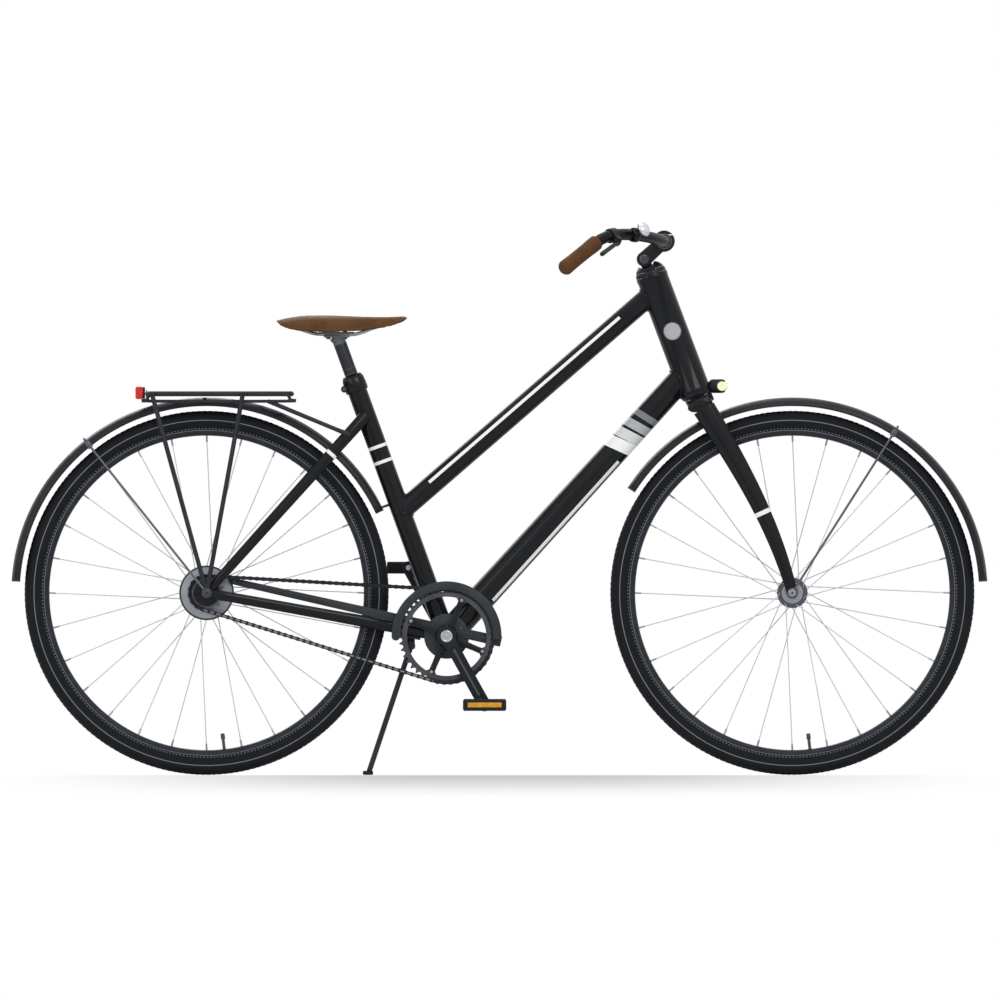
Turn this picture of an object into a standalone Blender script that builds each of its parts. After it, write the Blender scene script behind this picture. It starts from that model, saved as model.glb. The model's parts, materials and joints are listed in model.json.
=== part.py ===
"""A step-through commuter bike, every piece at its real size in metres.

+X points forward, +Y to the rider's left and +Z up. The origin lies on the
ground below the middle of the bike. The bike stands on its two tyres and on
the feet of a two-legged centre stand.
"""

import math

import bmesh
import bpy
from mathutils import Matrix, Vector

# Driving dimensions

GAP = 0.0003
RUNNING_CLEARANCE = 0.0004
CUT_MARGIN = 0.01
CUT_OVERRUN = 0.02

WHEELBASE = 1.1194
TYRE_WIDTH = 0.037
TYRE_HEIGHT = 0.0365
RIM_OUTER_RADIUS = 0.3115
RIM_DEPTH = 0.011
WHEEL_RADIUS = RIM_OUTER_RADIUS + TYRE_HEIGHT
RIM_INNER_RADIUS = RIM_OUTER_RADIUS - RIM_DEPTH
RIM_WIDTH = 0.0236
RIM_BED_DEPTH = 0.0055
RIM_FLANGE_WIDTH = 0.0022
RIM_BEAD_INSET = 0.0025
RIM_INNER_HALF = 0.0055
RIM_SHOULDER = 0.0045
TYRE_SHOULDER = math.radians(70.0)
SPOKE_COUNT = 28
SPOKE_DIAMETER = 0.002
SPOKE_OFFSET = 0.0134
SPOKE_HOLE_INSET = 0.0045
SPOKE_STAGGER = 0.0017
NIPPLE_REACH = 0.001
NIPPLE_STAGGER = 0.0025
WHEEL_SIDES = 40

AXLE_RADIUS = 0.005
AXLE_SHOULDER_RADIUS = 0.009
AXLE_SHOULDER_LENGTH = 0.0085
AXLE_NUT_RADIUS = 0.0085
AXLE_NUT_HEIGHT = 0.0055
AXLE_END = 0.009
FRONT_HUB_WIDTH = 0.100
FRONT_FLANGE_RADIUS = 0.0293
FRONT_FLANGE_SPACING = 0.060
FRONT_HUB_CAP_RADIUS = 0.0206
REAR_HUB_WIDTH = 0.135
REAR_FLANGE_RADIUS = 0.0524
REAR_FLANGE_SPACING = 0.060
REAR_SHELL_RADIUS = 0.0400
HUB_END_INSET = 0.009
HUB_CAP_CHAMFER = 0.004
FLANGE_OUTER_HALF = 0.0012
FLANGE_INNER_HALF = 0.0016
FRONT_WAIST_INSET = 0.006
REAR_FLANGE_OUTER_HALF = 0.0025
REAR_CAP_FACE = 0.0587
REAR_CAP_RADIUS = 0.030
REAR_CAP_FOOT_RADIUS = 0.031
REAR_CAP_FOOT = 0.0065
REAR_DRIVE_RADIUS = 0.028
REAR_DRIVE_RISE = 0.0060

CHAIN_PITCH = 0.0127
STAY_CLEARANCE = 0.1165
CHAIN_LINE = 0.045
CHAIN_PLATE_HEIGHT = 0.0084
CHAIN_PLATE_THICKNESS = 0.0010
CHAIN_INNER_WIDTH = 0.0040
CHAIN_ROLLER_RADIUS = 0.0030
RING_TEETH = 44
SPROCKET_TEETH = 16
SPROCKET_BOSS_RADIUS = 0.0190
TOOTH_HEIGHT = 0.0030
TOOTH_ROOT_DEPTH = 0.0040
TOOTH_THICKNESS = 0.0028
RING_RIM_INNER_RADIUS = 0.0757
SPIDER_ARM_WIDTH = 0.0115
SPIDER_BOSS_RADIUS = 0.0222
SPIDER_ARMS = 4
SPIDER_ARM_THICKNESS = 0.0035
SPIDER_ANGLE = math.radians(-23.0)

BRACKET_DROP = 0.083
BRACKET_SHELL_RADIUS = 0.0215
BRACKET_SHELL_WIDTH = 0.068
BRACKET_WALL = 0.0035
CARTRIDGE_LIP = 0.0015
CRANK_LENGTH = 0.150
CRANK_ANGLE = math.radians(-61.0)
CRANK_WIDTH = 0.0245
CRANK_THICKNESS = 0.014
CRANK_INNER_FACE = 0.0590
CRANK_CAP_RADIUS = 0.0117
CRANK_CAP_RISE = 0.0018
CRANK_CAP_DEPTH = 0.002
CRANK_SEAT_DEPTH = 0.009
CRANK_BOSS_SWELL = 0.0035
CRANK_EYE_SWELL = 0.0005
PEDAL_PIN_DEPTH = 0.001
PEDAL_PIN_SHARE = 0.8
PEDAL_PIN_REACH = 0.008
CRANK_AXLE_RADIUS = 0.0085
PEDAL_LENGTH = 0.083
PEDAL_HEIGHT = 0.023
PEDAL_WIDTH = 0.092
REFLECTOR_LENGTH = 0.065
REFLECTOR_HEIGHT = 0.0095
PEDAL_AXLE_RADIUS = 0.0048
PEDAL_CLEARANCE = 0.0060
PEDAL_CORNER = 0.0050
PEDAL_WEB_HALF = 0.0125
PEDAL_RIM = 0.0085
PEDAL_END_RIM = 0.010
WINDOW_CORNER = 0.002
REFLECTOR_DEPTH = 0.0030
REFLECTOR_CORNER = 0.0015
REFLECTOR_PROUD = 0.0004

SEAT_ANGLE = math.radians(70.0)
SEAT_TUBE_LENGTH = 0.512
SEAT_TUBE_RADIUS = 0.0186
SEAT_POST_RADIUS = 0.0127
SEAT_POST_INSERTION = 0.150
SEAT_POST_SHOWING = 0.1020
POST_HEAD_SIZE = (0.050, 0.043, 0.0060)
CLAMP_PLATE_SIZE = (0.063, 0.047, 0.0044)
CLAMP_PLATE_AHEAD = 0.0025
CLAMP_PLATE_RISE = 0.0026
SADDLE_LENGTH = 0.2525
SADDLE_WIDTH = 0.158
SADDLE_SETBACK = 0.1155
SADDLE_SKIRT = 0.0050
SADDLE_PAD = 0.0125
RAIL_Y = 0.0165
RAIL_RADIUS = 0.0035
RAIL_LIFT = 0.0004
RAIL_STRAIGHT_BACK = 0.032
RAIL_STRAIGHT_AHEAD = 0.036
RAIL_BEND_BACK = 0.050
RAIL_BEND_Y = 0.0300
RAIL_BEND_RISE = 0.0030
RAIL_REAR_INSET = 0.030
RAIL_REAR_Y = 0.0450
RAIL_REAR_RISE = 0.0157
RAIL_NOSE_INSET = 0.040
RAIL_NOSE_Y = 0.0045
RAIL_NOSE_BEND = 0.004
RAIL_NOSE_RISE = 0.0178
RAIL_FRONT_BACK = 0.026
RAIL_FRONT_Y = 0.0100
RAIL_FRONT_RISE = 0.0120
COLLAR_RADIUS = 0.0222
COLLAR_HEIGHT = 0.034
COLLAR_OVERLAP = 0.0143
COLLAR_EDGE = 0.003
COLLAR_CHAMFER = 0.0016
COLLAR_SHOULDER = 0.008
COLLAR_TAPER = 0.0012
COLLAR_CROWN = 0.0060
COLLAR_BOLT_HEIGHT = 0.0128
COLLAR_LUG_LENGTH = 0.022
COLLAR_LUG_RADIUS = 0.0065
COLLAR_SLOT_WIDTH = 0.0020
COLLAR_SLOT_DEPTH = 0.022

HEAD_ANGLE = math.radians(69.4)
HEAD_TUBE_LENGTH = 0.241
HEAD_TUBE_RADIUS = 0.0300
HEAD_TUBE_WALL = 0.006
FORK_RAKE = 0.0383
CROWN_CLEARANCE = 0.0745
FORK_LENGTH = WHEEL_RADIUS + CROWN_CLEARANCE
STEERER_RADIUS = 0.0143
CROWN_DROP = 0.0240
CROWN_HALF_HEIGHT = 0.0125
CROWN_LENGTH = 0.050
CROWN_REACH = 0.0505
CROWN_END = 0.006
CROWN_NECK_INSET = 0.0065
CROWN_RACE_INSET = 0.0050
QUILL_DEPTH = 0.060
BLADE_ROOT_DROP = 0.012
BLADE_HANDLE = 0.145
BLADE_EYE_RADIUS = 0.0108
BLADE_HUB_RELIEF = 0.060
BLADE_TOP_Y = 0.0385
BLADE_TOP_SIZE = (0.0445, 0.0235)
BLADE_END_SIZE = (0.0215, 0.0080)
BLADE_TOP_LEAN = math.radians(-58.0)
BLADE_END_LEAN = math.radians(-75.0)
LAMP_AHEAD = 0.0416
LAMP_ABOVE = 0.0356
LAMP_RADIUS = 0.0136
LENS_RADIUS = 0.0094
LENS_HALF_WIDTH = 0.0142
LENS_BACK = 0.002
LENS_STRAIGHT = 0.0050
LENS_SHOULDER = 0.0085
LENS_TIP = 0.0110
LAMP_BACK = 0.0272
LAMP_TAIL_RADIUS = 0.0095
LAMP_TAIL = 0.005
LAMP_BARREL = 0.026
LAMP_LENGTH = 0.0328
LAMP_LIP_RADIUS = 0.0112
LAMP_ARM_SIZE = (0.026, 0.014, 0.010)
LAMP_ARM_AHEAD = 0.024
LAMP_ARM_RISE = 0.0120
LAMP_HEAD_GAP = 0.0015
LAMP_NECK_INSET = 0.0040
LAMP_CUP_DROP = 0.0095
TOP_TUBE_RADIUS = 0.0194
TOP_TUBE_SEAT_JOINT = 0.254
TOP_TUBE_HEAD_JOINT = 0.2115
DOWN_TUBE_RADIUS = 0.0240
DOWN_TUBE_FOOT_RADIUS = 0.0268
DOWN_TUBE_HEAD_JOINT = 0.0440
TUBE_WALL = 0.002

CHAIN_STAY_FRONT_HEIGHT = 0.024
CHAIN_STAY_REAR_HEIGHT = 0.019
SEAT_STAY_TOP_HEIGHT = 0.024
SEAT_STAY_REAR_HEIGHT = 0.018
SEAT_STAY_NARROW = WHEEL_RADIUS + 0.047
SEAT_STAY_NARROW_Y = 0.0345
SEAT_STAY_TOP_Y = 0.0200
SEAT_STAY_LOWER_Y = 0.0590
SEAT_STAY_UPPER_Y = 0.0405
SEAT_STAY_STRAIGHT = 0.060
CHAIN_STAY_STRAIGHT = 0.045
STAY_WIDTH = 0.014
SEAT_STAY_JOINT = 0.450
DROPOUT_RADIUS = 0.0256
DROPOUT_THICKNESS = 0.005
STAY_END_WIDTH = 0.013
BRIDGE_RADIUS = 0.0065
BRIDGE_REACH = 0.0262
BRIDGE_CLEARANCE = 0.0193

FENDER_CLEARANCE = 0.0182
FENDER_RADIUS = WHEEL_RADIUS + FENDER_CLEARANCE
FENDER_DEPTH = 0.0160
FENDER_WIDTH = 0.047
FENDER_THICKNESS = 0.0022
FENDER_LOW_END = math.radians(3.2)
REAR_FENDER_END = math.radians(24.8)
FRONT_FENDER_END = math.radians(147.7)
FENDER_STAY_RADIUS = 0.0024
FENDER_STAY_SIDE_GAP = 0.0012
FENDER_STAY_HUB_REACH = 0.006
FENDER_STAY_BEND = 0.030
FENDER_STAY_EDGE = 0.012
FENDER_STAY_CORNER = 0.003
FENDER_STAY_INSET = 0.004
FENDER_EYE_RADIUS = 0.0095
FENDER_SHOULDER = 0.002
FENDER_TIPS = ((0.0, 0.45), (0.0040, 0.88))
FENDER_TIP_LENGTH = 0.011
FENDER_TUCK = 0.0009
BRIDGE_LUG_WIDTH = 0.020
BRIDGE_LUG_DEPTH = 0.012
FENDER_TAB_WIDTH = 0.018
FENDER_TAB_DEPTH = 0.006
FENDER_TAB_ANGLE = 0.022
CROWN_LUG_DEPTH = 0.014
REAR_STAY_ANGLE = math.radians(128.5)
FRONT_STAY_ANGLE = math.radians(57.6)

RACK_CLEARANCE = 0.038
RACK_HEIGHT = 2.0 * WHEEL_RADIUS + RACK_CLEARANCE
RACK_OVERHANG = 0.1178
RACK_LENGTH = 0.2850
RACK_WIDTH = 0.120
RACK_RAIL_HEIGHT = 0.0110
RACK_LOWER_DROP = 0.0155
RACK_CORNER_RADIUS = 0.020
RACK_CROSS_BARS = 4
RACK_CROSS_BAR_RADIUS = 0.0035
RACK_PLATE_SIZE = (0.0030, 0.040, 0.022)
RACK_PLATE_INSET = 0.0022
RACK_RAIL_WIDTH = 0.010
LOWER_RAIL_SIZE = 0.0063
LOWER_RAIL_LIFT = 0.0040
LOWER_RAIL_SIDE = 0.0006
LOWER_RAIL_REAR_INSET = 0.011
LOWER_RAIL_FRONT_INSET = 0.014
LOWER_RAIL_BEND = 0.005
LOWER_RAIL_TURN = 0.004
BRACE_BACK = 0.050
BRACE_INSET = 0.007
BRACE_SIZE = 0.0085
BRACE_GAP = 0.0047
BRACE_STRAIGHT = 0.86
RACK_LEG_RADIUS = 0.0045
RACK_LEG_INSET = 0.0125
RACK_LEG_SPREAD = 0.1748
RACK_LEG_BEND = 0.085
RACK_LEG_GAP = 0.0005
RACK_LEG_TUCK = 0.0035
RACK_LEG_FOOT_WIDTH = 0.0115
RACK_EYE_THICKNESS = 0.005
RACK_EYE_RADIUS = 0.0105
RACK_EYE_RELIEF = 0.013
RACK_EYE_OUTER_RELIEF = 0.020
LIGHT_DROP = 0.0037
LIGHT_LENGTH = 0.0186
LIGHT_HEIGHT = 0.0240
LIGHT_WIDTH = 0.052
LIGHT_CORNER = 0.0040
LIGHT_REACH = 0.0088

STAND_PIVOT_BACK = 0.068
STAND_PIVOT_DROP = 0.018
STAND_LEG_RADIUS = 0.0054
STAND_TRACK = 0.060
STAND_FOOT_TRACK = 0.190
STAND_SPLAY_START = 0.165
STAND_FOOT_BACK = 0.0822
STAND_PIN_RADIUS = 0.0042
STAND_BARREL_RADIUS = 0.0085
STAND_LUG_HALF = 0.0120
STAND_LUG_LENGTH = 0.0150
STAND_LUG_HEIGHT = 0.0215
STAND_LUG_DROP = 0.006
STAND_PIN_HALF = 0.020
STAND_LOWER_PLATE = (0.040, 0.060, 0.0050)
STAND_UPPER_PLATE = (0.034, 0.050, 0.0040)
STAND_BOLT_RADIUS = 0.0050
STAND_BOLT_PROUD = 0.006
STAND_FOOT_SIZE = (0.020, 0.036, 0.0080)
STAND_ANKLE = 0.006
STAND_BEND_BACK = 0.012
STAND_BEND_AHEAD = 0.010
STAND_BEND_SHARE = 0.10

GUARD_INNER_RADIUS = 0.0887
GUARD_OUTER_RADIUS = 0.1053
GUARD_THICKNESS = 0.002
GUARD_BAR_HEIGHT = 0.020
GUARD_BAR_END = (0.0487, 0.0227)
GUARD_OFFSET = 0.0075
GUARD_BAR_OFFSET = 0.0060
GUARD_START = math.radians(-3.5)
GUARD_END = math.pi
GUARD_RIM_BREAK = math.radians(103.0)
GUARD_RIM_RESTART = math.radians(152.0)
GUARD_RIM_INSET = 0.004
GUARD_LIP = 0.0016
RIM_TUCK = 0.0002
GUARD_BAR_INSET = 0.009
GUARD_BAR_OVERLAP = 0.0085
GUARD_MOUNT_GAP = 0.0033
GUARD_MOUNT_THICKNESS = 0.0030

STEM_POST_RISE = 0.033
STEM_PIVOT_BACK = 0.0020
DOME_HEIGHT = 0.0270
CUP_RISE = 0.0090
LOWER_CUP_DEPTH = 0.0085
LOWER_CUP_EDGE = 0.004
LOWER_CUP_TAPER = 0.0045
LOWER_CUP_LIP = 0.0005
STEM_REACH = 0.0377
STEM_RISE = 0.0344
STEM_KNUCKLE_RADIUS = 0.0149
STEM_CLAMP_RADIUS = 0.0208
STEM_QUILL_RADIUS = 0.0110
STEM_POST_TOP = 0.0225
STEM_POST_RELIEF = 0.0034
STEM_PIN_RADIUS = 0.0040
STEM_PIN_PROUD = 0.0015
STEM_ARM_RELIEF = 0.0009
STEM_QUILL_RISE = 0.005
TONGUE_LENGTH = 0.021
TONGUE_DROP = 0.0105
TONGUE_HALF = 0.0085
CHEEK_HALF = 0.0165
BAR_RADIUS = 0.0111
BAR_CLAMP_RADIUS = 0.0127
BAR_CLAMP_HALF_WIDTH = 0.020
BAR_BULGE_HALF = 0.0235
BAR_BULGE_TAPER = 0.004
BAR_STRAIGHT = 0.034
BAR_FRONT_HANDLE = 0.100
BAR_REAR_HANDLE = 0.062
GRIP_RADIUS = 0.0150
GRIP_LENGTH = 0.103
GRIP_YAW = math.radians(36.0)
GRIP_DROP = math.radians(39.0)
GRIP_SETBACK = 0.0015
GRIP_RIM = 0.0016
GRIP_RIM_INSET = 0.0020
GRIP_WAIST = 0.0008
GRIP_END = 0.006
GRIP_END_INSET = 0.0045
GRIP_START_X = -0.1282
GRIP_START_Y = 0.2620
GRIP_START_Z = -0.0015
LEVER_SHARE = 0.80
LEVER_OFFSET = 0.0202
LEVER_TIP_ALONG = 0.030
LEVER_TIP_DROP = 0.0240
LEVER_TIP_OUT = 0.0300
LEVER_PIN_RADIUS = 0.0026
LEVER_PIN_HALF = 0.0085
LEVER_BAND_RADIUS = 0.0142
LEVER_BAND_LENGTH = 0.017
LEVER_EAR_SIZE = (0.0200, 0.0030, 0.0090)
LEVER_EAR_Y = 0.0070
LEVER_BARREL_RADIUS = 0.0052
LEVER_BARREL_HALF = 0.0052
LEVER_BLADE_RADII = (0.0036, 0.0042, 0.0044, 0.0046, 0.0024)
LEVER_BLADE_END = 0.004
BELL_RADIUS = 0.0150
BELL_SHARE = 0.55
BELL_FACING = Vector((0.2, -0.9, 0.4))
BELL_STAND = 0.0095
BELL_BAND_RADIUS = 0.0140
BELL_BAND_LENGTH = 0.010
BELL_BAND_GAP = 0.0012
BELL_POST_RADIUS = 0.0050
BELL_POST_LENGTH = 0.0110
BELL_LEVER_RISE = 0.0060
BELL_RING_RADIUS = 0.0082
BELL_RING_HEIGHT = 0.0026
BELL_ARM_SIZE = (0.0180, 0.0060, 0.0018)
BELL_ARM_REACH = 0.0130
BELL_THUMB_SIZE = (0.0050, 0.0120, 0.0032)
BELL_THUMB_REACH = 0.0230


# Colours as (red, green, blue), roughness and metallic value

FINISHES = {
    "frame_black": ((0.012, 0.013, 0.015), 0.25, 0.0),
    "trim_grey": ((0.045, 0.050, 0.058), 0.45, 0.2),
    "fender_grey": ((0.026, 0.028, 0.033), 0.40, 0.1),
    "rack_grey": ((0.034, 0.037, 0.043), 0.50, 0.2),
    "hub_metal": ((0.215, 0.220, 0.250), 0.35, 0.8),
    "steel": ((0.300, 0.310, 0.330), 0.30, 1.0),
    "rim_black": ((0.016, 0.018, 0.022), 0.35, 0.3),
    "tyre_rubber": ((0.014, 0.015, 0.018), 0.85, 0.0),
    "chain_steel": ((0.060, 0.064, 0.075), 0.40, 0.8),
    "leather": ((0.150, 0.068, 0.030), 0.60, 0.0),
    "plastic_black": ((0.018, 0.018, 0.022), 0.50, 0.0),
    "lens_yellow": ((0.870, 0.870, 0.500), 0.15, 0.0),
    "lens_red": ((0.580, 0.028, 0.020), 0.25, 0.0),
    "reflector_amber": ((0.670, 0.350, 0.030), 0.30, 0.0),
    "bell_silver": ((0.650, 0.670, 0.700), 0.20, 0.9),
}

# Directions and fixed points that follow from the dimensions

FORWARD = Vector((1.0, 0.0, 0.0))
ACROSS = Vector((0.0, 1.0, 0.0))
UPWARD = Vector((0.0, 0.0, 1.0))
RIGHT = -1
LEFT = 1


def unit(angle):
    """Direction in the bike's side plane, counted from +X towards +Z."""
    return Vector((math.cos(angle), 0.0, math.sin(angle)))


def at_side(point, distance):
    """The same point, moved to a distance from the bike's middle plane."""
    return Vector((point.x, distance, point.z))


def tooth_circle(teeth):
    """Pitch radius of a toothed wheel for this chain."""
    return CHAIN_PITCH / (2.0 * math.sin(math.pi / teeth))


def chain_length(distance):
    """Length of a chain around both toothed wheels at a centre distance."""
    difference = RING_RADIUS - SPROCKET_RADIUS
    lean = math.asin(difference / distance)
    straight = 2.0 * distance * math.cos(lean)
    wraps = math.pi * (RING_RADIUS + SPROCKET_RADIUS) + 2.0 * lean * difference
    return straight + wraps


def centre_distance():
    """Distance between the wheels that the chain's links call for."""
    low = RING_RADIUS + SPROCKET_RADIUS
    high = CHAIN_LINKS * CHAIN_PITCH
    for _ in range(60):
        middle = 0.5 * (low + high)
        if chain_length(middle) < CHAIN_LINKS * CHAIN_PITCH:
            low = middle
        else:
            high = middle
    return middle


RING_RADIUS = tooth_circle(RING_TEETH)
SPROCKET_RADIUS = tooth_circle(SPROCKET_TEETH)
CHAIN_LINKS = 2 * math.ceil(chain_length(WHEEL_RADIUS + STAY_CLEARANCE) / (2.0 * CHAIN_PITCH))
CENTRE_DISTANCE = centre_distance()

REAR_AXLE = Vector((-WHEELBASE / 2.0, 0.0, WHEEL_RADIUS))
FRONT_AXLE = Vector((WHEELBASE / 2.0, 0.0, WHEEL_RADIUS))
STAY_ANGLE = -math.asin(BRACKET_DROP / CENTRE_DISTANCE)
BRACKET = REAR_AXLE + CENTRE_DISTANCE * unit(STAY_ANGLE)

SEAT_UP = unit(math.pi - SEAT_ANGLE)
SEAT_TOP = BRACKET + SEAT_TUBE_LENGTH * SEAT_UP
HEAD_UP = unit(math.pi - HEAD_ANGLE)
HEAD_FORWARD = unit(math.pi / 2.0 - HEAD_ANGLE)
HEAD_FOOT = FRONT_AXLE - FORK_RAKE * HEAD_FORWARD + FORK_LENGTH * HEAD_UP
HEAD_TOP = HEAD_FOOT + HEAD_TUBE_LENGTH * HEAD_UP

DROPOUT_FACE = REAR_HUB_WIDTH / 2.0 + GAP
STAY_END_Y = DROPOUT_FACE + STAY_END_WIDTH / 2.0
SEAT_STAY_TOP = BRACKET + SEAT_STAY_JOINT * SEAT_UP
SEAT_STAY_LENGTH = (SEAT_STAY_TOP - REAR_AXLE).length
SEAT_STAY_UP = (SEAT_STAY_TOP - REAR_AXLE).normalized()
RACK_REAR_X = REAR_AXLE.x - RACK_OVERHANG
BRIDGE_ALONG = FENDER_RADIUS + FENDER_DEPTH / 2.0 + BRIDGE_CLEARANCE
GUARD_FACE = CHAIN_LINE + GUARD_OFFSET
GUARD_BAR_FACE = CHAIN_LINE - GUARD_BAR_OFFSET
RACK_EYE_Y = DROPOUT_FACE + STAY_END_WIDTH + GAP + RACK_EYE_THICKNESS / 2.0
FENDER_EYE_Y = RACK_EYE_Y + RACK_EYE_THICKNESS / 2.0 + GAP + FENDER_STAY_RADIUS
POST_HEAD = SEAT_TOP + SEAT_POST_SHOWING * SEAT_UP
RAIL_Z = POST_HEAD.z + RAIL_LIFT
CLAMP_CENTRE = POST_HEAD + SEAT_UP * (RAIL_LIFT / SEAT_UP.z)
SADDLE_REAR_X = CLAMP_CENTRE.x - SADDLE_SETBACK
CROWN_CENTRE = HEAD_FOOT - CROWN_DROP * HEAD_UP
LAMP_CENTRE = CROWN_CENTRE + Vector((LAMP_AHEAD, 0.0, LAMP_ABOVE))
FORK_FACE = FRONT_HUB_WIDTH / 2.0 + GAP
BLADE_END_Y = FORK_FACE + BLADE_END_SIZE[1] / 2.0
FRONT_EYE_Y = FORK_FACE + BLADE_END_SIZE[1] + GAP + FENDER_STAY_RADIUS
STEM_PIVOT = HEAD_TOP + STEM_POST_RISE * HEAD_UP - STEM_PIVOT_BACK * HEAD_FORWARD
STEM_CLAMP = STEM_PIVOT + Vector((STEM_REACH, 0.0, STEM_RISE))
STAND_PIVOT = BRACKET + Vector((-STAND_PIVOT_BACK, 0.0, -STAND_PIVOT_DROP))


# Tools for shaping

def placed(mesh):
    """Put a bmesh into the scene as a plain working object."""
    bmesh.ops.recalc_face_normals(mesh, faces=mesh.faces)
    data = bpy.data.meshes.new("shape")
    mesh.to_mesh(data)
    mesh.free()
    thing = bpy.data.objects.new("shape", data)
    bpy.context.collection.objects.link(thing)
    return thing


def skin(mesh, rings, closed):
    """Skin point rings in a bmesh, with flat caps on an open row."""
    loops = [[mesh.verts.new(point) for point in ring] for ring in rings]
    pairs = list(zip(loops, loops[1:]))
    if closed:
        pairs.append((loops[-1], loops[0]))
    for first, second in pairs:
        for index in range(len(first)):
            after = (index + 1) % len(first)
            corners = (first[index], first[after], second[after], second[index])
            mesh.faces.new(corners)
    if not closed:
        mesh.faces.new(loops[0][::-1])
        mesh.faces.new(loops[-1])


def lofted(rings, closed=False):
    """A solid skinned over point rings."""
    mesh = bmesh.new()
    skin(mesh, rings, closed)
    return placed(mesh)


def section_axes(direction):
    """Two unit vectors square to a direction, the first in the side plane."""
    helper = ACROSS
    if abs(direction.dot(ACROSS)) > 0.95:
        helper = Vector((0.0, 0.0, 1.0))
    first = direction.cross(helper).normalized()
    second = first.cross(direction).normalized()
    return first, second


def oval(centre, direction, height, width, sides):
    """Ring of points: height lies in the side plane, width across it."""
    first, second = section_axes(direction)
    ring = []
    for step in range(sides):
        turn = 2.0 * math.pi * (step + 0.5) / sides
        up = first * (math.cos(turn) * height / 2.0)
        side = second * (math.sin(turn) * width / 2.0)
        ring.append(centre + up + side)
    return ring


def turned(start, direction, stations, sides):
    """Round solid: stations are pairs of distance along and radius."""
    rings = []
    for along, radius in stations:
        centre = start + direction * along
        rings.append(oval(centre, direction, 2.0 * radius, 2.0 * radius, sides))
    return lofted(rings)


def pipe(start, end, outer, inner, sides):
    """Open-ended round tube; outer and inner are radii at start and end."""
    direction = (end - start).normalized()
    rings = []
    for centre, radius in ((start, outer[0]), (end, outer[1])):
        rings.append(oval(centre, direction, 2.0 * radius, 2.0 * radius, sides))
    for centre, radius in ((end, inner[1]), (start, inner[0])):
        rings.append(oval(centre, direction, 2.0 * radius, 2.0 * radius, sides))
    return lofted(rings, closed=True)


def swept(points, sizes, sides):
    """Solid along a path; sizes are (height, width) pairs, one per point."""
    rings = []
    for index, point in enumerate(points):
        before = points[max(index - 1, 0)]
        after = points[min(index + 1, len(points) - 1)]
        direction = (after - before).normalized()
        height, width = sizes[index]
        rings.append(oval(point, direction, height, width, sides))
    return lofted(rings)


def split_faces(thing):
    """Split every face into triangles, so that a twisted one stays exact."""
    mesh = bmesh.new()
    mesh.from_mesh(thing.data)
    bmesh.ops.triangulate(mesh, faces=mesh.faces)
    mesh.to_mesh(thing.data)
    mesh.free()
    return thing


def wheel_ring(centre, profile, sides):
    """Closed ring about an axle; profile points are (radius, y)."""
    rings = []
    for step in range(sides):
        out = unit(2.0 * math.pi * step / sides)
        rings.append([centre + out * radius + ACROSS * y for radius, y in profile])
    return lofted(rings, closed=True)


def plate(outline, low, high):
    """Flat plate from an outline in the side plane, between two y values."""
    rings = []
    for y in (low, high):
        rings.append([at_side(point, y) for point in outline])
    return lofted(rings)


def arc(centre, radius, start, end, steps):
    """Points on an arc in the side plane."""
    points = []
    for step in range(steps + 1):
        angle = start + (end - start) * step / steps
        points.append(centre + radius * unit(angle))
    return points


def bezier(start, first, second, end, steps):
    """Points along a cubic curve."""
    points = []
    for step in range(steps + 1):
        t = step / steps
        u = 1.0 - t
        point = start * u ** 3 + first * (3.0 * u * u * t)
        points.append(point + second * (3.0 * u * t * t) + end * t ** 3)
    return points


def disc(centre, radius, low, high, sides=24):
    """Round plate about the y direction."""
    start = at_side(centre, low)
    return turned(start, ACROSS, ((0.0, radius), (high - low, radius)), sides)


def block(centre, size, direction=None):
    """Box; its length runs along a direction in the side plane."""
    along = direction or Vector((1.0, 0.0, 0.0))
    upward = ACROSS.cross(along) * -1.0
    half_length, half_width, half_height = (value / 2.0 for value in size)
    rings = []
    for sign in (-1.0, 1.0):
        middle = centre + along * (half_length * sign)
        corners = []
        for side, rise in ((-1, -1), (1, -1), (1, 1), (-1, 1)):
            corner = middle + ACROSS * (half_width * side)
            corners.append(corner + upward * (half_height * rise))
        rings.append(corners)
    return lofted(rings)


def combine(target, tool, operation):
    """Apply one exact boolean to a working object and use up its tool."""
    modifier = target.modifiers.new("combine", 'BOOLEAN')
    modifier.operation = operation
    modifier.solver = 'EXACT'
    modifier.object = tool
    graph = bpy.context.evaluated_depsgraph_get()
    result = bpy.data.meshes.new_from_object(target.evaluated_get(graph))
    target.modifiers.clear()
    target.data = result
    bpy.data.objects.remove(tool, do_unlink=True)


def fuse(target, *tools):
    """Weld solids into one."""
    for tool in tools:
        combine(target, tool, 'UNION')
    return target


def cut(target, *tools):
    """Take solids away from one."""
    for tool in tools:
        combine(target, tool, 'DIFFERENCE')
    return target


def gathered(things):
    """Join working objects that don't touch into one, as one tool."""
    mesh = bmesh.new()
    for thing in things:
        mesh.from_mesh(thing.data)
        bpy.data.objects.remove(thing, do_unlink=True)
    return placed(mesh)


def finish(name):
    """The material of this name, made once."""
    made = bpy.data.materials.get(name)
    if made:
        return made
    colour, roughness, metallic = FINISHES[name]
    made = bpy.data.materials.new(name)
    made.use_nodes = True
    shader = made.node_tree.nodes["Principled BSDF"]
    shader.inputs["Base Color"].default_value = (*colour, 1.0)
    shader.inputs["Roughness"].default_value = roughness
    shader.inputs["Metallic"].default_value = metallic
    made.diffuse_color = (*colour, 1.0)
    return made


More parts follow.
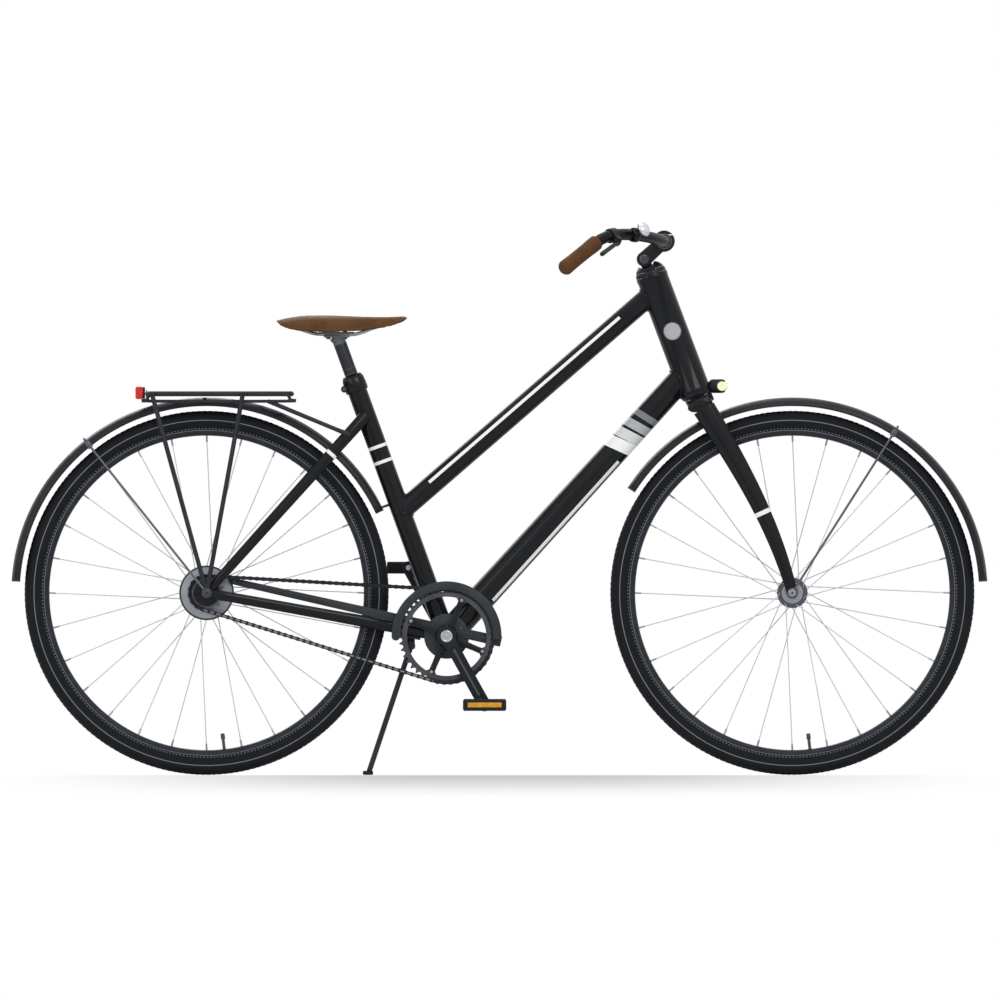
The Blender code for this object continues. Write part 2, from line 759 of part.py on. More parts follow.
def piece(name, thing, finish_name, origin=Vector((0.0, 0.0, 0.0))):
    """Name a working object, give it its material and set its origin."""
    data = thing.data
    data.transform(Matrix.Translation(-origin))
    thing.location = origin
    thing.name = name
    data.name = name
    data.materials.clear()
    data.materials.append(finish(finish_name))
    data.shade_smooth()
    data.set_sharp_from_angle(angle=math.radians(32.0))
    return thing


# Frame tubes

def shell_cutter():
    """Room that the bottom bracket shell takes from the tubes."""
    half = BRACKET_SHELL_WIDTH / 2.0 + GAP
    return disc(BRACKET, BRACKET_SHELL_RADIUS + GAP, -half, half, 16)


def seat_cutter():
    """Room that the seat tube takes from its neighbours."""
    radius = SEAT_TUBE_RADIUS + GAP
    length = SEAT_TUBE_LENGTH + CUT_OVERRUN
    return turned(BRACKET, SEAT_UP, ((0.0, radius), (length, radius)), 16)


def head_cutter():
    """Room that the head tube takes from its neighbours."""
    radius = HEAD_TUBE_RADIUS + GAP
    start = HEAD_FOOT - CUT_OVERRUN * HEAD_UP
    length = HEAD_TUBE_LENGTH + 2.0 * CUT_OVERRUN
    return turned(start, HEAD_UP, ((0.0, radius), (length, radius)), 20)


def make_head_tube():
    """Open tube that the steerer turns in."""
    inner = HEAD_TUBE_RADIUS - HEAD_TUBE_WALL
    radii = (HEAD_TUBE_RADIUS, HEAD_TUBE_RADIUS)
    tube = pipe(HEAD_FOOT, HEAD_TOP, radii, (inner, inner), 20)
    piece("head_tube", tube, "frame_black")


def make_seat_tube():
    """Open tube over the bottom bracket, bored for the seat post."""
    inner = SEAT_POST_RADIUS + RUNNING_CLEARANCE
    radii = (SEAT_TUBE_RADIUS, SEAT_TUBE_RADIUS)
    tube = pipe(BRACKET, SEAT_TOP, radii, (inner, inner), 16)
    piece("seat_tube", cut(tube, shell_cutter()), "frame_black")


def make_top_tube():
    """Sloping tube of the step-through frame."""
    start = BRACKET + TOP_TUBE_SEAT_JOINT * SEAT_UP
    end = HEAD_FOOT + TOP_TUBE_HEAD_JOINT * HEAD_UP
    inner = TOP_TUBE_RADIUS - TUBE_WALL
    radii = (TOP_TUBE_RADIUS, TOP_TUBE_RADIUS)
    along = (end - start).normalized()
    tube = pipe(start + 0.25 * SEAT_TUBE_RADIUS * along, end, radii, (inner, inner), 16)
    piece("top_tube", cut(tube, seat_cutter(), head_cutter()), "frame_black")


def make_down_tube():
    """Main tube, stouter at the bottom bracket than at the head."""
    end = HEAD_FOOT + DOWN_TUBE_HEAD_JOINT * HEAD_UP
    outer = (DOWN_TUBE_FOOT_RADIUS, DOWN_TUBE_RADIUS)
    inner = (DOWN_TUBE_FOOT_RADIUS - TUBE_WALL, DOWN_TUBE_RADIUS - TUBE_WALL)
    along = (end - BRACKET).normalized()
    start = BRACKET + 0.4 * BRACKET_SHELL_RADIUS * along
    tube = pipe(start, end, outer, inner, 16)
    cut(tube, shell_cutter(), seat_cutter(), head_cutter())
    piece("down_tube", tube, "frame_black")


def make_bracket_shell():
    """Short tube across the frame that carries the crank bearings."""
    half = BRACKET_SHELL_WIDTH / 2.0
    inner = BRACKET_SHELL_RADIUS - BRACKET_WALL
    start = at_side(BRACKET, -half)
    end = at_side(BRACKET, half)
    outer = (BRACKET_SHELL_RADIUS, BRACKET_SHELL_RADIUS)
    shell = pipe(start, end, outer, (inner, inner), 16)
    piece("bottom_bracket_shell", shell, "frame_black")


def make_bracket_cartridge():
    """Bearing cartridge inside the shell, bored for the crank axle."""
    reach = BRACKET_SHELL_WIDTH / 2.0 + CARTRIDGE_LIP
    outer = BRACKET_SHELL_RADIUS - BRACKET_WALL - GAP
    inner = CRANK_AXLE_RADIUS + RUNNING_CLEARANCE
    start = at_side(BRACKET, -reach)
    end = at_side(BRACKET, reach)
    sleeve = pipe(start, end, (outer, outer), (inner, inner), 16)
    piece("bottom_bracket_cartridge", sleeve, "steel")


def chain_stay_path(side):
    """Centres and sizes of a chain stay, from the shell to the axle."""
    stations = (
        (0.026, 0.0215, 1.00), (0.129, 0.0265, 1.00), (0.225, 0.0300, 0.98),
        (0.343, 0.0305, 0.95), (0.536, 0.0470, 0.88), (0.751, 0.0640, 0.84),
        (1.0 - CHAIN_STAY_STRAIGHT / CENTRE_DISTANCE, STAY_END_Y, 0.80), (1.0, STAY_END_Y, 0.79),
    )
    points = []
    sizes = []
    for blend, y, share in stations:
        point = BRACKET.lerp(REAR_AXLE, blend)
        points.append(at_side(point, side * y))
        width = STAY_WIDTH + (STAY_END_WIDTH - STAY_WIDTH) * blend
        sizes.append((CHAIN_STAY_FRONT_HEIGHT * share, width))
    return points, sizes


def seat_stay_path(side):
    """Centres and sizes of a seat stay, from the axle to the seat tube."""
    stations = ((0.0, STAY_END_Y), (SEAT_STAY_STRAIGHT, STAY_END_Y),
                (0.575 * WHEEL_RADIUS, SEAT_STAY_LOWER_Y),
                (0.948 * WHEEL_RADIUS, SEAT_STAY_UPPER_Y), (SEAT_STAY_NARROW, SEAT_STAY_NARROW_Y),
                (SEAT_STAY_LENGTH, SEAT_STAY_TOP_Y))
    points = []
    sizes = []
    for along, y in stations:
        points.append(at_side(REAR_AXLE + SEAT_STAY_UP * along, side * y))
        blend = along / SEAT_STAY_LENGTH
        swell = SEAT_STAY_TOP_HEIGHT - SEAT_STAY_REAR_HEIGHT
        height = SEAT_STAY_REAR_HEIGHT + swell * blend
        width = STAY_END_WIDTH + (STAY_WIDTH - STAY_END_WIDTH) * blend
        sizes.append((height, width))
    return points, sizes


def axle_end(side, radius, low, high, sides=14):
    """Disc about the rear axle between two distances from the middle."""
    return disc(REAR_AXLE, radius, *sorted((side * low, side * high)), sides)


def make_stays(side, name):
    """One chain stay with its dropout and one seat stay above it."""
    outer_face = STAY_END_Y + STAY_END_WIDTH / 2.0
    stay = swept(*chain_stay_path(side), 8)
    stub_points, stub_sizes = seat_stay_path(side)
    stub_end = stub_points[0] + SEAT_STAY_UP * (DROPOUT_RADIUS + GAP)
    stub = swept((stub_points[0], stub_end), (stub_sizes[0], stub_sizes[0]), 8)
    boss = axle_end(side, SEAT_STAY_REAR_HEIGHT / 2.0 + GAP, DROPOUT_FACE, outer_face)
    ear = axle_end(side, DROPOUT_RADIUS, DROPOUT_FACE, DROPOUT_FACE + DROPOUT_THICKNESS, 18)
    fuse(stay, boss, ear, stub)
    hole = axle_end(side, AXLE_RADIUS + GAP, DROPOUT_FACE - CUT_MARGIN, outer_face + CUT_MARGIN)
    cut(stay, shell_cutter(), seat_cutter(), hole)
    piece(f"chain_stay_{name}", stay, "frame_black")
    upper = swept(*seat_stay_path(side), 8)
    size = (10.0 * CUT_MARGIN, 5.0 * CUT_MARGIN, 10.0 * CUT_MARGIN)
    foot_end = DROPOUT_RADIUS + 2.0 * GAP
    foot_centre = REAR_AXLE + SEAT_STAY_UP * (foot_end - size[0] / 2.0)
    foot = block(at_side(foot_centre, side * STAY_END_Y), size, SEAT_STAY_UP)
    cut(upper, foot, seat_cutter())
    if side == RIGHT:
        fuse(upper, stay_bridge())
    piece(f"seat_stay_{name}", upper, "frame_black")


def stay_bridge():
    """Tube between the seat stays that carries the rear fender."""
    centre = REAR_AXLE + SEAT_STAY_UP * BRIDGE_ALONG
    start = at_side(centre, -SEAT_STAY_NARROW_Y)
    stations = ((0.0, BRIDGE_RADIUS), (SEAT_STAY_NARROW_Y + BRIDGE_REACH, BRIDGE_RADIUS))
    return turned(start, ACROSS, stations, 12)


def make_seat_collar():
    """Clamp ring on top of the seat tube, rounded over, split at the back."""
    base = SEAT_TOP - SEAT_UP * COLLAR_OVERLAP
    stations = ((0.0, COLLAR_RADIUS - COLLAR_CHAMFER), (COLLAR_EDGE, COLLAR_RADIUS),
                (COLLAR_HEIGHT - COLLAR_SHOULDER, COLLAR_RADIUS - COLLAR_TAPER),
                (COLLAR_HEIGHT, COLLAR_RADIUS - COLLAR_CROWN))
    ring = turned(base, SEAT_UP, stations, 16)
    rearmost = base - unit(math.pi / 2.0 - SEAT_ANGLE) * COLLAR_RADIUS
    bolt_centre = rearmost + SEAT_UP * COLLAR_BOLT_HEIGHT
    stations = ((0.0, COLLAR_LUG_RADIUS), (COLLAR_LUG_LENGTH, COLLAR_LUG_RADIUS))
    lug = turned(at_side(bolt_centre, -COLLAR_LUG_LENGTH / 2.0), ACROSS, stations, 12)
    fuse(ring, lug)
    post = SEAT_POST_RADIUS + RUNNING_CLEARANCE
    seat = SEAT_TUBE_RADIUS + GAP
    step = CUT_MARGIN + COLLAR_OVERLAP + GAP
    room = turned(base - SEAT_UP * CUT_MARGIN, SEAT_UP,
                  ((0.0, seat), (step, seat), (step, post), (step + COLLAR_HEIGHT + CUT_MARGIN, post)), 16)
    slot = block(rearmost + SEAT_UP * CUT_MARGIN,
                 (6.0 * CUT_MARGIN, COLLAR_SLOT_WIDTH, COLLAR_SLOT_DEPTH), SEAT_UP)
    cut(ring, room, slot)
    piece("seat_collar", ring, "frame_black")


def dome_stations(low, high, count):
    """Slice of the dome on top of the head tube, between two heights."""
    stations = []
    for step in range(count):
        height = low + (high - low) * step / (count - 1.0)
        stations.append((height, HEAD_TUBE_RADIUS * math.sqrt(1.0 - (height / DOME_HEIGHT) ** 2)))
    return stations


def make_headset():
    """Lower bearing cup under the head tube and rounded upper cup above it."""
    bore = STEERER_RADIUS + RUNNING_CLEARANCE
    lower = turned(HEAD_FOOT - GAP * HEAD_UP, -HEAD_UP,
                   ((0.0, HEAD_TUBE_RADIUS), (LOWER_CUP_EDGE, HEAD_TUBE_RADIUS - LOWER_CUP_LIP),
                    (LOWER_CUP_DEPTH, HEAD_TUBE_RADIUS - LOWER_CUP_TAPER)), 20)
    hole = ((0.0, bore), (2.0 * CUT_OVERRUN, bore))
    cut(lower, turned(HEAD_FOOT - CUT_OVERRUN * HEAD_UP, HEAD_UP, hole, 16))
    piece("headset_lower", lower, "plastic_black")
    upper = turned(HEAD_TOP + GAP * HEAD_UP, HEAD_UP, dome_stations(0.0, CUP_RISE, 3), 20)
    cut(upper, turned(HEAD_TOP - CUT_MARGIN * HEAD_UP, HEAD_UP, hole, 16))
    piece("headset_upper", upper, "plastic_black")


# Wheels

def spoke_line(hub, side, index, flange_radius, spacing):
    """Ends of one spoke: in the flange and just short of the rim."""
    step = 2.0 * math.pi / SPOKE_COUNT
    way = -1.0 if index % 2 == 0 else 1.0
    end_angle = index * step
    hole_radius = flange_radius - SPOKE_HOLE_INSET
    rim_reach = RIM_INNER_RADIUS + NIPPLE_REACH
    swing = math.acos(SPOKE_OFFSET / rim_reach) - math.acos(SPOKE_OFFSET / hole_radius)
    start_angle = end_angle - way * swing
    y = side * (spacing / 2.0 + SPOKE_STAGGER * way)
    start = hub + hole_radius * unit(start_angle) + ACROSS * y
    end = hub + rim_reach * unit(end_angle) + ACROSS * (side * NIPPLE_STAGGER)
    return start, end


def spokes(hub, flange_radius, spacing):
    """All spokes of a wheel; neighbours lean opposite ways."""
    things = []
    for index in range(SPOKE_COUNT):
        side = RIGHT if (index // 2) % 2 == 0 else LEFT
        start, end = spoke_line(hub, side, index, flange_radius, spacing)
        direction = (end - start).normalized()
        stations = ((0.0, SPOKE_DIAMETER / 2.0), ((end - start).length, SPOKE_DIAMETER / 2.0))
        things.append(turned(start, direction, stations, 3))
    return gathered(things)


def make_wheel(name, hub, shell, flange_radius, spacing):
    """Tyre and rim, and the hub shell with its spokes hooked in."""
    half = TYRE_WIDTH / 2.0
    rim_half = RIM_WIDTH / 2.0
    bead = RIM_OUTER_RADIUS - RIM_BED_DEPTH
    middle = 0.5 * (RIM_OUTER_RADIUS + WHEEL_RADIUS)
    rise = WHEEL_RADIUS - middle
    tyre = [(bead, -rim_half + RIM_BEAD_INSET), (RIM_OUTER_RADIUS + GAP, -rim_half + RIM_BEAD_INSET)]
    for step in range(5):
        turn = TYRE_SHOULDER * (step / 2.0 - 1.0)
        lift = math.cos(turn) ** 0.9
        tyre.append((middle + rise * lift, half * math.sin(turn) / math.sin(TYRE_SHOULDER)))
    tyre.append((RIM_OUTER_RADIUS + GAP, rim_half - RIM_BEAD_INSET))
    tyre.append((bead, rim_half - RIM_BEAD_INSET))
    piece(f"{name}_tyre", wheel_ring(hub, tyre, WHEEL_SIDES), "tyre_rubber", hub)
    well = bead - GAP
    rim = ((RIM_INNER_RADIUS, -RIM_INNER_HALF), (RIM_INNER_RADIUS, RIM_INNER_HALF),
           (RIM_INNER_RADIUS + RIM_SHOULDER, rim_half), (RIM_OUTER_RADIUS, rim_half),
           (well, rim_half - RIM_FLANGE_WIDTH), (well, -rim_half + RIM_FLANGE_WIDTH),
           (RIM_OUTER_RADIUS, -rim_half), (RIM_INNER_RADIUS + RIM_SHOULDER, -rim_half))
    piece(f"{name}_rim", wheel_ring(hub, rim, WHEEL_SIDES), "rim_black", hub)
    body = wheel_ring(hub, shell, 18)
    fuse(body, spokes(hub, flange_radius, spacing))
    reach = RIM_INNER_RADIUS - GAP
    clear = ((reach, -CUT_MARGIN), (reach, CUT_MARGIN),
             (reach + CUT_MARGIN, CUT_MARGIN), (reach + CUT_MARGIN, -CUT_MARGIN))
    cut(body, wheel_ring(hub, clear, WHEEL_SIDES))
    piece(f"{name}_hub", body, "hub_metal", hub)


def make_wheels():
    """Front wheel on its closed hub and rear wheel on its geared hub."""
    bore = AXLE_RADIUS + RUNNING_CLEARANCE
    flange = FRONT_FLANGE_SPACING / 2.0
    end = FRONT_HUB_WIDTH / 2.0 - HUB_END_INSET
    radius = FRONT_FLANGE_RADIUS
    half = ((bore, end), (FRONT_HUB_CAP_RADIUS - HUB_CAP_CHAMFER, end),
            (FRONT_HUB_CAP_RADIUS, end - HUB_CAP_CHAMFER), (radius, flange + FLANGE_OUTER_HALF),
            (radius, flange - FLANGE_INNER_HALF), (FRONT_HUB_CAP_RADIUS, flange - FRONT_WAIST_INSET))
    mirrored = [(r, -y) for r, y in reversed(half)]
    make_wheel("front", FRONT_AXLE, list(half) + mirrored, radius, FRONT_FLANGE_SPACING)
    flange = REAR_FLANGE_SPACING / 2.0
    radius = REAR_FLANGE_RADIUS
    left = ((bore, REAR_CAP_FACE), (REAR_CAP_RADIUS - HUB_CAP_CHAMFER, REAR_CAP_FACE),
            (REAR_CAP_RADIUS, REAR_CAP_FACE - HUB_CAP_CHAMFER),
            (REAR_CAP_FOOT_RADIUS, flange + REAR_CAP_FOOT),
            (radius, flange + REAR_FLANGE_OUTER_HALF),
            (radius, flange - FLANGE_INNER_HALF), (REAR_SHELL_RADIUS, flange - HUB_CAP_CHAMFER))
    right = ((REAR_SHELL_RADIUS, HUB_CAP_CHAMFER - flange), (radius, FLANGE_INNER_HALF - flange),
             (radius, -flange - REAR_FLANGE_OUTER_HALF), (REAR_DRIVE_RADIUS, -flange - REAR_DRIVE_RISE),
             (bore, -flange - REAR_DRIVE_RISE))
    make_wheel("rear", REAR_AXLE, list(left) + list(right), radius, REAR_FLANGE_SPACING)


def axle_with_nuts(centre, name, face, nut_face):
    """Static axle: shoulders inside the frame ends and nuts outside them."""
    bore = AXLE_RADIUS
    shoulder = AXLE_SHOULDER_RADIUS
    inner = face - GAP
    hub_end = inner - AXLE_SHOULDER_LENGTH
    half = ((0.0, bore), (hub_end, bore), (hub_end, shoulder), (inner, shoulder),
            (inner, bore), (nut_face, bore), (nut_face, AXLE_NUT_RADIUS),
            (nut_face + AXLE_NUT_HEIGHT, AXLE_NUT_RADIUS), (nut_face + AXLE_NUT_HEIGHT, bore),
            (nut_face + AXLE_END, bore))
    stations = [(-y, r) for y, r in reversed(half[1:])] + list(half[1:])
    axle = turned(centre, ACROSS, stations, 8)
    piece(name, axle, "steel")


# Drive

def toothed(centre, teeth, phase, low, high):
    """Toothed plate; a gap between teeth lies at the phase angle."""
    radius = tooth_circle(teeth)
    root = radius - TOOTH_ROOT_DEPTH
    tip = radius + TOOTH_HEIGHT
    pitch_angle = 2.0 * math.pi / teeth
    shares = ((0.0, root), (0.50, tip))
    outline = []
    for tooth in range(teeth):
        for share, reach in shares:
            angle = phase + (tooth + share) * pitch_angle
            outline.append(centre + reach * unit(angle))
    return plate(outline, low, high)


LEAN = math.asin((RING_RADIUS - SPROCKET_RADIUS) / CENTRE_DISTANCE)
UPPER_ANGLE = STAY_ANGLE + math.pi / 2.0 + LEAN
LOWER_ANGLE = STAY_ANGLE - math.pi / 2.0 - LEAN
RUN_LENGTH = CENTRE_DISTANCE * math.cos(LEAN)
RING_WRAP = (math.pi + 2.0 * LEAN) * RING_RADIUS
RING_PHASE = UPPER_ANGLE
LOWER_PINS = math.ceil((RING_WRAP + RUN_LENGTH) / CHAIN_PITCH)
SPROCKET_START = LOWER_PINS * CHAIN_PITCH - RING_WRAP - RUN_LENGTH
SPROCKET_PHASE = LOWER_ANGLE - SPROCKET_START / SPROCKET_RADIUS


def chain_point(distance):
    """Place and forward direction on the chain, from the ring's top on."""
    if distance <= RING_WRAP:
        angle = UPPER_ANGLE - distance / RING_RADIUS
        return BRACKET + RING_RADIUS * unit(angle), unit(angle - math.pi / 2.0)
    distance -= RING_WRAP
    if distance <= RUN_LENGTH:
        start = BRACKET + RING_RADIUS * unit(LOWER_ANGLE)
        along = unit(LOWER_ANGLE - math.pi / 2.0)
        return start + along * distance, along
    distance -= RUN_LENGTH
    sprocket_wrap = (math.pi - 2.0 * LEAN) * SPROCKET_RADIUS
    if distance <= sprocket_wrap:
        angle = LOWER_ANGLE - distance / SPROCKET_RADIUS
        return REAR_AXLE + SPROCKET_RADIUS * unit(angle), unit(angle - math.pi / 2.0)
    distance -= sprocket_wrap
    start = REAR_AXLE + SPROCKET_RADIUS * unit(UPPER_ANGLE)
    along = unit(UPPER_ANGLE - math.pi / 2.0)
    return start + along * distance, along


def link_row(side):
    """Row of side plates on one side of the chain, as one band."""
    inner = CHAIN_INNER_WIDTH / 2.0
    thick = CHAIN_PLATE_THICKNESS
    rings = []
    for link in range(CHAIN_LINKS):
        point, along = chain_point(link * CHAIN_PITCH)
        upward = unit(math.atan2(along.z, along.x) + math.pi / 2.0)
        near, far = inner, inner + 2.0 * thick
        ring = []
        for y, rise in ((near, 0.5), (far, 0.5), (far, -0.5), (near, -0.5)):
            corner = point + upward * (CHAIN_PLATE_HEIGHT * rise)
            ring.append(at_side(corner, -CHAIN_LINE + side * y))
        rings.append(ring)
    return lofted(rings, closed=True)


def make_chain():
    """Roller chain; its rollers fill the straight runs, clear of the teeth."""
    chain = gathered([link_row(RIGHT), link_row(LEFT)])
    half = CHAIN_INNER_WIDTH / 2.0 + 0.5 * CHAIN_PLATE_THICKNESS
    rollers = []
    tip = RING_RADIUS + TOOTH_HEIGHT + CHAIN_ROLLER_RADIUS + RUNNING_CLEARANCE
    margin = math.sqrt(tip ** 2 - RING_RADIUS ** 2)
    for pin in range(0, CHAIN_LINKS, 2):
        distance = pin * CHAIN_PITCH
        lower = RING_WRAP + margin < distance < RING_WRAP + RUN_LENGTH - margin
        upper_start = CHAIN_LINKS * CHAIN_PITCH - RUN_LENGTH
        upper = distance > upper_start + margin and distance < CHAIN_LINKS * CHAIN_PITCH - margin
        if lower or upper:
            point, _ = chain_point(distance)
            low, high = -CHAIN_LINE - half, -CHAIN_LINE + half
            rollers.append(disc(point, CHAIN_ROLLER_RADIUS, low, high, 4))
    piece("chain", fuse(chain, gathered(rollers)), "chain_steel")


def make_sprocket():
    """Sprocket of the geared hub, on its driver boss."""
    half = TOOTH_THICKNESS / 2.0
    low, high = -CHAIN_LINE - half, -CHAIN_LINE + half
    wheel = toothed(REAR_AXLE, SPROCKET_TEETH, SPROCKET_PHASE, low, high)
    outer = -(REAR_HUB_WIDTH / 2.0 - AXLE_SHOULDER_LENGTH - GAP)
    inner = -(REAR_FLANGE_SPACING / 2.0 + REAR_DRIVE_RISE + GAP)
    fuse(wheel, disc(REAR_AXLE, SPROCKET_BOSS_RADIUS, outer, inner, 16))
    bore = AXLE_RADIUS + RUNNING_CLEARANCE
    cut(wheel, disc(REAR_AXLE, bore, outer - CUT_MARGIN, inner + CUT_MARGIN, 14))
    piece("rear_sprocket", wheel, "steel", REAR_AXLE)


def make_chainring():
    """Chainring with 44 teeth, its rim carried by a four-armed spider."""
    half = TOOTH_THICKNESS / 2.0
    low, high = -CHAIN_LINE - half, -CHAIN_LINE + half
    ring = toothed(BRACKET, RING_TEETH, RING_PHASE, low, high)
    cut(ring, disc(BRACKET, RING_RIM_INNER_RADIUS, low - CUT_MARGIN, high + CUT_MARGIN, 28))
    arms = []
    face = -CHAIN_LINE - half
    for arm in range(SPIDER_ARMS):
        angle = SPIDER_ANGLE + arm * 2.0 * math.pi / SPIDER_ARMS
        reach = 0.5 * RING_RIM_INNER_RADIUS + 0.004
        centre = at_side(BRACKET + reach * unit(angle), face - 0.4 * SPIDER_ARM_THICKNESS)
        size = (RING_RIM_INNER_RADIUS + 0.001, SPIDER_ARM_THICKNESS, SPIDER_ARM_WIDTH)
        arms.append(block(centre, size, unit(angle)))
    boss = disc(BRACKET, SPIDER_BOSS_RADIUS, -CRANK_INNER_FACE + GAP, -CHAIN_LINE + half, 20)
    fuse(boss, *arms)
    fuse(ring, boss)
    bore = CRANK_AXLE_RADIUS + GAP
    cut(ring, disc(BRACKET, bore, -CRANK_INNER_FACE - CUT_MARGIN, CUT_MARGIN - CHAIN_LINE, 16))
    piece("chainring", ring, "trim_grey", BRACKET)


def crank_outline(tip):
    """Side view of a crank arm, round at both ends and waisted."""
    along = (tip - BRACKET).normalized()
    angle = math.atan2(along.z, along.x)
    boss = 0.5 * CRANK_WIDTH + CRANK_BOSS_SWELL
    eye = 0.5 * CRANK_WIDTH + CRANK_EYE_SWELL
    outline = arc(BRACKET, boss, angle + math.radians(75), angle + math.radians(285), 10)
    outline += arc(tip, eye, angle - math.radians(85), angle + math.radians(85), 8)
    return outline


def make_crank(side, name):
    """Crank arm with the boss on the axle and the eye for the pedal."""
    turn = CRANK_ANGLE if side == RIGHT else CRANK_ANGLE + math.pi
    tip = BRACKET + CRANK_LENGTH * unit(turn)
    outer = CRANK_INNER_FACE + CRANK_THICKNESS
    low, high = sorted((side * CRANK_INNER_FACE, side * outer))
    arm = plate(crank_outline(tip), low, high)
    seat = CRANK_AXLE_RADIUS + GAP
    hole_end = CRANK_INNER_FACE + CRANK_SEAT_DEPTH
    hole_low, hole_high = sorted((side * (CRANK_INNER_FACE - CUT_MARGIN), side * hole_end))
    cut(arm, disc(BRACKET, seat, hole_low, hole_high, 18))
    cap_low, cap_high = sorted((side * (outer - CRANK_CAP_DEPTH), side * (outer + CRANK_CAP_RISE)))
    fuse(arm, disc(BRACKET, CRANK_CAP_RADIUS, cap_low, cap_high, 20))
    pin_low, pin_high = sorted((side * (outer - PEDAL_PIN_DEPTH),
                              side * (outer + PEDAL_PIN_REACH + PEDAL_WIDTH * PEDAL_PIN_SHARE)))
    fuse(arm, disc(tip, PEDAL_AXLE_RADIUS, pin_low, pin_high, 12))
    piece(f"crank_{name}", arm, "frame_black", BRACKET)


def make_crank_axle():
    """Axle through the cartridge, up to both crank arms."""
    reach = CRANK_INNER_FACE + CRANK_SEAT_DEPTH - GAP
    start = at_side(BRACKET, -reach)
    axle = turned(start, ACROSS, ((0.0, CRANK_AXLE_RADIUS), (2.0 * reach, CRANK_AXLE_RADIUS)), 18)
    piece("crank_axle", axle, "steel", BRACKET)


def rounded_box(centre, length, height, radius, low, high, steps=2):
    """Box seen from the side with rounded corners, between two y values."""
    outline = []
    for corner in range(4):
        right = 1.0 if corner in (0, 3) else -1.0
        upper = 1.0 if corner in (0, 1) else -1.0
        middle = centre + Vector((right * (length / 2.0 - radius), 0.0,
                                  upper * (height / 2.0 - radius)))
        start = corner * math.pi / 2.0
        outline += arc(middle, radius, start, start + math.pi / 2.0, steps)
    return plate(outline, low, high)


def make_pedal(side, name):
    """Platform pedal with open windows, and its amber side reflector."""
    turn = CRANK_ANGLE if side == RIGHT else CRANK_ANGLE + math.pi
    tip = BRACKET + CRANK_LENGTH * unit(turn)
    near = CRANK_INNER_FACE + CRANK_THICKNESS + PEDAL_CLEARANCE
    far = near + PEDAL_WIDTH
    low, high = sorted((side * near, side * far))
    body = rounded_box(tip, PEDAL_LENGTH, PEDAL_HEIGHT, PEDAL_CORNER, low, high, 3)
    cuts = []
    window = 0.5 * PEDAL_LENGTH - PEDAL_WEB_HALF - PEDAL_RIM
    for sign in (-1.0, 1.0):
        middle = tip + Vector((sign * (PEDAL_WEB_HALF + window / 2.0), 0.0, 0.0))
        edge_low, edge_high = sorted((side * (near + PEDAL_END_RIM), side * (far - PEDAL_END_RIM)))
        cuts.append(rounded_box(middle, window, PEDAL_HEIGHT + CUT_OVERRUN, WINDOW_CORNER,
                                edge_low, edge_high, 1))
    bore = PEDAL_AXLE_RADIUS + RUNNING_CLEARANCE
    depth = PEDAL_WIDTH * PEDAL_PIN_SHARE + PEDAL_PIN_REACH - PEDAL_CLEARANCE + PEDAL_PIN_DEPTH
    bore_low, bore_high = sorted((side * (near - CUT_MARGIN), side * (near + depth)))
    cuts.append(disc(tip, bore, bore_low, bore_high, 12))
    pocket_low, pocket_high = sorted((side * (far - REFLECTOR_DEPTH), side * (far + CUT_MARGIN)))
    length, height = REFLECTOR_LENGTH + 2.0 * GAP, REFLECTOR_HEIGHT + 2.0 * GAP
    cuts.append(rounded_box(tip, length, height, REFLECTOR_CORNER + GAP, pocket_low, pocket_high, 1))
    piece(f"pedal_{name}", cut(body, *cuts), "plastic_black", tip)
    lens_low, lens_high = sorted((side * (far - REFLECTOR_DEPTH + GAP), side * (far + REFLECTOR_PROUD)))
    lens = rounded_box(tip, REFLECTOR_LENGTH, REFLECTOR_HEIGHT, REFLECTOR_CORNER, lens_low, lens_high, 1)
    piece(f"pedal_reflector_{name}", lens, "reflector_amber", tip)


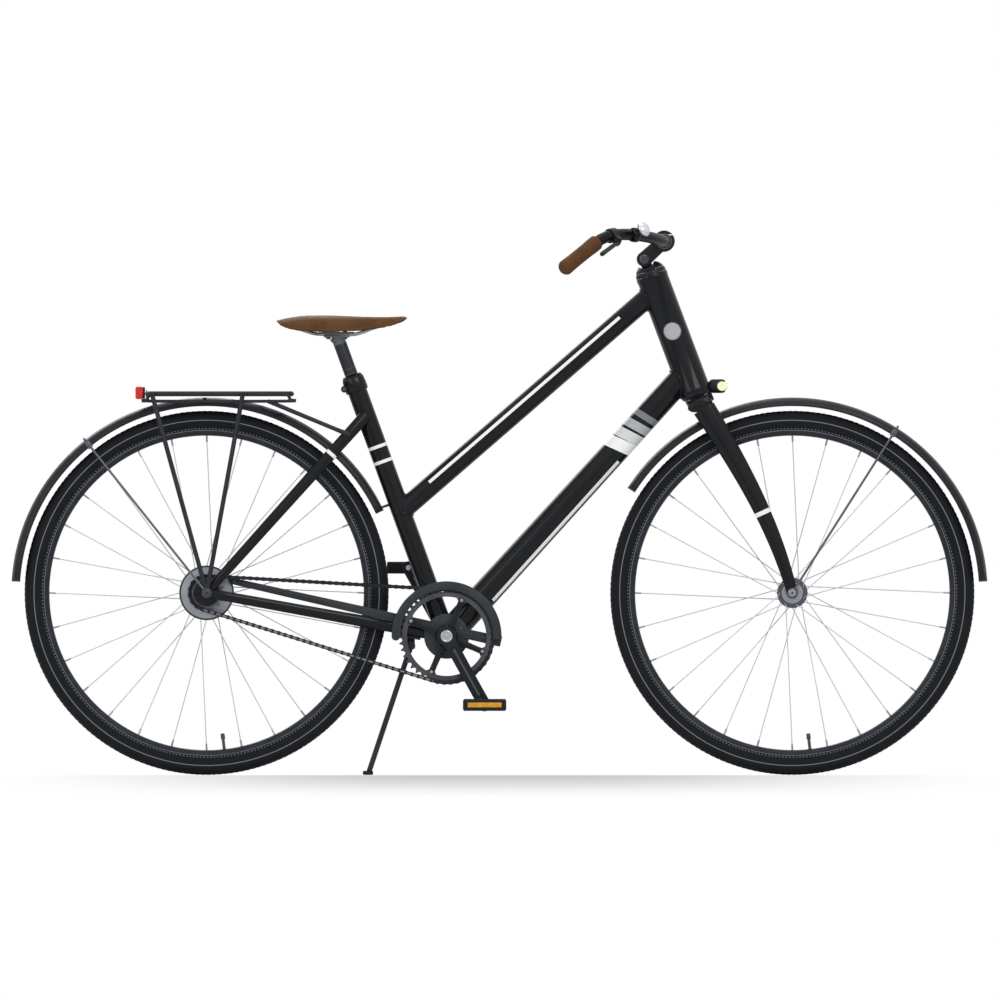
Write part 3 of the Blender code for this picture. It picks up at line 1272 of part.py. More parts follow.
def make_chain_guard():
    """Hoop over the ring, a rim across the chain and a bar to the rear."""
    start, end = GUARD_START, GUARD_END
    outline = arc(BRACKET, GUARD_OUTER_RADIUS, start, end, 20)
    middle = 0.5 * (GUARD_INNER_RADIUS + GUARD_OUTER_RADIUS)
    tip_radius = 0.5 * (GUARD_OUTER_RADIUS - GUARD_INNER_RADIUS)
    tip = BRACKET + middle * unit(end)
    outline += arc(tip, tip_radius, end, end + math.pi, 6)[1:-1]
    outline += arc(BRACKET, GUARD_INNER_RADIUS, end, start, 15)
    guard = plate(outline, -GUARD_FACE - GUARD_THICKNESS, -GUARD_FACE)
    rim_inner = GUARD_OUTER_RADIUS - GUARD_LIP
    low, high = -GUARD_FACE - 0.5 * GUARD_THICKNESS, -GUARD_BAR_FACE + 0.5 * GUARD_THICKNESS
    rims = []
    for first, last, steps in ((start, GUARD_RIM_BREAK, 11), (GUARD_RIM_RESTART, end, 3)):
        begin, stop = first + GUARD_RIM_INSET, last - GUARD_RIM_INSET
        band = arc(BRACKET, GUARD_OUTER_RADIUS - RIM_TUCK, begin, stop, steps)
        band += arc(BRACKET, rim_inner - RIM_TUCK, stop, begin, steps)
        rims.append(plate(band, low, high))
    rear = REAR_AXLE + Vector((GUARD_BAR_END[0], 0.0, GUARD_BAR_END[1]))
    front = BRACKET + (GUARD_OUTER_RADIUS - GUARD_BAR_INSET) * unit(math.radians(-5.0))
    along = (front - rear).normalized()
    angle = math.atan2(along.z, along.x)
    half = 0.5 * GUARD_BAR_HEIGHT
    bar_outline = arc(rear, half * 0.62, angle + math.pi / 2.0, angle + 1.5 * math.pi, 6)
    across_bar = unit(angle + math.pi / 2.0)
    reach = front + along * GUARD_BAR_OVERLAP
    bar_outline += [reach - across_bar * half, reach + across_bar * half]
    bar = plate(bar_outline, -GUARD_BAR_FACE, -GUARD_BAR_FACE + GUARD_THICKNESS)
    plate_low = -(BRACKET_SHELL_WIDTH / 2.0 + GUARD_MOUNT_GAP)
    mount = disc(BRACKET, 2.0 * BRACKET_SHELL_RADIUS, -GUARD_BAR_FACE + 0.5 * GUARD_LIP,
                 plate_low + GUARD_MOUNT_THICKNESS, 24)
    fuse(guard, *rims)
    fuse(guard, bar)
    fuse(guard, mount)
    cut(guard, disc(BRACKET, BRACKET_SHELL_RADIUS - BRACKET_WALL + GAP,
                    -CHAIN_LINE, -CUT_OVERRUN, 24))
    piece("chain_guard", guard, "trim_grey")


# Fenders, rack and rear light

def fender_profile(out, hub, share):
    """Cross-section of a fender; a share below 1 draws its depth in."""
    half = FENDER_WIDTH / 2.0
    thick = FENDER_THICKNESS
    rise = FENDER_DEPTH / 2.0
    outer = ((-rise, -half), (0.25 * rise, FENDER_SHOULDER - half), (rise, 0.0),
             (0.25 * rise, half - FENDER_SHOULDER), (-rise, half))
    inner = ((-rise, half - thick), (rise - 1.5 * thick, 0.0), (-rise, thick - half))
    ring = []
    for lift, y in outer + inner:
        ring.append(hub + out * (FENDER_RADIUS + lift * share) + ACROSS * y)
    return ring


def fender_shell(hub, start, end, steps):
    """Arched fender with rounded ends, between two angles."""
    stations = [(start + along / FENDER_RADIUS, share) for along, share in FENDER_TIPS]
    inner_start = start + FENDER_TIP_LENGTH / FENDER_RADIUS
    inner_end = end - FENDER_TIP_LENGTH / FENDER_RADIUS
    for step in range(steps + 1):
        stations.append((inner_start + (inner_end - inner_start) * step / steps, 1.0))
    stations += [(end - along / FENDER_RADIUS, share) for along, share in reversed(FENDER_TIPS)]
    return lofted([fender_profile(unit(angle), hub, share) for angle, share in stations])


def fender_stay(hub, angle, foot_y, name):
    """Wire stay from the axle ends, around the outside of the fender."""
    top = FENDER_RADIUS + FENDER_DEPTH / 2.0 + GAP + FENDER_STAY_RADIUS
    edge = FENDER_WIDTH / 2.0 + FENDER_STAY_SIDE_GAP + FENDER_STAY_RADIUS
    out = unit(angle)
    half = ((FENDER_STAY_HUB_REACH, foot_y), (FENDER_STAY_BEND, foot_y),
            (FENDER_RADIUS - FENDER_STAY_EDGE, edge), (top - FENDER_STAY_CORNER, edge),
            (top, edge - FENDER_STAY_INSET))
    points = []
    for reach, y in half:
        points.append(hub + out * reach - ACROSS * y)
    for reach, y in reversed(half):
        points.append(hub + out * reach + ACROSS * y)
    size = 2.0 * FENDER_STAY_RADIUS
    wire = split_faces(swept(points, [(size, size)] * len(points), 6))
    thick = 1.65 * FENDER_STAY_RADIUS
    eyes = []
    holes = []
    for side in (RIGHT, LEFT):
        low, high = sorted((side * (foot_y - thick / 2.0), side * (foot_y + thick / 2.0)))
        eyes.append(disc(hub, FENDER_EYE_RADIUS, low, high, 10))
        holes.append(disc(hub, AXLE_RADIUS + GAP, low - CUT_MARGIN, high + CUT_MARGIN, 10))
    fuse(wire, *eyes)
    cut(wire, *holes)
    piece(name, wire, "trim_grey")


def make_rear_fender():
    """Rear fender, hung from the stay bridge and the seat tube."""
    shell = fender_shell(REAR_AXLE, REAR_FENDER_END, math.pi - FENDER_LOW_END, 15)
    top = FENDER_RADIUS + FENDER_DEPTH / 2.0
    lug_top = BRIDGE_ALONG - BRIDGE_RADIUS - GAP
    centre = REAR_AXLE + SEAT_STAY_UP * (0.5 * (top + lug_top) - FENDER_TUCK)
    size = (lug_top - top + 2.0 * FENDER_TUCK, BRIDGE_LUG_WIDTH, BRIDGE_LUG_DEPTH)
    lug = block(centre, size, SEAT_STAY_UP)
    tab_angle = REAR_FENDER_END + FENDER_TAB_ANGLE
    root = REAR_AXLE + (top - 2.0 * FENDER_TUCK) * unit(tab_angle)
    forward = unit(math.pi / 2.0 - SEAT_ANGLE)
    gap_to_tube = (BRACKET - root).dot(forward) - SEAT_TUBE_RADIUS - GAP
    tab_centre = root + forward * (gap_to_tube / 2.0 - FENDER_TUCK)
    size = (gap_to_tube + 2.0 * FENDER_TUCK, FENDER_TAB_WIDTH, FENDER_TAB_DEPTH)
    tab = block(tab_centre, size, forward)
    cutter = seat_cutter()
    fuse(shell, lug, tab)
    piece("rear_fender", cut(shell, cutter), "fender_grey")


def make_front_fender():
    """Front fender, hung below the fork crown."""
    shell = fender_shell(FRONT_AXLE, FENDER_LOW_END, FRONT_FENDER_END, 14)
    crown_point = CROWN_CENTRE - CROWN_HALF_HEIGHT * HEAD_UP
    top = FENDER_RADIUS + FENDER_DEPTH / 2.0
    out = (crown_point - FRONT_AXLE).normalized()
    high = (crown_point - FRONT_AXLE).length
    size = (high - top + 2.0 * FENDER_TUCK, BRIDGE_LUG_WIDTH, CROWN_LUG_DEPTH)
    lug = block(FRONT_AXLE + out * (0.5 * (top + high) - FENDER_TUCK), size, out)
    cut(lug, crown_bar(GAP))
    piece("front_fender", fuse(shell, lug), "fender_grey", HEAD_FOOT)


def make_rack():
    """Deck of rails and cross bars, lower side rails and front braces."""
    rail_y = RACK_WIDTH / 2.0 - RACK_RAIL_WIDTH / 2.0
    z = RACK_HEIGHT - RACK_RAIL_HEIGHT / 2.0
    front_x = RACK_REAR_X + RACK_LENGTH
    radius = RACK_RAIL_HEIGHT / 2.0
    bend = RACK_CORNER_RADIUS
    loop = []
    for index, (x, y) in enumerate(((1, 1), (-1, 1), (-1, -1), (1, -1))):
        centre_x = 0.5 * (front_x + RACK_REAR_X) + x * (RACK_LENGTH / 2.0 - radius - bend)
        for step in range(4):
            turn = math.pi / 2.0 * (index + step / 3.0)
            loop.append(Vector((centre_x + bend * math.cos(turn),
                                y * (rail_y - bend) + bend * math.sin(turn), z)))
    rings = []
    for index, point in enumerate(loop):
        along = (loop[(index + 1) % len(loop)] - loop[index - 1]).normalized()
        side = along.cross(UPWARD).normalized()
        ring = []
        for step in range(6):
            turn = 2.0 * math.pi * step / 6
            lift = Vector((0.0, 0.0, math.sin(turn) * radius * 1.06))
            ring.append(point + side * (math.cos(turn) * RACK_RAIL_WIDTH / 2.0 * 1.06) + lift)
        rings.append(ring)
    rack = lofted(rings, closed=True)
    for step in range(RACK_CROSS_BARS):
        x = RACK_REAR_X + RACK_LENGTH * (step + 1.0) / (RACK_CROSS_BARS + 1.0)
        start = Vector((x, -rail_y, z))
        stations = ((0.0, RACK_CROSS_BAR_RADIUS), (2.0 * rail_y, RACK_CROSS_BAR_RADIUS))
        fuse(rack, turned(start, ACROSS, stations, 6))
    for side in (RIGHT, LEFT):
        fuse(rack, lower_rail(side, rail_y, front_x), rack_brace(side, front_x))
    light_plate = block(Vector((RACK_REAR_X + RACK_PLATE_INSET, 0.0, z)), RACK_PLATE_SIZE)
    fuse(rack, light_plate)
    piece("rack", rack, "rack_grey")


def lower_rail(side, rail_y, front_x):
    """Thin side rail below the deck, bent up into it at both ends."""
    drop = RACK_HEIGHT - RACK_LOWER_DROP - LOWER_RAIL_LIFT
    rise = RACK_HEIGHT - RACK_RAIL_HEIGHT / 2.0
    y = side * (rail_y + LOWER_RAIL_SIDE)
    rear = RACK_REAR_X + LOWER_RAIL_REAR_INSET
    front = front_x - LOWER_RAIL_FRONT_INSET
    corner = drop + LOWER_RAIL_TURN
    points = [Vector((rear, y, rise)), Vector((rear - LOWER_RAIL_BEND, y, corner)),
              Vector((rear, y, drop)), Vector((front, y, drop)),
              Vector((front + LOWER_RAIL_BEND, y, corner)), Vector((front - LOWER_RAIL_SIZE / 2.0, y, rise))]
    return swept(points, [(LOWER_RAIL_SIZE, LOWER_RAIL_SIZE)] * len(points), 6)


def rack_brace(side, front_x):
    """Rod from the lower rail forward to the seat stay."""
    start_y = side * (RACK_WIDTH / 2.0 - BRACE_INSET)
    start = Vector((front_x - BRACE_BACK, start_y, RACK_HEIGHT - RACK_LOWER_DROP - LOWER_RAIL_LIFT))
    along = SEAT_STAY_LENGTH - BRACE_BACK
    share = (along - SEAT_STAY_NARROW) / (SEAT_STAY_LENGTH - SEAT_STAY_NARROW)
    stay_y = SEAT_STAY_NARROW_Y + (SEAT_STAY_TOP_Y - SEAT_STAY_NARROW_Y) * share
    y = side * (stay_y + STAY_WIDTH / 2.0 + GAP + BRACE_GAP)
    end = at_side(REAR_AXLE + SEAT_STAY_UP * along, y)
    middle = start.lerp(end, BRACE_STRAIGHT)
    middle.y = y
    path = (start, middle, end)
    return swept(path, [(BRACE_SIZE, BRACE_SIZE)] * 3, 6)


def make_rack_leg(side, name):
    """Two struts from the rack rail down to one eye on the axle."""
    foot_y = side * RACK_EYE_Y
    round_y = side * (RACK_EYE_Y + RACK_EYE_THICKNESS / 2.0 + RACK_LEG_RADIUS - RACK_LEG_TUCK)
    top_y = side * (RACK_WIDTH / 2.0 + GAP + RACK_LEG_RADIUS + RACK_LEG_GAP)
    size = 2.0 * RACK_LEG_RADIUS
    leg = None
    first_x = RACK_REAR_X + RACK_LEG_INSET
    for top_x in (first_x, first_x + RACK_LEG_SPREAD):
        top = Vector((top_x, top_y, RACK_HEIGHT - RACK_RAIL_HEIGHT / 2.0))
        foot = at_side(REAR_AXLE, foot_y)
        bend = REAR_AXLE + (at_side(top, 0.0) - REAR_AXLE) * RACK_LEG_BEND
        points = (foot, at_side(bend, round_y), top)
        sizes = ((RACK_LEG_FOOT_WIDTH, RACK_EYE_THICKNESS), (size, size), (size, size))
        strut = swept(points, sizes, 6)
        if leg:
            fuse(leg, strut)
        else:
            leg = strut
    half = RACK_EYE_THICKNESS / 2.0
    low, high = sorted((foot_y - side * half, foot_y + side * half))
    fuse(leg, disc(REAR_AXLE, RACK_EYE_RADIUS, low, high, 12))
    inner_low, inner_high = sorted((side * REAR_HUB_WIDTH / 3.0, side * (RACK_EYE_Y - half)))
    outer_low, outer_high = sorted((side * (RACK_EYE_Y + half), side * (RACK_EYE_Y + 2.0 * CUT_OVERRUN)))
    cut(leg, disc(REAR_AXLE, RACK_EYE_RELIEF, inner_low, inner_high, 14))
    cut(leg, disc(REAR_AXLE, RACK_EYE_OUTER_RELIEF, outer_low, outer_high, 14))
    cut(leg, disc(REAR_AXLE, AXLE_RADIUS + GAP, low - CUT_MARGIN, high + CUT_MARGIN, 10))
    piece(f"rack_leg_{name}", leg, "rack_grey")


def make_rear_light():
    """Red rear light on the plate at the end of the rack."""
    centre = Vector((RACK_REAR_X - GAP - LIGHT_REACH, 0.0, RACK_HEIGHT - LIGHT_DROP))
    half = LIGHT_WIDTH / 2.0
    light = rounded_box(centre, LIGHT_LENGTH, LIGHT_HEIGHT, LIGHT_CORNER, -half, half, 3)
    piece("rear_light", light, "lens_red")


# Seat

def rail_grooves(length):
    """Cutters along both rails for a clamp part of this length."""
    reach = length / 2.0 + CUT_MARGIN
    radius = RAIL_RADIUS + GAP
    grooves = []
    for side in (RIGHT, LEFT):
        start = Vector((CLAMP_CENTRE.x - reach, side * RAIL_Y, RAIL_Z))
        grooves.append(turned(start, FORWARD, ((0.0, radius), (2.0 * reach, radius)), 12))
    return grooves


def make_seat_post():
    """Post with its clamp head; it slides in the seat tube."""
    start = SEAT_TOP - SEAT_UP * SEAT_POST_INSERTION
    full = SEAT_POST_INSERTION + SEAT_POST_SHOWING
    post = turned(start, SEAT_UP, ((0.0, SEAT_POST_RADIUS), (full, SEAT_POST_RADIUS)), 16)
    wide = 10.0 * CUT_OVERRUN
    cut(post, block(POST_HEAD + UPWARD * CUT_OVERRUN, (wide, wide, 2.0 * CUT_OVERRUN)))
    fuse(post, block(POST_HEAD - UPWARD * (POST_HEAD_SIZE[2] / 2.0), POST_HEAD_SIZE))
    cut(post, *rail_grooves(POST_HEAD_SIZE[0]))
    piece("seat_post", post, "trim_grey")


def make_saddle_clamp():
    """Upper clamp plate that presses the rails onto the post's head."""
    centre = CLAMP_CENTRE + FORWARD * CLAMP_PLATE_AHEAD + UPWARD * CLAMP_PLATE_RISE
    top = block(centre, CLAMP_PLATE_SIZE)
    cut(top, *rail_grooves(CLAMP_PLATE_SIZE[0]))
    piece("saddle_clamp", top, "trim_grey")


def make_saddle_rails():
    """Two rails below the saddle, joined by a bow at the nose."""
    nose = Vector((SADDLE_REAR_X + SADDLE_LENGTH - RAIL_NOSE_INSET, 0.0, RAIL_Z + RAIL_NOSE_RISE))
    middle = CLAMP_CENTRE
    path = []
    half = (Vector((SADDLE_REAR_X + RAIL_REAR_INSET, RAIL_REAR_Y, RAIL_Z + RAIL_REAR_RISE)),
            Vector((middle.x - RAIL_BEND_BACK, RAIL_BEND_Y, RAIL_Z + RAIL_BEND_RISE)),
            Vector((middle.x - RAIL_STRAIGHT_BACK, RAIL_Y, RAIL_Z)),
            Vector((middle.x + RAIL_STRAIGHT_AHEAD, RAIL_Y, RAIL_Z)),
            Vector((nose.x - RAIL_FRONT_BACK, RAIL_FRONT_Y, RAIL_Z + RAIL_FRONT_RISE)),
            Vector((nose.x - RAIL_NOSE_BEND, RAIL_NOSE_Y, nose.z)))
    path += [Vector((p.x, -p.y, p.z)) for p in half]
    path += [Vector((p.x, p.y, p.z)) for p in reversed(half)]
    rings = []
    for index, point in enumerate(path):
        before = path[max(index - 1, 0)]
        after = path[min(index + 1, len(path) - 1)]
        along = (after - before).normalized()
        side = along.cross(UPWARD).normalized()
        up = side.cross(along).normalized()
        ring = []
        for step in range(8):
            turn = 2.0 * math.pi * (step + 0.5) / 8
            ring.append(point + (side * math.cos(turn) + up * math.sin(turn)) * RAIL_RADIUS)
        rings.append(ring)
    piece("saddle_rails", lofted(rings), "steel")


SADDLE_STATIONS = (
    # share of length, top and lower edge above the rails, share of half width
    (0.000, 0.0260, 0.0240, 0.380), (0.018, 0.0282, 0.0180, 0.658),
    (0.060, 0.0304, 0.0121, 0.873), (0.120, 0.0333, 0.0076, 0.975),
    (0.200, 0.0360, 0.0046, 1.000), (0.290, 0.0366, 0.0032, 0.937),
    (0.380, 0.0364, 0.0028, 0.785), (0.470, 0.0356, 0.0031, 0.595),
    (0.560, 0.0346, 0.0040, 0.456), (0.650, 0.0339, 0.0058, 0.367),
    (0.740, 0.0336, 0.0084, 0.316), (0.830, 0.0338, 0.0121, 0.285),
    (0.910, 0.0345, 0.0178, 0.253), (0.965, 0.0354, 0.0234, 0.209),
    (0.990, 0.0344, 0.0276, 0.139), (1.000, 0.0320, 0.0300, 0.063),
)


def saddle_section(share, top_rise, under_rise, half_share):
    """Crowned section with drawn-in sides and a hollow underside."""
    x = SADDLE_REAR_X + SADDLE_LENGTH * share
    top = RAIL_Z + top_rise
    under = RAIL_Z + under_rise
    depth = top - under
    half = half_share * SADDLE_WIDTH / 2.0
    skirt = min(SADDLE_SKIRT, 0.35 * half)
    pad = min(SADDLE_PAD, 0.55 * depth)
    outer = ((0.0, top), (0.38 * half, top - 0.03 * depth), (0.70 * half, top - 0.11 * depth),
             (0.91 * half, top - 0.30 * depth), (half, top - 0.58 * depth),
             (0.97 * half, top - 0.86 * depth), (0.95 * half, under))
    inner = ((0.95 * half - skirt, under), (0.93 * half - skirt, top - pad - 0.25 * depth),
             (0.5 * half, top - pad), (0.0, top - pad))
    ring = [Vector((x, y, z)) for y, z in outer + inner]
    ring += [Vector((x, -y, z)) for y, z in reversed((outer + inner)[1:-1])]
    return ring


def make_saddle():
    """Padded saddle with its leather drawn down over the sides."""
    saddle = lofted([saddle_section(*station) for station in SADDLE_STATIONS])
    piece("saddle", saddle, "leather")


# Steering


def crown_bar(grow):
    """Cross bar of the fork crown, with softened ends."""
    rings = []
    reach = CROWN_REACH + grow
    for y, share in ((-reach, 0.80), (CROWN_END - reach, 1.0), (reach - CROWN_END, 1.0), (reach, 0.80)):
        ring = []
        for step in range(16):
            turn = 2.0 * math.pi * (step + 0.5) / 16
            ahead = HEAD_FORWARD * ((CROWN_LENGTH / 2.0 + grow) * share * math.cos(turn))
            lift = HEAD_UP * ((CROWN_HALF_HEIGHT + grow) * share * math.sin(turn))
            ring.append(CROWN_CENTRE + ahead + lift + ACROSS * y)
        rings.append(ring)
    return lofted(rings)


def make_fork():
    """Crown with its steerer, and two tapered, curved blades."""
    crown = crown_bar(0.0)
    race = -(LOWER_CUP_DEPTH + 2.0 * GAP)
    stations = ((-CROWN_DROP, HEAD_TUBE_RADIUS - CROWN_NECK_INSET),
                (race, HEAD_TUBE_RADIUS - CROWN_RACE_INSET), (race, STEERER_RADIUS),
                (HEAD_TUBE_LENGTH + CUP_RISE - GAP, STEERER_RADIUS))
    fuse(crown, turned(HEAD_FOOT, HEAD_UP, stations, 16))
    bore = STEM_QUILL_RADIUS + GAP
    hole = ((0.0, bore), (QUILL_DEPTH + 2.0 * CUT_OVERRUN, bore))
    cut(crown, turned(HEAD_TOP - HEAD_UP * (QUILL_DEPTH + GAP), HEAD_UP, hole, 14))
    piece("fork_crown", crown, "frame_black", HEAD_FOOT)
    for side, name in ((RIGHT, "right"), (LEFT, "left")):
        root = HEAD_FOOT - BLADE_ROOT_DROP * HEAD_UP
        curve = bezier(root, root + BLADE_HANDLE * unit(BLADE_TOP_LEAN),
                       FRONT_AXLE - BLADE_HANDLE * unit(BLADE_END_LEAN), FRONT_AXLE, 20)
        path = [curve[index] for index in (1, 3, 6, 9, 12, 15, 18, 20)]
        points = []
        sizes = []
        for index, point in enumerate(path):
            share = index / (len(path) - 1)
            bow = share ** 0.8
            y = BLADE_TOP_Y + (BLADE_END_Y - BLADE_TOP_Y) * bow
            points.append(at_side(point, side * y))
            height = BLADE_TOP_SIZE[0] + (BLADE_END_SIZE[0] - BLADE_TOP_SIZE[0]) * share
            width = BLADE_TOP_SIZE[1] + (BLADE_END_SIZE[1] - BLADE_TOP_SIZE[1]) * share
            sizes.append((height, width))
        blade = swept(points, sizes, 10)
        low, high = sorted((side * FORK_FACE, side * (FORK_FACE + BLADE_END_SIZE[1])))
        fuse(blade, disc(FRONT_AXLE, BLADE_EYE_RADIUS, low, high, 16))
        cut(blade, disc(FRONT_AXLE, AXLE_RADIUS + GAP, low - CUT_MARGIN, high + CUT_MARGIN, 14))
        trim_low, trim_high = sorted((side * CUT_OVERRUN, side * FORK_FACE))
        cut(blade, disc(FRONT_AXLE, BLADE_HUB_RELIEF, trim_low, trim_high, 24), crown_bar(GAP))
        piece(f"fork_blade_{name}", blade, "frame_black", HEAD_FOOT)


def lamp_lens(grow):
    """Lens with round side windows and a domed front."""
    reach = LENS_HALF_WIDTH + grow
    radius = LENS_RADIUS + grow
    barrel = turned(at_side(LAMP_CENTRE, -reach), ACROSS, ((0.0, radius), (2.0 * reach, radius)), 20)
    dome = ((0.0, radius * 0.97), (LENS_STRAIGHT, radius * 0.97), (LENS_SHOULDER, radius * 0.76),
            (LENS_TIP + grow, radius * 0.36))
    return fuse(barrel, turned(LAMP_CENTRE - FORWARD * LENS_BACK, FORWARD, dome, 16))


def make_headlight():
    """Front lamp on a bracket at the fork crown."""
    stations = ((0.0, LAMP_TAIL_RADIUS), (LAMP_TAIL, LAMP_RADIUS), (LAMP_BARREL, LAMP_RADIUS),
                (LAMP_LENGTH, LAMP_LIP_RADIUS))
    body = turned(LAMP_CENTRE - FORWARD * LAMP_BACK, FORWARD, stations, 20)
    arm_centre = CROWN_CENTRE + HEAD_FORWARD * LAMP_ARM_AHEAD + HEAD_UP * LAMP_ARM_RISE
    fuse(body, block(arm_centre, LAMP_ARM_SIZE, HEAD_UP))
    sweep = HEAD_TUBE_RADIUS + LAMP_HEAD_GAP
    path = ((0.0, sweep), (4.0 * CUT_OVERRUN, sweep))
    around = turned(HEAD_FOOT - LAMP_CUP_DROP * HEAD_UP, HEAD_UP, path, 24)
    neck = HEAD_TUBE_RADIUS - LAMP_NECK_INSET
    below = turned(CROWN_CENTRE, HEAD_UP, ((0.0, neck), (CROWN_DROP, neck)), 24)
    cut(body, around, below, crown_bar(GAP), lamp_lens(GAP))
    piece("headlight", body, "plastic_black", HEAD_FOOT)
    piece("headlight_lens", lamp_lens(0.0), "lens_yellow", HEAD_FOOT)


# Stem, handlebar and what it carries


def make_stem():
    """Post on the steerer with a tongue, and the arm that tilts on it."""
    cap = CUP_RISE + 2.0 * GAP
    start = HEAD_TOP + GAP * HEAD_UP
    stations = dome_stations(cap, STEM_POST_TOP, 3)
    post = turned(start, HEAD_UP, stations, 18)
    cut(post, disc(STEM_PIVOT, STEM_KNUCKLE_RADIUS + STEM_POST_RELIEF,
                   -2.0 * CUT_OVERRUN, 2.0 * CUT_OVERRUN, 20))
    tongue = block(STEM_PIVOT - HEAD_UP * TONGUE_DROP,
                   (TONGUE_LENGTH, 2.0 * TONGUE_HALF, 1.42 * STEM_KNUCKLE_RADIUS), HEAD_UP)
    fuse(post, tongue, disc(STEM_PIVOT, STEM_KNUCKLE_RADIUS, -TONGUE_HALF, TONGUE_HALF, 20))
    cut(post, disc(STEM_PIVOT, STEM_PIN_RADIUS + RUNNING_CLEARANCE, -CUT_OVERRUN, CUT_OVERRUN, 14))
    reach = QUILL_DEPTH + STEM_QUILL_RISE + cap
    stations = ((0.0, STEM_QUILL_RADIUS), (reach, STEM_QUILL_RADIUS))
    quill = turned(HEAD_TOP - HEAD_UP * QUILL_DEPTH, HEAD_UP, stations, 14)
    fuse(post, quill)
    piece("stem_post", post, "frame_black", HEAD_FOOT)
    along = (STEM_CLAMP - STEM_PIVOT).normalized()
    angle = math.atan2(along.z, along.x)
    outline = arc(STEM_PIVOT, STEM_KNUCKLE_RADIUS, angle + math.radians(98),
                  angle + math.radians(262), 10)
    outline += arc(STEM_CLAMP, STEM_KNUCKLE_RADIUS * 0.9, angle - math.radians(80),
                   angle + math.radians(80), 6)
    arm = plate(outline, -CHEEK_HALF, CHEEK_HALF)
    fuse(arm, disc(STEM_CLAMP, STEM_CLAMP_RADIUS, -BAR_CLAMP_HALF_WIDTH, BAR_CLAMP_HALF_WIDTH, 20))
    slot = TONGUE_HALF + GAP
    cut(arm, disc(STEM_PIVOT, STEM_KNUCKLE_RADIUS + STEM_ARM_RELIEF, -slot, slot, 18))
    bar = BAR_CLAMP_RADIUS + GAP
    cut(arm, disc(STEM_CLAMP, bar, -2.0 * CUT_OVERRUN, 2.0 * CUT_OVERRUN, 16))
    reach = CHEEK_HALF + STEM_PIN_PROUD
    fuse(arm, disc(STEM_PIVOT, STEM_PIN_RADIUS, -reach, reach, 16))
    piece("stem_arm", arm, "frame_black", STEM_PIVOT)


def grip_direction(side):
    """Backward, outward and down along the grip."""
    level = math.cos(GRIP_YAW)
    return Vector((-math.cos(GRIP_DROP) * level, side * math.sin(GRIP_YAW),
                   -math.sin(GRIP_DROP) * level))


def grip_start(side):
    """Front end of the grip on the bar's centre line."""
    return STEM_CLAMP + Vector((GRIP_START_X, side * GRIP_START_Y, GRIP_START_Z))


def bar_curve(side, steps):
    """Swept-back bend from the straight middle to the grip."""
    start = STEM_CLAMP + Vector((0.0, side * BAR_STRAIGHT, 0.0))
    end = grip_start(side)
    first = start + Vector((0.0, side * BAR_FRONT_HANDLE, 0.0))
    second = end - grip_direction(side) * BAR_REAR_HANDLE
    return bezier(start, first, second, end, steps)


def framed_sweep(points, radii, sides):
    """Round solid along a space curve, its sections turned with the curve."""
    rings = []
    normal = Vector((0.0, 0.0, 1.0))
    for index, point in enumerate(points):
        before = points[max(index - 1, 0)]
        after = points[min(index + 1, len(points) - 1)]
        along = (after - before).normalized()
        normal = (normal - along * normal.dot(along)).normalized()
        side = along.cross(normal)
        ring = []
        for step in range(sides):
            turn = 2.0 * math.pi * step / sides
            ring.append(point + (normal * math.cos(turn) + side * math.sin(turn)) * radii[index])
        rings.append(ring)
    return lofted(rings)


def lever_frame(side):
    """Pivot, tip and hinge axis of a brake lever."""
    grip = grip_direction(side)
    down = Vector((math.sin(GRIP_DROP), 0.0, -math.cos(GRIP_DROP)))
    down = (down - grip * down.dot(grip)).normalized()
    out = down.cross(grip).normalized() * side
    if out.y * side < 0.0:
        out = -out
    curve = bar_curve(side, 20)
    index = int(LEVER_SHARE * 20)
    root = curve[index]
    along = (curve[index + 1] - curve[index - 1]).normalized()
    tip = grip_start(side) + grip * LEVER_TIP_ALONG
    tip += down * LEVER_TIP_DROP + out * LEVER_TIP_OUT
    reach = tip - root
    away = (reach - along * reach.dot(along)).normalized()
    pivot = root + away * LEVER_OFFSET
    return root, along, away, pivot, tip, away.cross(along)


def oriented_block(centre, axes, size):
    """Box with given unit axes and full sizes along them."""
    rings = []
    for sign in (-0.5, 0.5):
        middle = centre + axes[0] * (size[0] * sign)
        corners = []
        for one, two in ((-0.5, -0.5), (0.5, -0.5), (0.5, 0.5), (-0.5, 0.5)):
            corners.append(middle + axes[1] * (size[1] * one) + axes[2] * (size[2] * two))
        rings.append(corners)
    return lofted(rings)


def lever_perch(side):
    """Clamp band on the bar with two ears for the lever's pin."""
    root, along, away, pivot, tip, axis = lever_frame(side)
    start = root - along * (LEVER_BAND_LENGTH / 2.0)
    band = turned(start, along, ((0.0, LEVER_BAND_RADIUS), (LEVER_BAND_LENGTH, LEVER_BAND_RADIUS)), 12)
    ears = []
    for sign in (-1.0, 1.0):
        centre = root.lerp(pivot, 0.62) + axis * (sign * LEVER_EAR_Y)
        ears.append(oriented_block(centre, (away, axis, along), LEVER_EAR_SIZE))
    fuse(band, *ears)
    stations = ((0.0, LEVER_PIN_RADIUS), (2.0 * LEVER_PIN_HALF, LEVER_PIN_RADIUS))
    fuse(band, turned(pivot - axis * LEVER_PIN_HALF, axis, stations, 8))
    return band


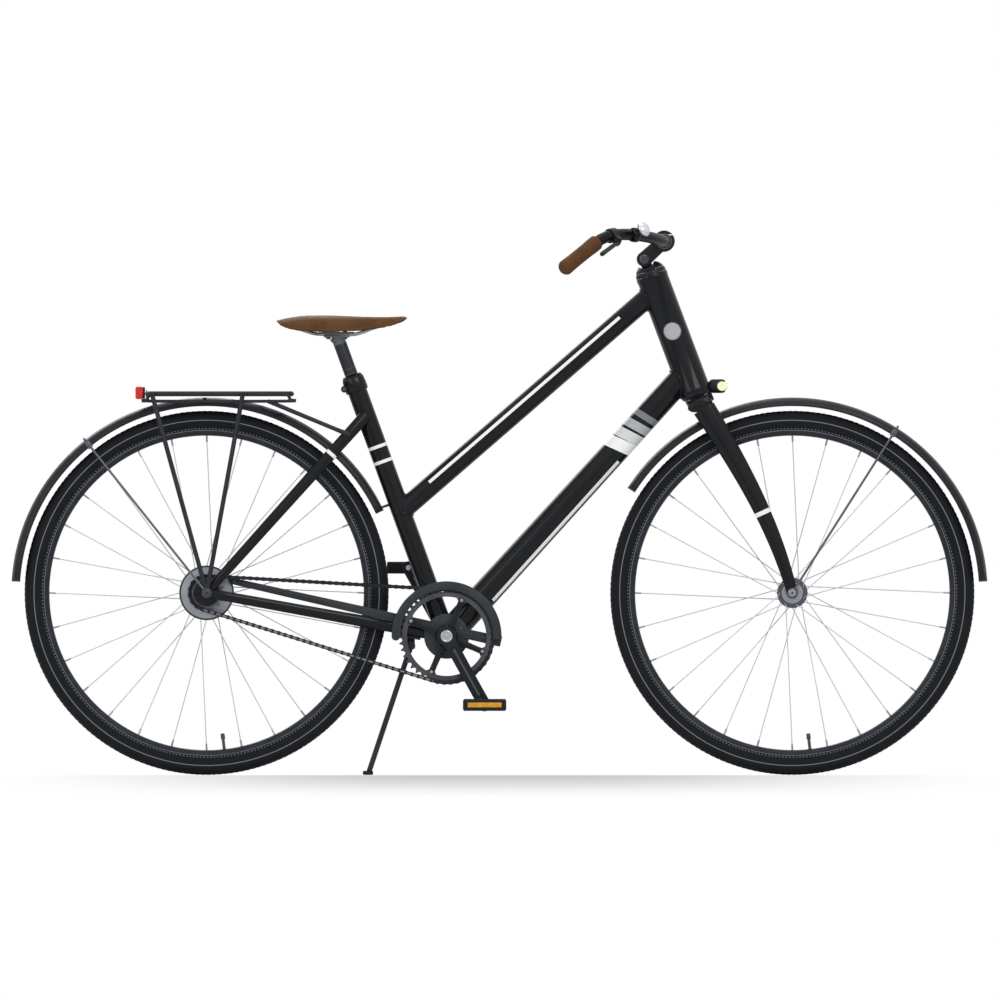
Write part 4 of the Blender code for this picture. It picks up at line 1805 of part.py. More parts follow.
def make_brake_lever(side, name):
    """Two-finger blade that turns on the pin in the perch."""
    root, along, away, pivot, tip, axis = lever_frame(side)
    stations = ((0.0, LEVER_BARREL_RADIUS), (2.0 * LEVER_BARREL_HALF, LEVER_BARREL_RADIUS))
    barrel = turned(pivot - axis * LEVER_BARREL_HALF, axis, stations, 12)
    direction = (tip - pivot).normalized()
    points = [pivot + direction * (LEVER_BLADE_END / 4.0), pivot.lerp(tip, 0.35), pivot.lerp(tip, 0.75),
              tip, tip + direction * LEVER_BLADE_END]
    blade = framed_sweep(points, LEVER_BLADE_RADII, 8)
    fuse(barrel, blade)
    hole = LEVER_PIN_RADIUS + RUNNING_CLEARANCE
    cut(barrel, turned(pivot - axis * CUT_MARGIN, axis, ((0.0, hole), (2.0 * CUT_MARGIN, hole)), 10))
    piece(f"brake_lever_{name}", barrel, "trim_grey", pivot)


def make_handlebar():
    """Swept-back bar in one piece with the two lever perches."""
    left = bar_curve(LEFT, 9)
    right = bar_curve(RIGHT, 9)
    reach = GRIP_LENGTH - GRIP_END_INSET
    points = [right[-1] + grip_direction(RIGHT) * reach, right[-1] + grip_direction(RIGHT) * GRIP_END]
    points += right[::-1]
    taper = BAR_BULGE_HALF + BAR_BULGE_TAPER
    middle = [STEM_CLAMP + ACROSS * y for y in (-taper, -BAR_BULGE_HALF, BAR_BULGE_HALF, taper)]
    points += middle + left
    points += [left[-1] + grip_direction(LEFT) * GRIP_END, left[-1] + grip_direction(LEFT) * reach]
    radii = [BAR_RADIUS] * len(points)
    first = 2 + len(right)
    radii[first + 1] = BAR_CLAMP_RADIUS
    radii[first + 2] = BAR_CLAMP_RADIUS
    bar = framed_sweep(points, radii, 8)
    fuse(bar, lever_perch(RIGHT), lever_perch(LEFT))
    piece("handlebar", bar, "frame_black", STEM_PIVOT)


def make_grip(side, name):
    """Leather grip with a rim at its front and a closed end."""
    start = grip_start(side) + grip_direction(side) * GRIP_SETBACK
    radius = GRIP_RADIUS
    stations = ((0.0, radius - GRIP_RIM_INSET), (GRIP_RIM, radius),
                (0.5 * GRIP_LENGTH, radius - GRIP_WAIST),
                (GRIP_LENGTH - GRIP_END, radius), (GRIP_LENGTH, radius - GRIP_END_INSET))
    grip = turned(start, grip_direction(side), stations, 16)
    bore = (BAR_RADIUS + GAP) / math.cos(math.pi / 12)
    hole = ((-CUT_OVERRUN, bore), (GRIP_LENGTH - GRIP_END_INSET, bore))
    cut(grip, turned(start, grip_direction(side), hole, 12))
    piece(f"grip_{name}", grip, "leather", STEM_PIVOT)


def bell_frame():
    """Point on the bar, bar direction and facing direction of the bell."""
    curve = bar_curve(RIGHT, 24)
    index = int(BELL_SHARE * 24)
    along = (curve[index + 1] - curve[index - 1]).normalized()
    facing = (BELL_FACING - along * BELL_FACING.dot(along)).normalized()
    return curve[index], along, facing


def make_bell():
    """Domed bell on a band, with a thumb lever under the dome."""
    root, along, facing = bell_frame()
    stations = ((0.0, BELL_BAND_RADIUS), (BELL_BAND_LENGTH, BELL_BAND_RADIUS))
    band = turned(root - along * (BELL_BAND_LENGTH / 2.0), along, stations, 14)
    base = root + facing * BELL_STAND
    radius = BELL_RADIUS
    stations = ((0.0, BELL_POST_RADIUS), (BELL_POST_LENGTH, BELL_POST_RADIUS),
                (BELL_POST_LENGTH + 0.2 * BELL_BAND_GAP, radius * 0.93), (0.0135, radius),
                (0.0170, radius * 0.93), (0.0205, radius * 0.72), (0.0228, radius * 0.40),
                (0.0236, radius * 0.12))
    fuse(band, turned(base, facing, stations, 14))
    bore = BAR_RADIUS + BELL_BAND_GAP
    hole = ((0.0, bore), (2.0 * CUT_OVERRUN, bore))
    cut(band, turned(root - along * CUT_OVERRUN, along, hole, 12))
    piece("bell", band, "bell_silver", STEM_PIVOT)
    seat = base + facing * BELL_LEVER_RISE
    stations = ((0.0, BELL_RING_RADIUS), (BELL_RING_HEIGHT, BELL_RING_RADIUS))
    ring = turned(seat, facing, stations, 14)
    axes = (along, facing.cross(along), facing)
    middle = seat + facing * (BELL_RING_HEIGHT / 2.0)
    arm = oriented_block(middle + along * BELL_ARM_REACH, axes, BELL_ARM_SIZE)
    thumb = oriented_block(middle + along * BELL_THUMB_REACH, axes, BELL_THUMB_SIZE)
    fuse(ring, arm, thumb)
    hole = BELL_POST_RADIUS + RUNNING_CLEARANCE
    stations = ((0.0, hole), (CUT_OVERRUN, hole))
    cut(ring, turned(seat - facing * (BELL_LEVER_RISE - BELL_RING_HEIGHT / 2.0), facing, stations, 12))
    piece("bell_lever", ring, "steel", root)


# Stand


def make_stand_bracket():
    """Clamp around the chain stays with the lug of the stand's hinge."""
    back = (REAR_AXLE - BRACKET).normalized()
    upward = unit(math.pi / 2.0 + math.atan2(-back.z, -back.x))
    half_height = 0.5 * CHAIN_STAY_FRONT_HEIGHT * math.cos(math.pi / 8) + GAP
    middle = BRACKET + back * STAND_PIVOT_BACK
    below = half_height + STAND_LOWER_PLATE[2] / 2.0
    above = half_height + STAND_UPPER_PLATE[2] / 2.0
    lower = block(middle - upward * below, STAND_LOWER_PLATE, back)
    upper = block(middle + upward * above, STAND_UPPER_PLATE, back)
    reach = below + above + STAND_BOLT_PROUD
    bolt = turned(middle - upward * below, upward, ((0.0, STAND_BOLT_RADIUS), (reach, STAND_BOLT_RADIUS)), 14)
    lug_centre = STAND_PIVOT + UPWARD * (0.5 * STAND_LUG_HEIGHT - STAND_LUG_DROP)
    lug = block(lug_centre, (STAND_LUG_LENGTH, 2.0 * STAND_LUG_HALF, STAND_LUG_HEIGHT), FORWARD)
    barrel = disc(STAND_PIVOT, STAND_BARREL_RADIUS, -STAND_LUG_HALF, STAND_LUG_HALF, 18)
    fuse(lower, bolt, upper, lug, barrel)
    cut(lower, disc(STAND_PIVOT, STAND_PIN_RADIUS + RUNNING_CLEARANCE, -CUT_OVERRUN, CUT_OVERRUN, 16))
    piece("stand_bracket", lower, "trim_grey")


def make_stand():
    """Two legs on one pin; they run inside the chain and splay at the feet."""
    foot_x = STAND_PIVOT.x - STAND_FOOT_BACK
    foot_line = Vector((foot_x - STAND_PIVOT.x, 0.0, -STAND_PIVOT.z))
    length = foot_line.length
    down = foot_line.normalized()
    pin = disc(STAND_PIVOT, STAND_PIN_RADIUS, -STAND_PIN_HALF, STAND_PIN_HALF, 16)
    size = 2.0 * STAND_LEG_RADIUS
    for side in (RIGHT, LEFT):
        near = side * STAND_TRACK / 2.0
        far = side * STAND_FOOT_TRACK / 2.0
        ankle = length - STAND_ANKLE / -down.z
        splay = STAND_SPLAY_START
        points = [at_side(STAND_PIVOT, near),
                  at_side(STAND_PIVOT + down * (splay - STAND_BEND_BACK), near),
                  at_side(STAND_PIVOT + down * (splay + STAND_BEND_AHEAD),
                          near + (far - near) * STAND_BEND_SHARE),
                  at_side(STAND_PIVOT + down * ankle, far)]
        leg = swept(points, [(size, size)] * 4, 8)
        barrel_end = STAND_TRACK / 2.0 + STAND_LEG_RADIUS
        low, high = sorted((side * (STAND_LUG_HALF + GAP), side * barrel_end))
        barrel = disc(STAND_PIVOT, STAND_BARREL_RADIUS, low, high, 18)
        foot = block(Vector((foot_x, far, STAND_FOOT_SIZE[2] / 2.0)), STAND_FOOT_SIZE)
        fuse(leg, barrel, foot)
        fuse(pin, leg)
    piece("stand", pin, "trim_grey", STAND_PIVOT)


def build():
    """Clear the scene and make every piece of the bike."""
    for thing in list(bpy.data.objects):
        bpy.data.objects.remove(thing, do_unlink=True)
    make_head_tube()
    make_seat_tube()
    make_top_tube()
    make_down_tube()
    make_bracket_shell()
    make_bracket_cartridge()
    for side, name in ((RIGHT, "right"), (LEFT, "left")):
        make_stays(side, name)
        make_crank(side, name)
        make_pedal(side, name)
        make_rack_leg(side, name)
        make_grip(side, name)
        make_brake_lever(side, name)
    make_seat_collar()
    make_headset()
    make_wheels()
    axle_with_nuts(REAR_AXLE, "rear_axle", DROPOUT_FACE, FENDER_EYE_Y + FENDER_STAY_RADIUS + GAP)
    axle_with_nuts(FRONT_AXLE, "front_axle", FORK_FACE, FRONT_EYE_Y + FENDER_STAY_RADIUS + GAP)
    make_chain()
    make_sprocket()
    make_chainring()
    make_crank_axle()
    make_chain_guard()
    make_rear_fender()
    make_front_fender()
    fender_stay(REAR_AXLE, REAR_STAY_ANGLE, FENDER_EYE_Y, "rear_fender_stay")
    fender_stay(FRONT_AXLE, FRONT_STAY_ANGLE, FRONT_EYE_Y, "front_fender_stay")
    make_rack()
    make_rear_light()
    make_seat_post()
    make_saddle_clamp()
    make_saddle_rails()
    make_saddle()
    make_fork()
    make_headlight()
    make_stem()
    make_handlebar()
    make_bell()
    make_stand_bracket()
    make_stand()


build()
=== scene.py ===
import json
from math import acos, asin, atan2, ceil, cos, pi, radians, sin, sqrt

import bmesh
import bpy
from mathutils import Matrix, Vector


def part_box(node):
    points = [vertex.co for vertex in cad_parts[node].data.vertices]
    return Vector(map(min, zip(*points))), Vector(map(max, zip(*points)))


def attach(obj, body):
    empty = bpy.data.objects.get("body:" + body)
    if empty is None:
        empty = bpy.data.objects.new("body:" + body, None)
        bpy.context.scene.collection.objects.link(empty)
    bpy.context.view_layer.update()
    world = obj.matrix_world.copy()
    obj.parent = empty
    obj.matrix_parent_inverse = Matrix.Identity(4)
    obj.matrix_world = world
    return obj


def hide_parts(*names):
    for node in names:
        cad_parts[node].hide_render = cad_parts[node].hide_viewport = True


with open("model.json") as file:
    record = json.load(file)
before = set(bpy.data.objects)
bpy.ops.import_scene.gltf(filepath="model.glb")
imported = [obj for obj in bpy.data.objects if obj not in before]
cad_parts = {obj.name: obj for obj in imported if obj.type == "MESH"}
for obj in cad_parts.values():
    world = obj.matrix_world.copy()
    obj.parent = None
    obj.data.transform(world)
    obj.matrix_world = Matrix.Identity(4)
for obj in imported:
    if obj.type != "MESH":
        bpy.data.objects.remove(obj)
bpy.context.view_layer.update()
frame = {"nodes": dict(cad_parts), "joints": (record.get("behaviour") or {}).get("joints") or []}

# The room: a pale studio floor that takes the bike's shadow, soft lights
# around it, and a camera square to the bike's drive side. Below the ground
# line hangs a strip with the soft shade that the drawing has there.

scene = bpy.context.scene
scene.view_settings.view_transform = 'Standard'


class Wire:
    """A node's socket: sums on it add Math nodes, and node() adds any other."""

    def __init__(self, tree, socket=None):
        self.tree = tree
        self.socket = socket

    def feed(self, socket):
        self.tree.links.new(self.socket, socket)

    def node(self, kind, settings=None, values=None, out=0):
        """Settings are set first, then each input gets its value or link."""
        made = self.tree.nodes.new(kind)
        for name, value in (settings or {}).items():
            setattr(made, name, value)
        for key, value in (values or {}).items():
            socket = made.inputs[key]
            if isinstance(value, Wire):
                value.feed(socket)
            elif socket.type == 'RGBA' and len(value) == 3:
                socket.default_value = (*value, 1.0)
            else:
                socket.default_value = value
        return Wire(self.tree, made.outputs[out])

    def maths(self, operation, *values):
        return self.node("ShaderNodeMath", {"operation": operation}, dict(enumerate(values)))

    def __add__(self, other):
        return self.maths('ADD', self, other)

    def __radd__(self, other):
        return self.maths('ADD', other, self)

    def __sub__(self, other):
        return self.maths('SUBTRACT', self, other)

    def __rsub__(self, other):
        return self.maths('SUBTRACT', other, self)

    def __mul__(self, other):
        return self.maths('MULTIPLY', self, other)

    def __rmul__(self, other):
        return self.maths('MULTIPLY', other, self)

    def __truediv__(self, other):
        return self.maths('DIVIDE', self, other)

    def __abs__(self):
        return self.maths('ABSOLUTE', self)

    def __lt__(self, other):
        return self.maths('LESS_THAN', self, other)

    def __gt__(self, other):
        return self.maths('GREATER_THAN', self, other)

    def step(self, low, high):
        """0 below low, 1 above high, with a smooth rise between them."""
        values = {"Value": self, "From Min": low, "From Max": high}
        return self.node("ShaderNodeMapRange", {"interpolation_type": 'SMOOTHSTEP'}, values)

    def between(self, first, second):
        """Colour from first to second as this wire goes from 0 to 1."""
        return self.node("ShaderNodeMix", {"data_type": 'RGBA'},
                         {0: self, 6: first, 7: second}, out=2)

    def noise(self, scale, detail=2.0):
        return self.node("ShaderNodeTexNoise", None,
                         {"Vector": self, "Scale": scale, "Detail": detail})

    def cloud(self, scale, detail=3.0):
        """Soft patches between 0 and 1."""
        return self.noise(scale, detail).step(0.3, 0.7)

    def wave(self):
        """Sine of this wire, raised to lie between 0 and 1."""
        return self.maths('SINE', self) * 0.5 + 0.5

    def along(self, point, direction):
        """Distance from a point along a direction, on a place wire."""
        product = self.node("ShaderNodeVectorMath", {"operation": 'DOT_PRODUCT'},
                            {0: self, 1: tuple(direction)}, out=1)
        return product - Vector(point).dot(Vector(direction))

    def stretched(self, x, y, z):
        return self.node("ShaderNodeMapping", None, {"Vector": self, "Scale": (x, y, z)})


def emission(name):
    """A bare material, a wire on its places and its output."""
    made = bpy.data.materials.new(name)
    made.use_nodes = True
    tree = made.node_tree
    tree.nodes.clear()
    output = tree.nodes.new("ShaderNodeOutputMaterial")
    return made, Wire(tree, tree.nodes.new("ShaderNodeTexCoord").outputs["Object"]), output


def sheet_of(name, corners, material):
    """Flat four-cornered stage surface."""
    data = bpy.data.meshes.new(name)
    data.from_pydata(corners, [], [(0, 1, 2, 3)])
    data.materials.append(material)
    made = bpy.data.objects.new(name, data)
    scene.collection.objects.link(made)
    return made


floor_finish, floor_spot, floor_output = emission("studio_floor")
floor_reach = floor_spot.node("ShaderNodeVectorMath", {"operation": 'LENGTH'},
                              {0: floor_spot}, out=1)
camera_ray = floor_spot.node("ShaderNodeLightPath")
paper = floor_spot.noise(9.0).between((0.86, 0.86, 0.86), (0.88, 0.88, 0.88))
paper_shade = floor_spot.node("ShaderNodeBsdfDiffuse", None, {"Color": paper})
paper_white = floor_spot.node("ShaderNodeEmission", None, {"Strength": 1.0})
far_away = camera_ray * floor_reach.step(1.6, 4.5)
floor_spot.node("ShaderNodeMixShader", None,
                {0: far_away, 1: paper_shade, 2: paper_white}).feed(floor_output.inputs[0])
FLOOR_REACH = 30.0
sheet_of("studio_floor", [(x * FLOOR_REACH, y * FLOOR_REACH, 0.0)
                          for x, y in ((-1, -1), (1, -1), (1, 1), (-1, 1))], floor_finish)

shade_finish, shade_spot, shade_output = emission("ground_shade")
shade_depth = (0.0 - shade_spot.along((0, 0, 0), (0, 0, 1))).step(-0.004, 0.046)
shade_ends = abs(shade_spot.along((0, 0, 0), (1, 0, 0))).step(0.1, 1.02)
shade_mix = (1.0 - shade_depth) * (1.0 - shade_ends)
shade_colour = shade_mix.between((1.0, 1.0, 1.0), (0.56, 0.57, 0.59))
shade_spot.node("ShaderNodeEmission", None, {"Color": shade_colour}).feed(shade_output.inputs[0])
sheet_of("ground_shade", [(-1.1, -1.2, -0.06), (1.1, -1.2, -0.06),
                          (1.1, -1.2, -0.0005), (-1.1, -1.2, -0.0005)], shade_finish)

AMBIENT = 0.58
sky = bpy.data.worlds.new("studio_air")
scene.world = sky
sky.use_nodes = True
sky.node_tree.nodes.clear()
air = Wire(sky.node_tree)
rays = air.node("ShaderNodeLightPath")
seen = rays.tree.nodes[-1].outputs
direct = Wire(air.tree, seen["Is Camera Ray"])
direct = air.maths('MAXIMUM', direct, Wire(air.tree, seen["Is Transmission Ray"]))
direct = air.maths('MAXIMUM', direct, Wire(air.tree, seen["Is Glossy Ray"]))
glow = AMBIENT + (1.0 - AMBIENT) * direct
air.node("ShaderNodeBackground", None, {"Strength": glow, "Color": (1.0, 1.0, 1.0)}).feed(
    air.tree.nodes.new("ShaderNodeOutputWorld").inputs[0])


def lamp(name, place, target, size, power):
    """Square softbox that faces a point."""
    data = bpy.data.lights.new(name, 'AREA')
    data.shape = 'RECTANGLE'
    data.size, data.size_y = size
    data.energy = power
    made = bpy.data.objects.new(name, data)
    scene.collection.objects.link(made)
    made.location = place
    made.rotation_euler = (Vector(target) - Vector(place)).to_track_quat('-Z', 'Y').to_euler()
    return made


MIDDLE = Vector((0.0, 0.0, 0.5))
lamp("key_softbox", (1.4, -3.2, 3.0), MIDDLE, (2.4, 1.4), 52.0)
lamp("fill_softbox", (-2.6, -2.6, 1.6), MIDDLE, (2.2, 1.6), 22.0)
lamp("back_softbox", (-1.2, 3.2, 2.6), MIDDLE, (2.6, 1.4), 34.0)
lamp("top_softbox", (0.0, 0.0, 3.6), MIDDLE, (2.6, 0.9), 26.0)

MM_PER_PIXEL = 1.9113
view_data = bpy.data.cameras.new("side_view")
view_data.type = 'ORTHO'
view_data.ortho_scale = MM_PER_PIXEL
side_view = bpy.data.objects.new("side_view", view_data)
side_view.location = (0.001, -5.0, 0.5255)
side_view.rotation_euler = (radians(90.0), 0.0, 0.0)
scene.collection.objects.link(side_view)
scene.camera = side_view

# The frame's main tubes: drawn steel tubes, welded, rubbed down and sprayed
# gloss black, with white stripes under the clear coat. Head tube, top tube,
# down tube and seat tube meet in smooth weld beads.

ACROSS = Vector((0.0, 1.0, 0.0))
UPWARD = Vector((0.0, 0.0, 1.0))
FORWARD = Vector((1.0, 0.0, 0.0))
SIDES = ((-1, "right"), (1, "left"))


def unit(angle):
    """Direction in the side plane, from +X towards +Z."""
    return Vector((cos(angle), 0.0, sin(angle)))


def off(point, y):
    """The same point at a distance from the bike's middle plane."""
    return Vector((point.x, y, point.z))


def pixel(x, y):
    """Point in the middle plane that the drawing shows at a pixel."""
    return Vector(((x - 499.465) * MM_PER_PIXEL, 0.0, (774.93 - y) * MM_PER_PIXEL)) / 1000.0


def skin(mesh, rings, closed=False):
    """Faces over rings of points, with a cap at both ends of an open row."""
    loops = [[mesh.verts.new(point) for point in ring] for ring in rings]
    for first, second in zip(loops, loops[1:] + loops[:1] if closed else loops[1:]):
        for index in range(len(first)):
            after = (index + 1) % len(first)
            mesh.faces.new((first[index], first[after], second[after], second[index]))
    if not closed:
        mesh.faces.new(loops[0][::-1])
        mesh.faces.new(loops[-1])


def shape(rings, closed=False):
    """New object skinned over rings of points, its faces turned outwards."""
    mesh = bmesh.new()
    skin(mesh, rings, closed)
    return added(mesh)


def added(mesh):
    """Puts a bmesh into the scene as a working object."""
    bmesh.ops.recalc_face_normals(mesh, faces=mesh.faces)
    data = bpy.data.meshes.new("work")
    mesh.to_mesh(data)
    mesh.free()
    thing = bpy.data.objects.new("work", data)
    scene.collection.objects.link(thing)
    return thing


def axes_of(direction):
    """Two directions square to one, the first in the side plane."""
    helper = UPWARD if abs(direction.dot(ACROSS)) > 0.95 else ACROSS
    first = direction.cross(helper).normalized()
    return first, first.cross(direction).normalized()


def ellipse(centre, first, second, height, width, sides):
    """Ring of points along two directions, with its full size along each."""
    turns = [2.0 * pi * (step + 0.5) / sides for step in range(sides)]
    return [centre + first * (cos(turn) * height / 2.0) + second * (sin(turn) * width / 2.0)
            for turn in turns]


def turned(start, direction, stations, sides, closed=False):
    """Round piece; stations are pairs of distance along and radius."""
    return shape([ellipse(start + direction * along, *axes_of(direction), 2.0 * radius, 2.0 * radius, sides)
                  for along, radius in stations], closed)


def rod(start, direction, length, radius, sides):
    """Plain round bar."""
    return turned(start, direction, ((0.0, radius), (length, radius)), sides)


def barrel(start, direction, length, radius, edge, drop, sides):
    """Round bar whose ends are chamfered: edge along it and drop in radius."""
    return turned(start, direction, ((0.0, radius - drop), (edge, radius), (length - edge, radius),
                                     (length, radius - drop)), sides)


def disc(centre, radius, low, high, sides):
    """Round plate about the y direction, between two distances from the middle plane."""
    return rod(off(centre, min(low, high)), ACROSS, abs(high - low), radius, sides)


def smooth_row(rows, steps):
    """Rows of numbers or vectors with rounded steps put in between them."""
    result = []
    count = len(rows)
    for index in range(count - 1):
        four = [rows[max(index - 1, 0)], rows[index], rows[index + 1], rows[min(index + 2, count - 1)]]
        for step in range(steps):
            t = step / steps
            mixed = []
            for a, b, c, d in zip(*four):
                mixed.append(0.5 * (2.0 * b + (c - a) * t + (2.0 * a - 5.0 * b + 4.0 * c - d) * t * t
                                    + (3.0 * b - a - 3.0 * c + d) * t ** 3))
            result.append(mixed)
    result.append(list(rows[-1]))
    return result


def swept(points, sizes, sides, steps, closed=False):
    """Bar along a path; sizes is one (height, width), or a list with one per point."""
    sizes = [sizes] * len(points) if isinstance(sizes, tuple) else sizes
    rows = [(*point, *size) for point, size in zip(points, sizes)]
    if steps > 1:
        rows = smooth_row(rows + rows[:1] if closed else rows, steps)
        rows = rows[:-1] if closed else rows
    rings = []
    side = None
    for index, row in enumerate(rows):
        after = rows[(index + 1) % len(rows) if closed else min(index + 1, len(rows) - 1)]
        before = rows[index - 1] if closed or index else row
        direction = (Vector(after[:3]) - Vector(before[:3])).normalized()
        if side is None:
            side = axes_of(direction)[1]
        else:
            side = (side - direction * side.dot(direction)).normalized()
        high = side.cross(direction)
        rings.append(ellipse(Vector(row[:3]), high, side, row[3], row[4], sides))
    return shape(rings, closed)


def evaluated(thing):
    """Applies all modifiers and keeps the result as the object's mesh."""
    graph = bpy.context.evaluated_depsgraph_get()
    result = bpy.data.meshes.new_from_object(thing.evaluated_get(graph))
    thing.modifiers.clear()
    thing.data = result
    return thing


def joined(first, *others):
    """One object from several; their faces aren't welded."""
    mesh = bmesh.new()
    for thing in (first, *others):
        mesh.from_mesh(thing.data)
    mesh.to_mesh(first.data)
    mesh.free()
    for thing in others:
        bpy.data.objects.remove(thing, do_unlink=True)
    return first


def carve(target, *tools, operation='DIFFERENCE'):
    """Takes the tools' solids away from a target, or welds them on."""
    for tool in tools:
        modifier = target.modifiers.new("carve", 'BOOLEAN')
        modifier.operation = operation
        modifier.solver = 'EXACT'
        modifier.object = tool
        evaluated(target)
        bpy.data.objects.remove(tool, do_unlink=True)
    return target


def eased(thing, width, segments, angle=None):
    """Rounds all edges of a piece, or only those sharper than an angle."""
    edge = thing.modifiers.new("edge", 'BEVEL')
    edge.width, edge.segments, edge.limit_method = width, segments, 'ANGLE' if angle else 'NONE'
    edge.angle_limit = radians(angle or 180.0)
    return evaluated(thing)


def settled(thing, name, material, body, *nodes, bevel=0.0, segments=2, sharp=35.0, levels=0):
    """Finishes a shape: edges, paint, the body it rides on, the CAD nodes it stands for."""
    if bevel:
        eased(thing, bevel, segments, sharp)
    if levels:
        round_off = thing.modifiers.new("round_off", 'SUBSURF')
        round_off.levels = round_off.render_levels = levels
        evaluated(thing)
    thing.name = thing.data.name = name
    thing.data.materials.clear()
    thing.data.materials.append(material)
    thing.data.shade_smooth()
    thing.data.set_sharp_from_angle(angle=radians(sharp))
    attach(thing, body)
    if nodes:
        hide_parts(*nodes)
    return thing


def new_finish(name, specular, **fixed):
    """A material, a wire on its places and its shader with fixed values."""
    made = bpy.data.materials.new(name)
    made.use_nodes = True
    tree = made.node_tree
    shader = tree.nodes["Principled BSDF"]
    shader.inputs["Specular IOR Level"].default_value = specular
    for socket, value in fixed.items():
        shader.inputs[socket].default_value = value
    return made, Wire(tree, tree.nodes.new("ShaderNodeTexCoord").outputs["Object"]), shader


def wired(made, shader, colour, rough, height, depth, strength=1.0, metal=0.0):
    """Joins colour, roughness and fine relief to a finish's shader."""
    colour.feed(shader.inputs["Base Color"])
    rough.feed(shader.inputs["Roughness"])
    shader.inputs["Metallic"].default_value = metal
    height.node("ShaderNodeBump", None, {"Strength": strength, "Distance": depth,
                                         "Height": height}).feed(shader.inputs["Normal"])
    return made


def drift(name, dark, light, rough, metal=0.0, scale=14.0, grain=900.0, depth=0.00002, marks=(),
          specular=0.14, **fixed):
    """A finish that drifts between two shades, with fine grain and painted marks."""
    made, spot, shader = new_finish(name, specular, **fixed)
    colour = spot.cloud(scale).between(dark, light)
    for mask, paint in marks:
        colour = mask(spot).between(colour, paint)
    speckle = spot.noise(grain, 2.0)
    return wired(made, shader, colour, rough[0] + (rough[1] - rough[0]) * speckle, speckle, depth,
                 metal=metal)


def radial(spot, hub):
    """Distance from an axle, on a place wire."""
    return spot.node("ShaderNodeVectorMath", {"operation": 'DISTANCE'},
                     {0: spot.stretched(1.0, 0.0, 1.0), 1: (hub.x, 0.0, hub.z)}, out=1)


def stripe(middle, along, half_length, half_width):
    """Mask of a straight mark in the side plane, seen on both sides."""
    along = along.normalized()
    square = ACROSS.cross(along)

    def mask(spot):
        inside = half_length - abs(spot.along(middle, along))
        within = half_width - abs(spot.along(middle, square))
        return inside.step(-0.00015, 0.00015) * within.step(-0.00015, 0.00015)
    return mask


def pinstripe(first, last, half_width):
    """Mask of a straight mark that runs from one point to another."""
    return stripe((first + last) / 2.0, last - first, (last - first).length / 2.0, half_width)

PAINT = dict(dark=(0.004, 0.0046, 0.006), light=(0.0062, 0.007, 0.0086), rough=(0.24, 0.32),
             specular=0.08, **{"Coat Weight": 0.24, "Coat Roughness": 0.06})
WHITE = (0.86, 0.87, 0.87)
LINE_HALF = 0.0029
black_paint = drift("frame_paint", **PAINT)

axles = {"rear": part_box("rear_axle"), "front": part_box("front_axle")}
REAR_AXLE = off((axles["rear"][0] + axles["rear"][1]) / 2.0, 0.0)
FRONT_AXLE = off((axles["front"][0] + axles["front"][1]) / 2.0, 0.0)
joints = {joint["name"]: joint for joint in frame["joints"]}
BRACKET = Vector(joints["crank_spin"]["pos_m"])
HEAD_FOOT = Vector(joints["steer"]["pos_m"])
HEAD_UP = Vector(joints["steer"]["axis"]).normalized()
HEAD_FORWARD = Vector((HEAD_UP.z, 0.0, -HEAD_UP.x))
SEAT_UP = Vector(joints["seat_height"]["axis"]).normalized()
SEAT_FORWARD = Vector((SEAT_UP.z, 0.0, -SEAT_UP.x))
HEAD_LENGTH = 0.241
SEAT_LENGTH = 0.512
HEAD_TOP = HEAD_FOOT + HEAD_UP * HEAD_LENGTH
SEAT_TOP = BRACKET + SEAT_UP * SEAT_LENGTH
HEAD_RADIUS = 0.03
SEAT_RADIUS = 0.0186
TOP_RADIUS = 0.0194
DOWN_RADII = (0.0268, 0.024)
TOP_START = BRACKET + SEAT_UP * 0.254
TOP_END = HEAD_FOOT + HEAD_UP * 0.2115
DOWN_END = HEAD_FOOT + HEAD_UP * 0.044

# The head tube is a stouter tube with rolled rims for the bearing cups; a
# blank badge plate sits at its side.
badge = pixel(672.3, 331.2)


def badge_mask(outer, inner=None):
    """Mask of a round mark at the badge's place, or of a ring where inner is given."""
    def mask(spot):
        reach = radial(spot, badge)
        inside = 1.0 - reach.step(*outer)
        return inside * reach.step(*inner) if inner else inside
    return mask


badge_paint = drift("head_tube_paint", **PAINT, marks=[
    (badge_mask((0.0163, 0.0167)), (0.4, 0.41, 0.43)),
    (badge_mask((0.0176, 0.018), (0.0158, 0.0161)), (0.075, 0.08, 0.09))])
head_tube = turned(HEAD_FOOT, HEAD_UP, (
    (0.0, 0.024), (0.0, 0.0302), (0.0012, 0.0306), (0.008, 0.0306), (0.0095, HEAD_RADIUS),
    (HEAD_LENGTH - 0.0095, HEAD_RADIUS), (HEAD_LENGTH - 0.008, 0.0306),
    (HEAD_LENGTH - 0.0012, 0.0306), (HEAD_LENGTH, 0.0302), (HEAD_LENGTH, 0.024)), 64, closed=True)
settled(head_tube, "head_tube_shell", badge_paint, "frame", "head_tube")

seat_bands = [stripe(BRACKET + SEAT_UP * height, SEAT_FORWARD, 0.04, 0.0031)
              for height in (0.3855, 0.3555)]
seat_paint = drift("seat_tube_paint", **PAINT, marks=[(band, WHITE) for band in seat_bands])
seat_tube = turned(BRACKET + SEAT_UP * 0.01, SEAT_UP, (
    (0.0, 0.0135), (0.0, SEAT_RADIUS), (SEAT_LENGTH - 0.01, SEAT_RADIUS),
    (SEAT_LENGTH - 0.01, 0.0131)), 48, closed=True)
settled(seat_tube, "seat_tube_shell", seat_paint, "frame", "seat_tube")

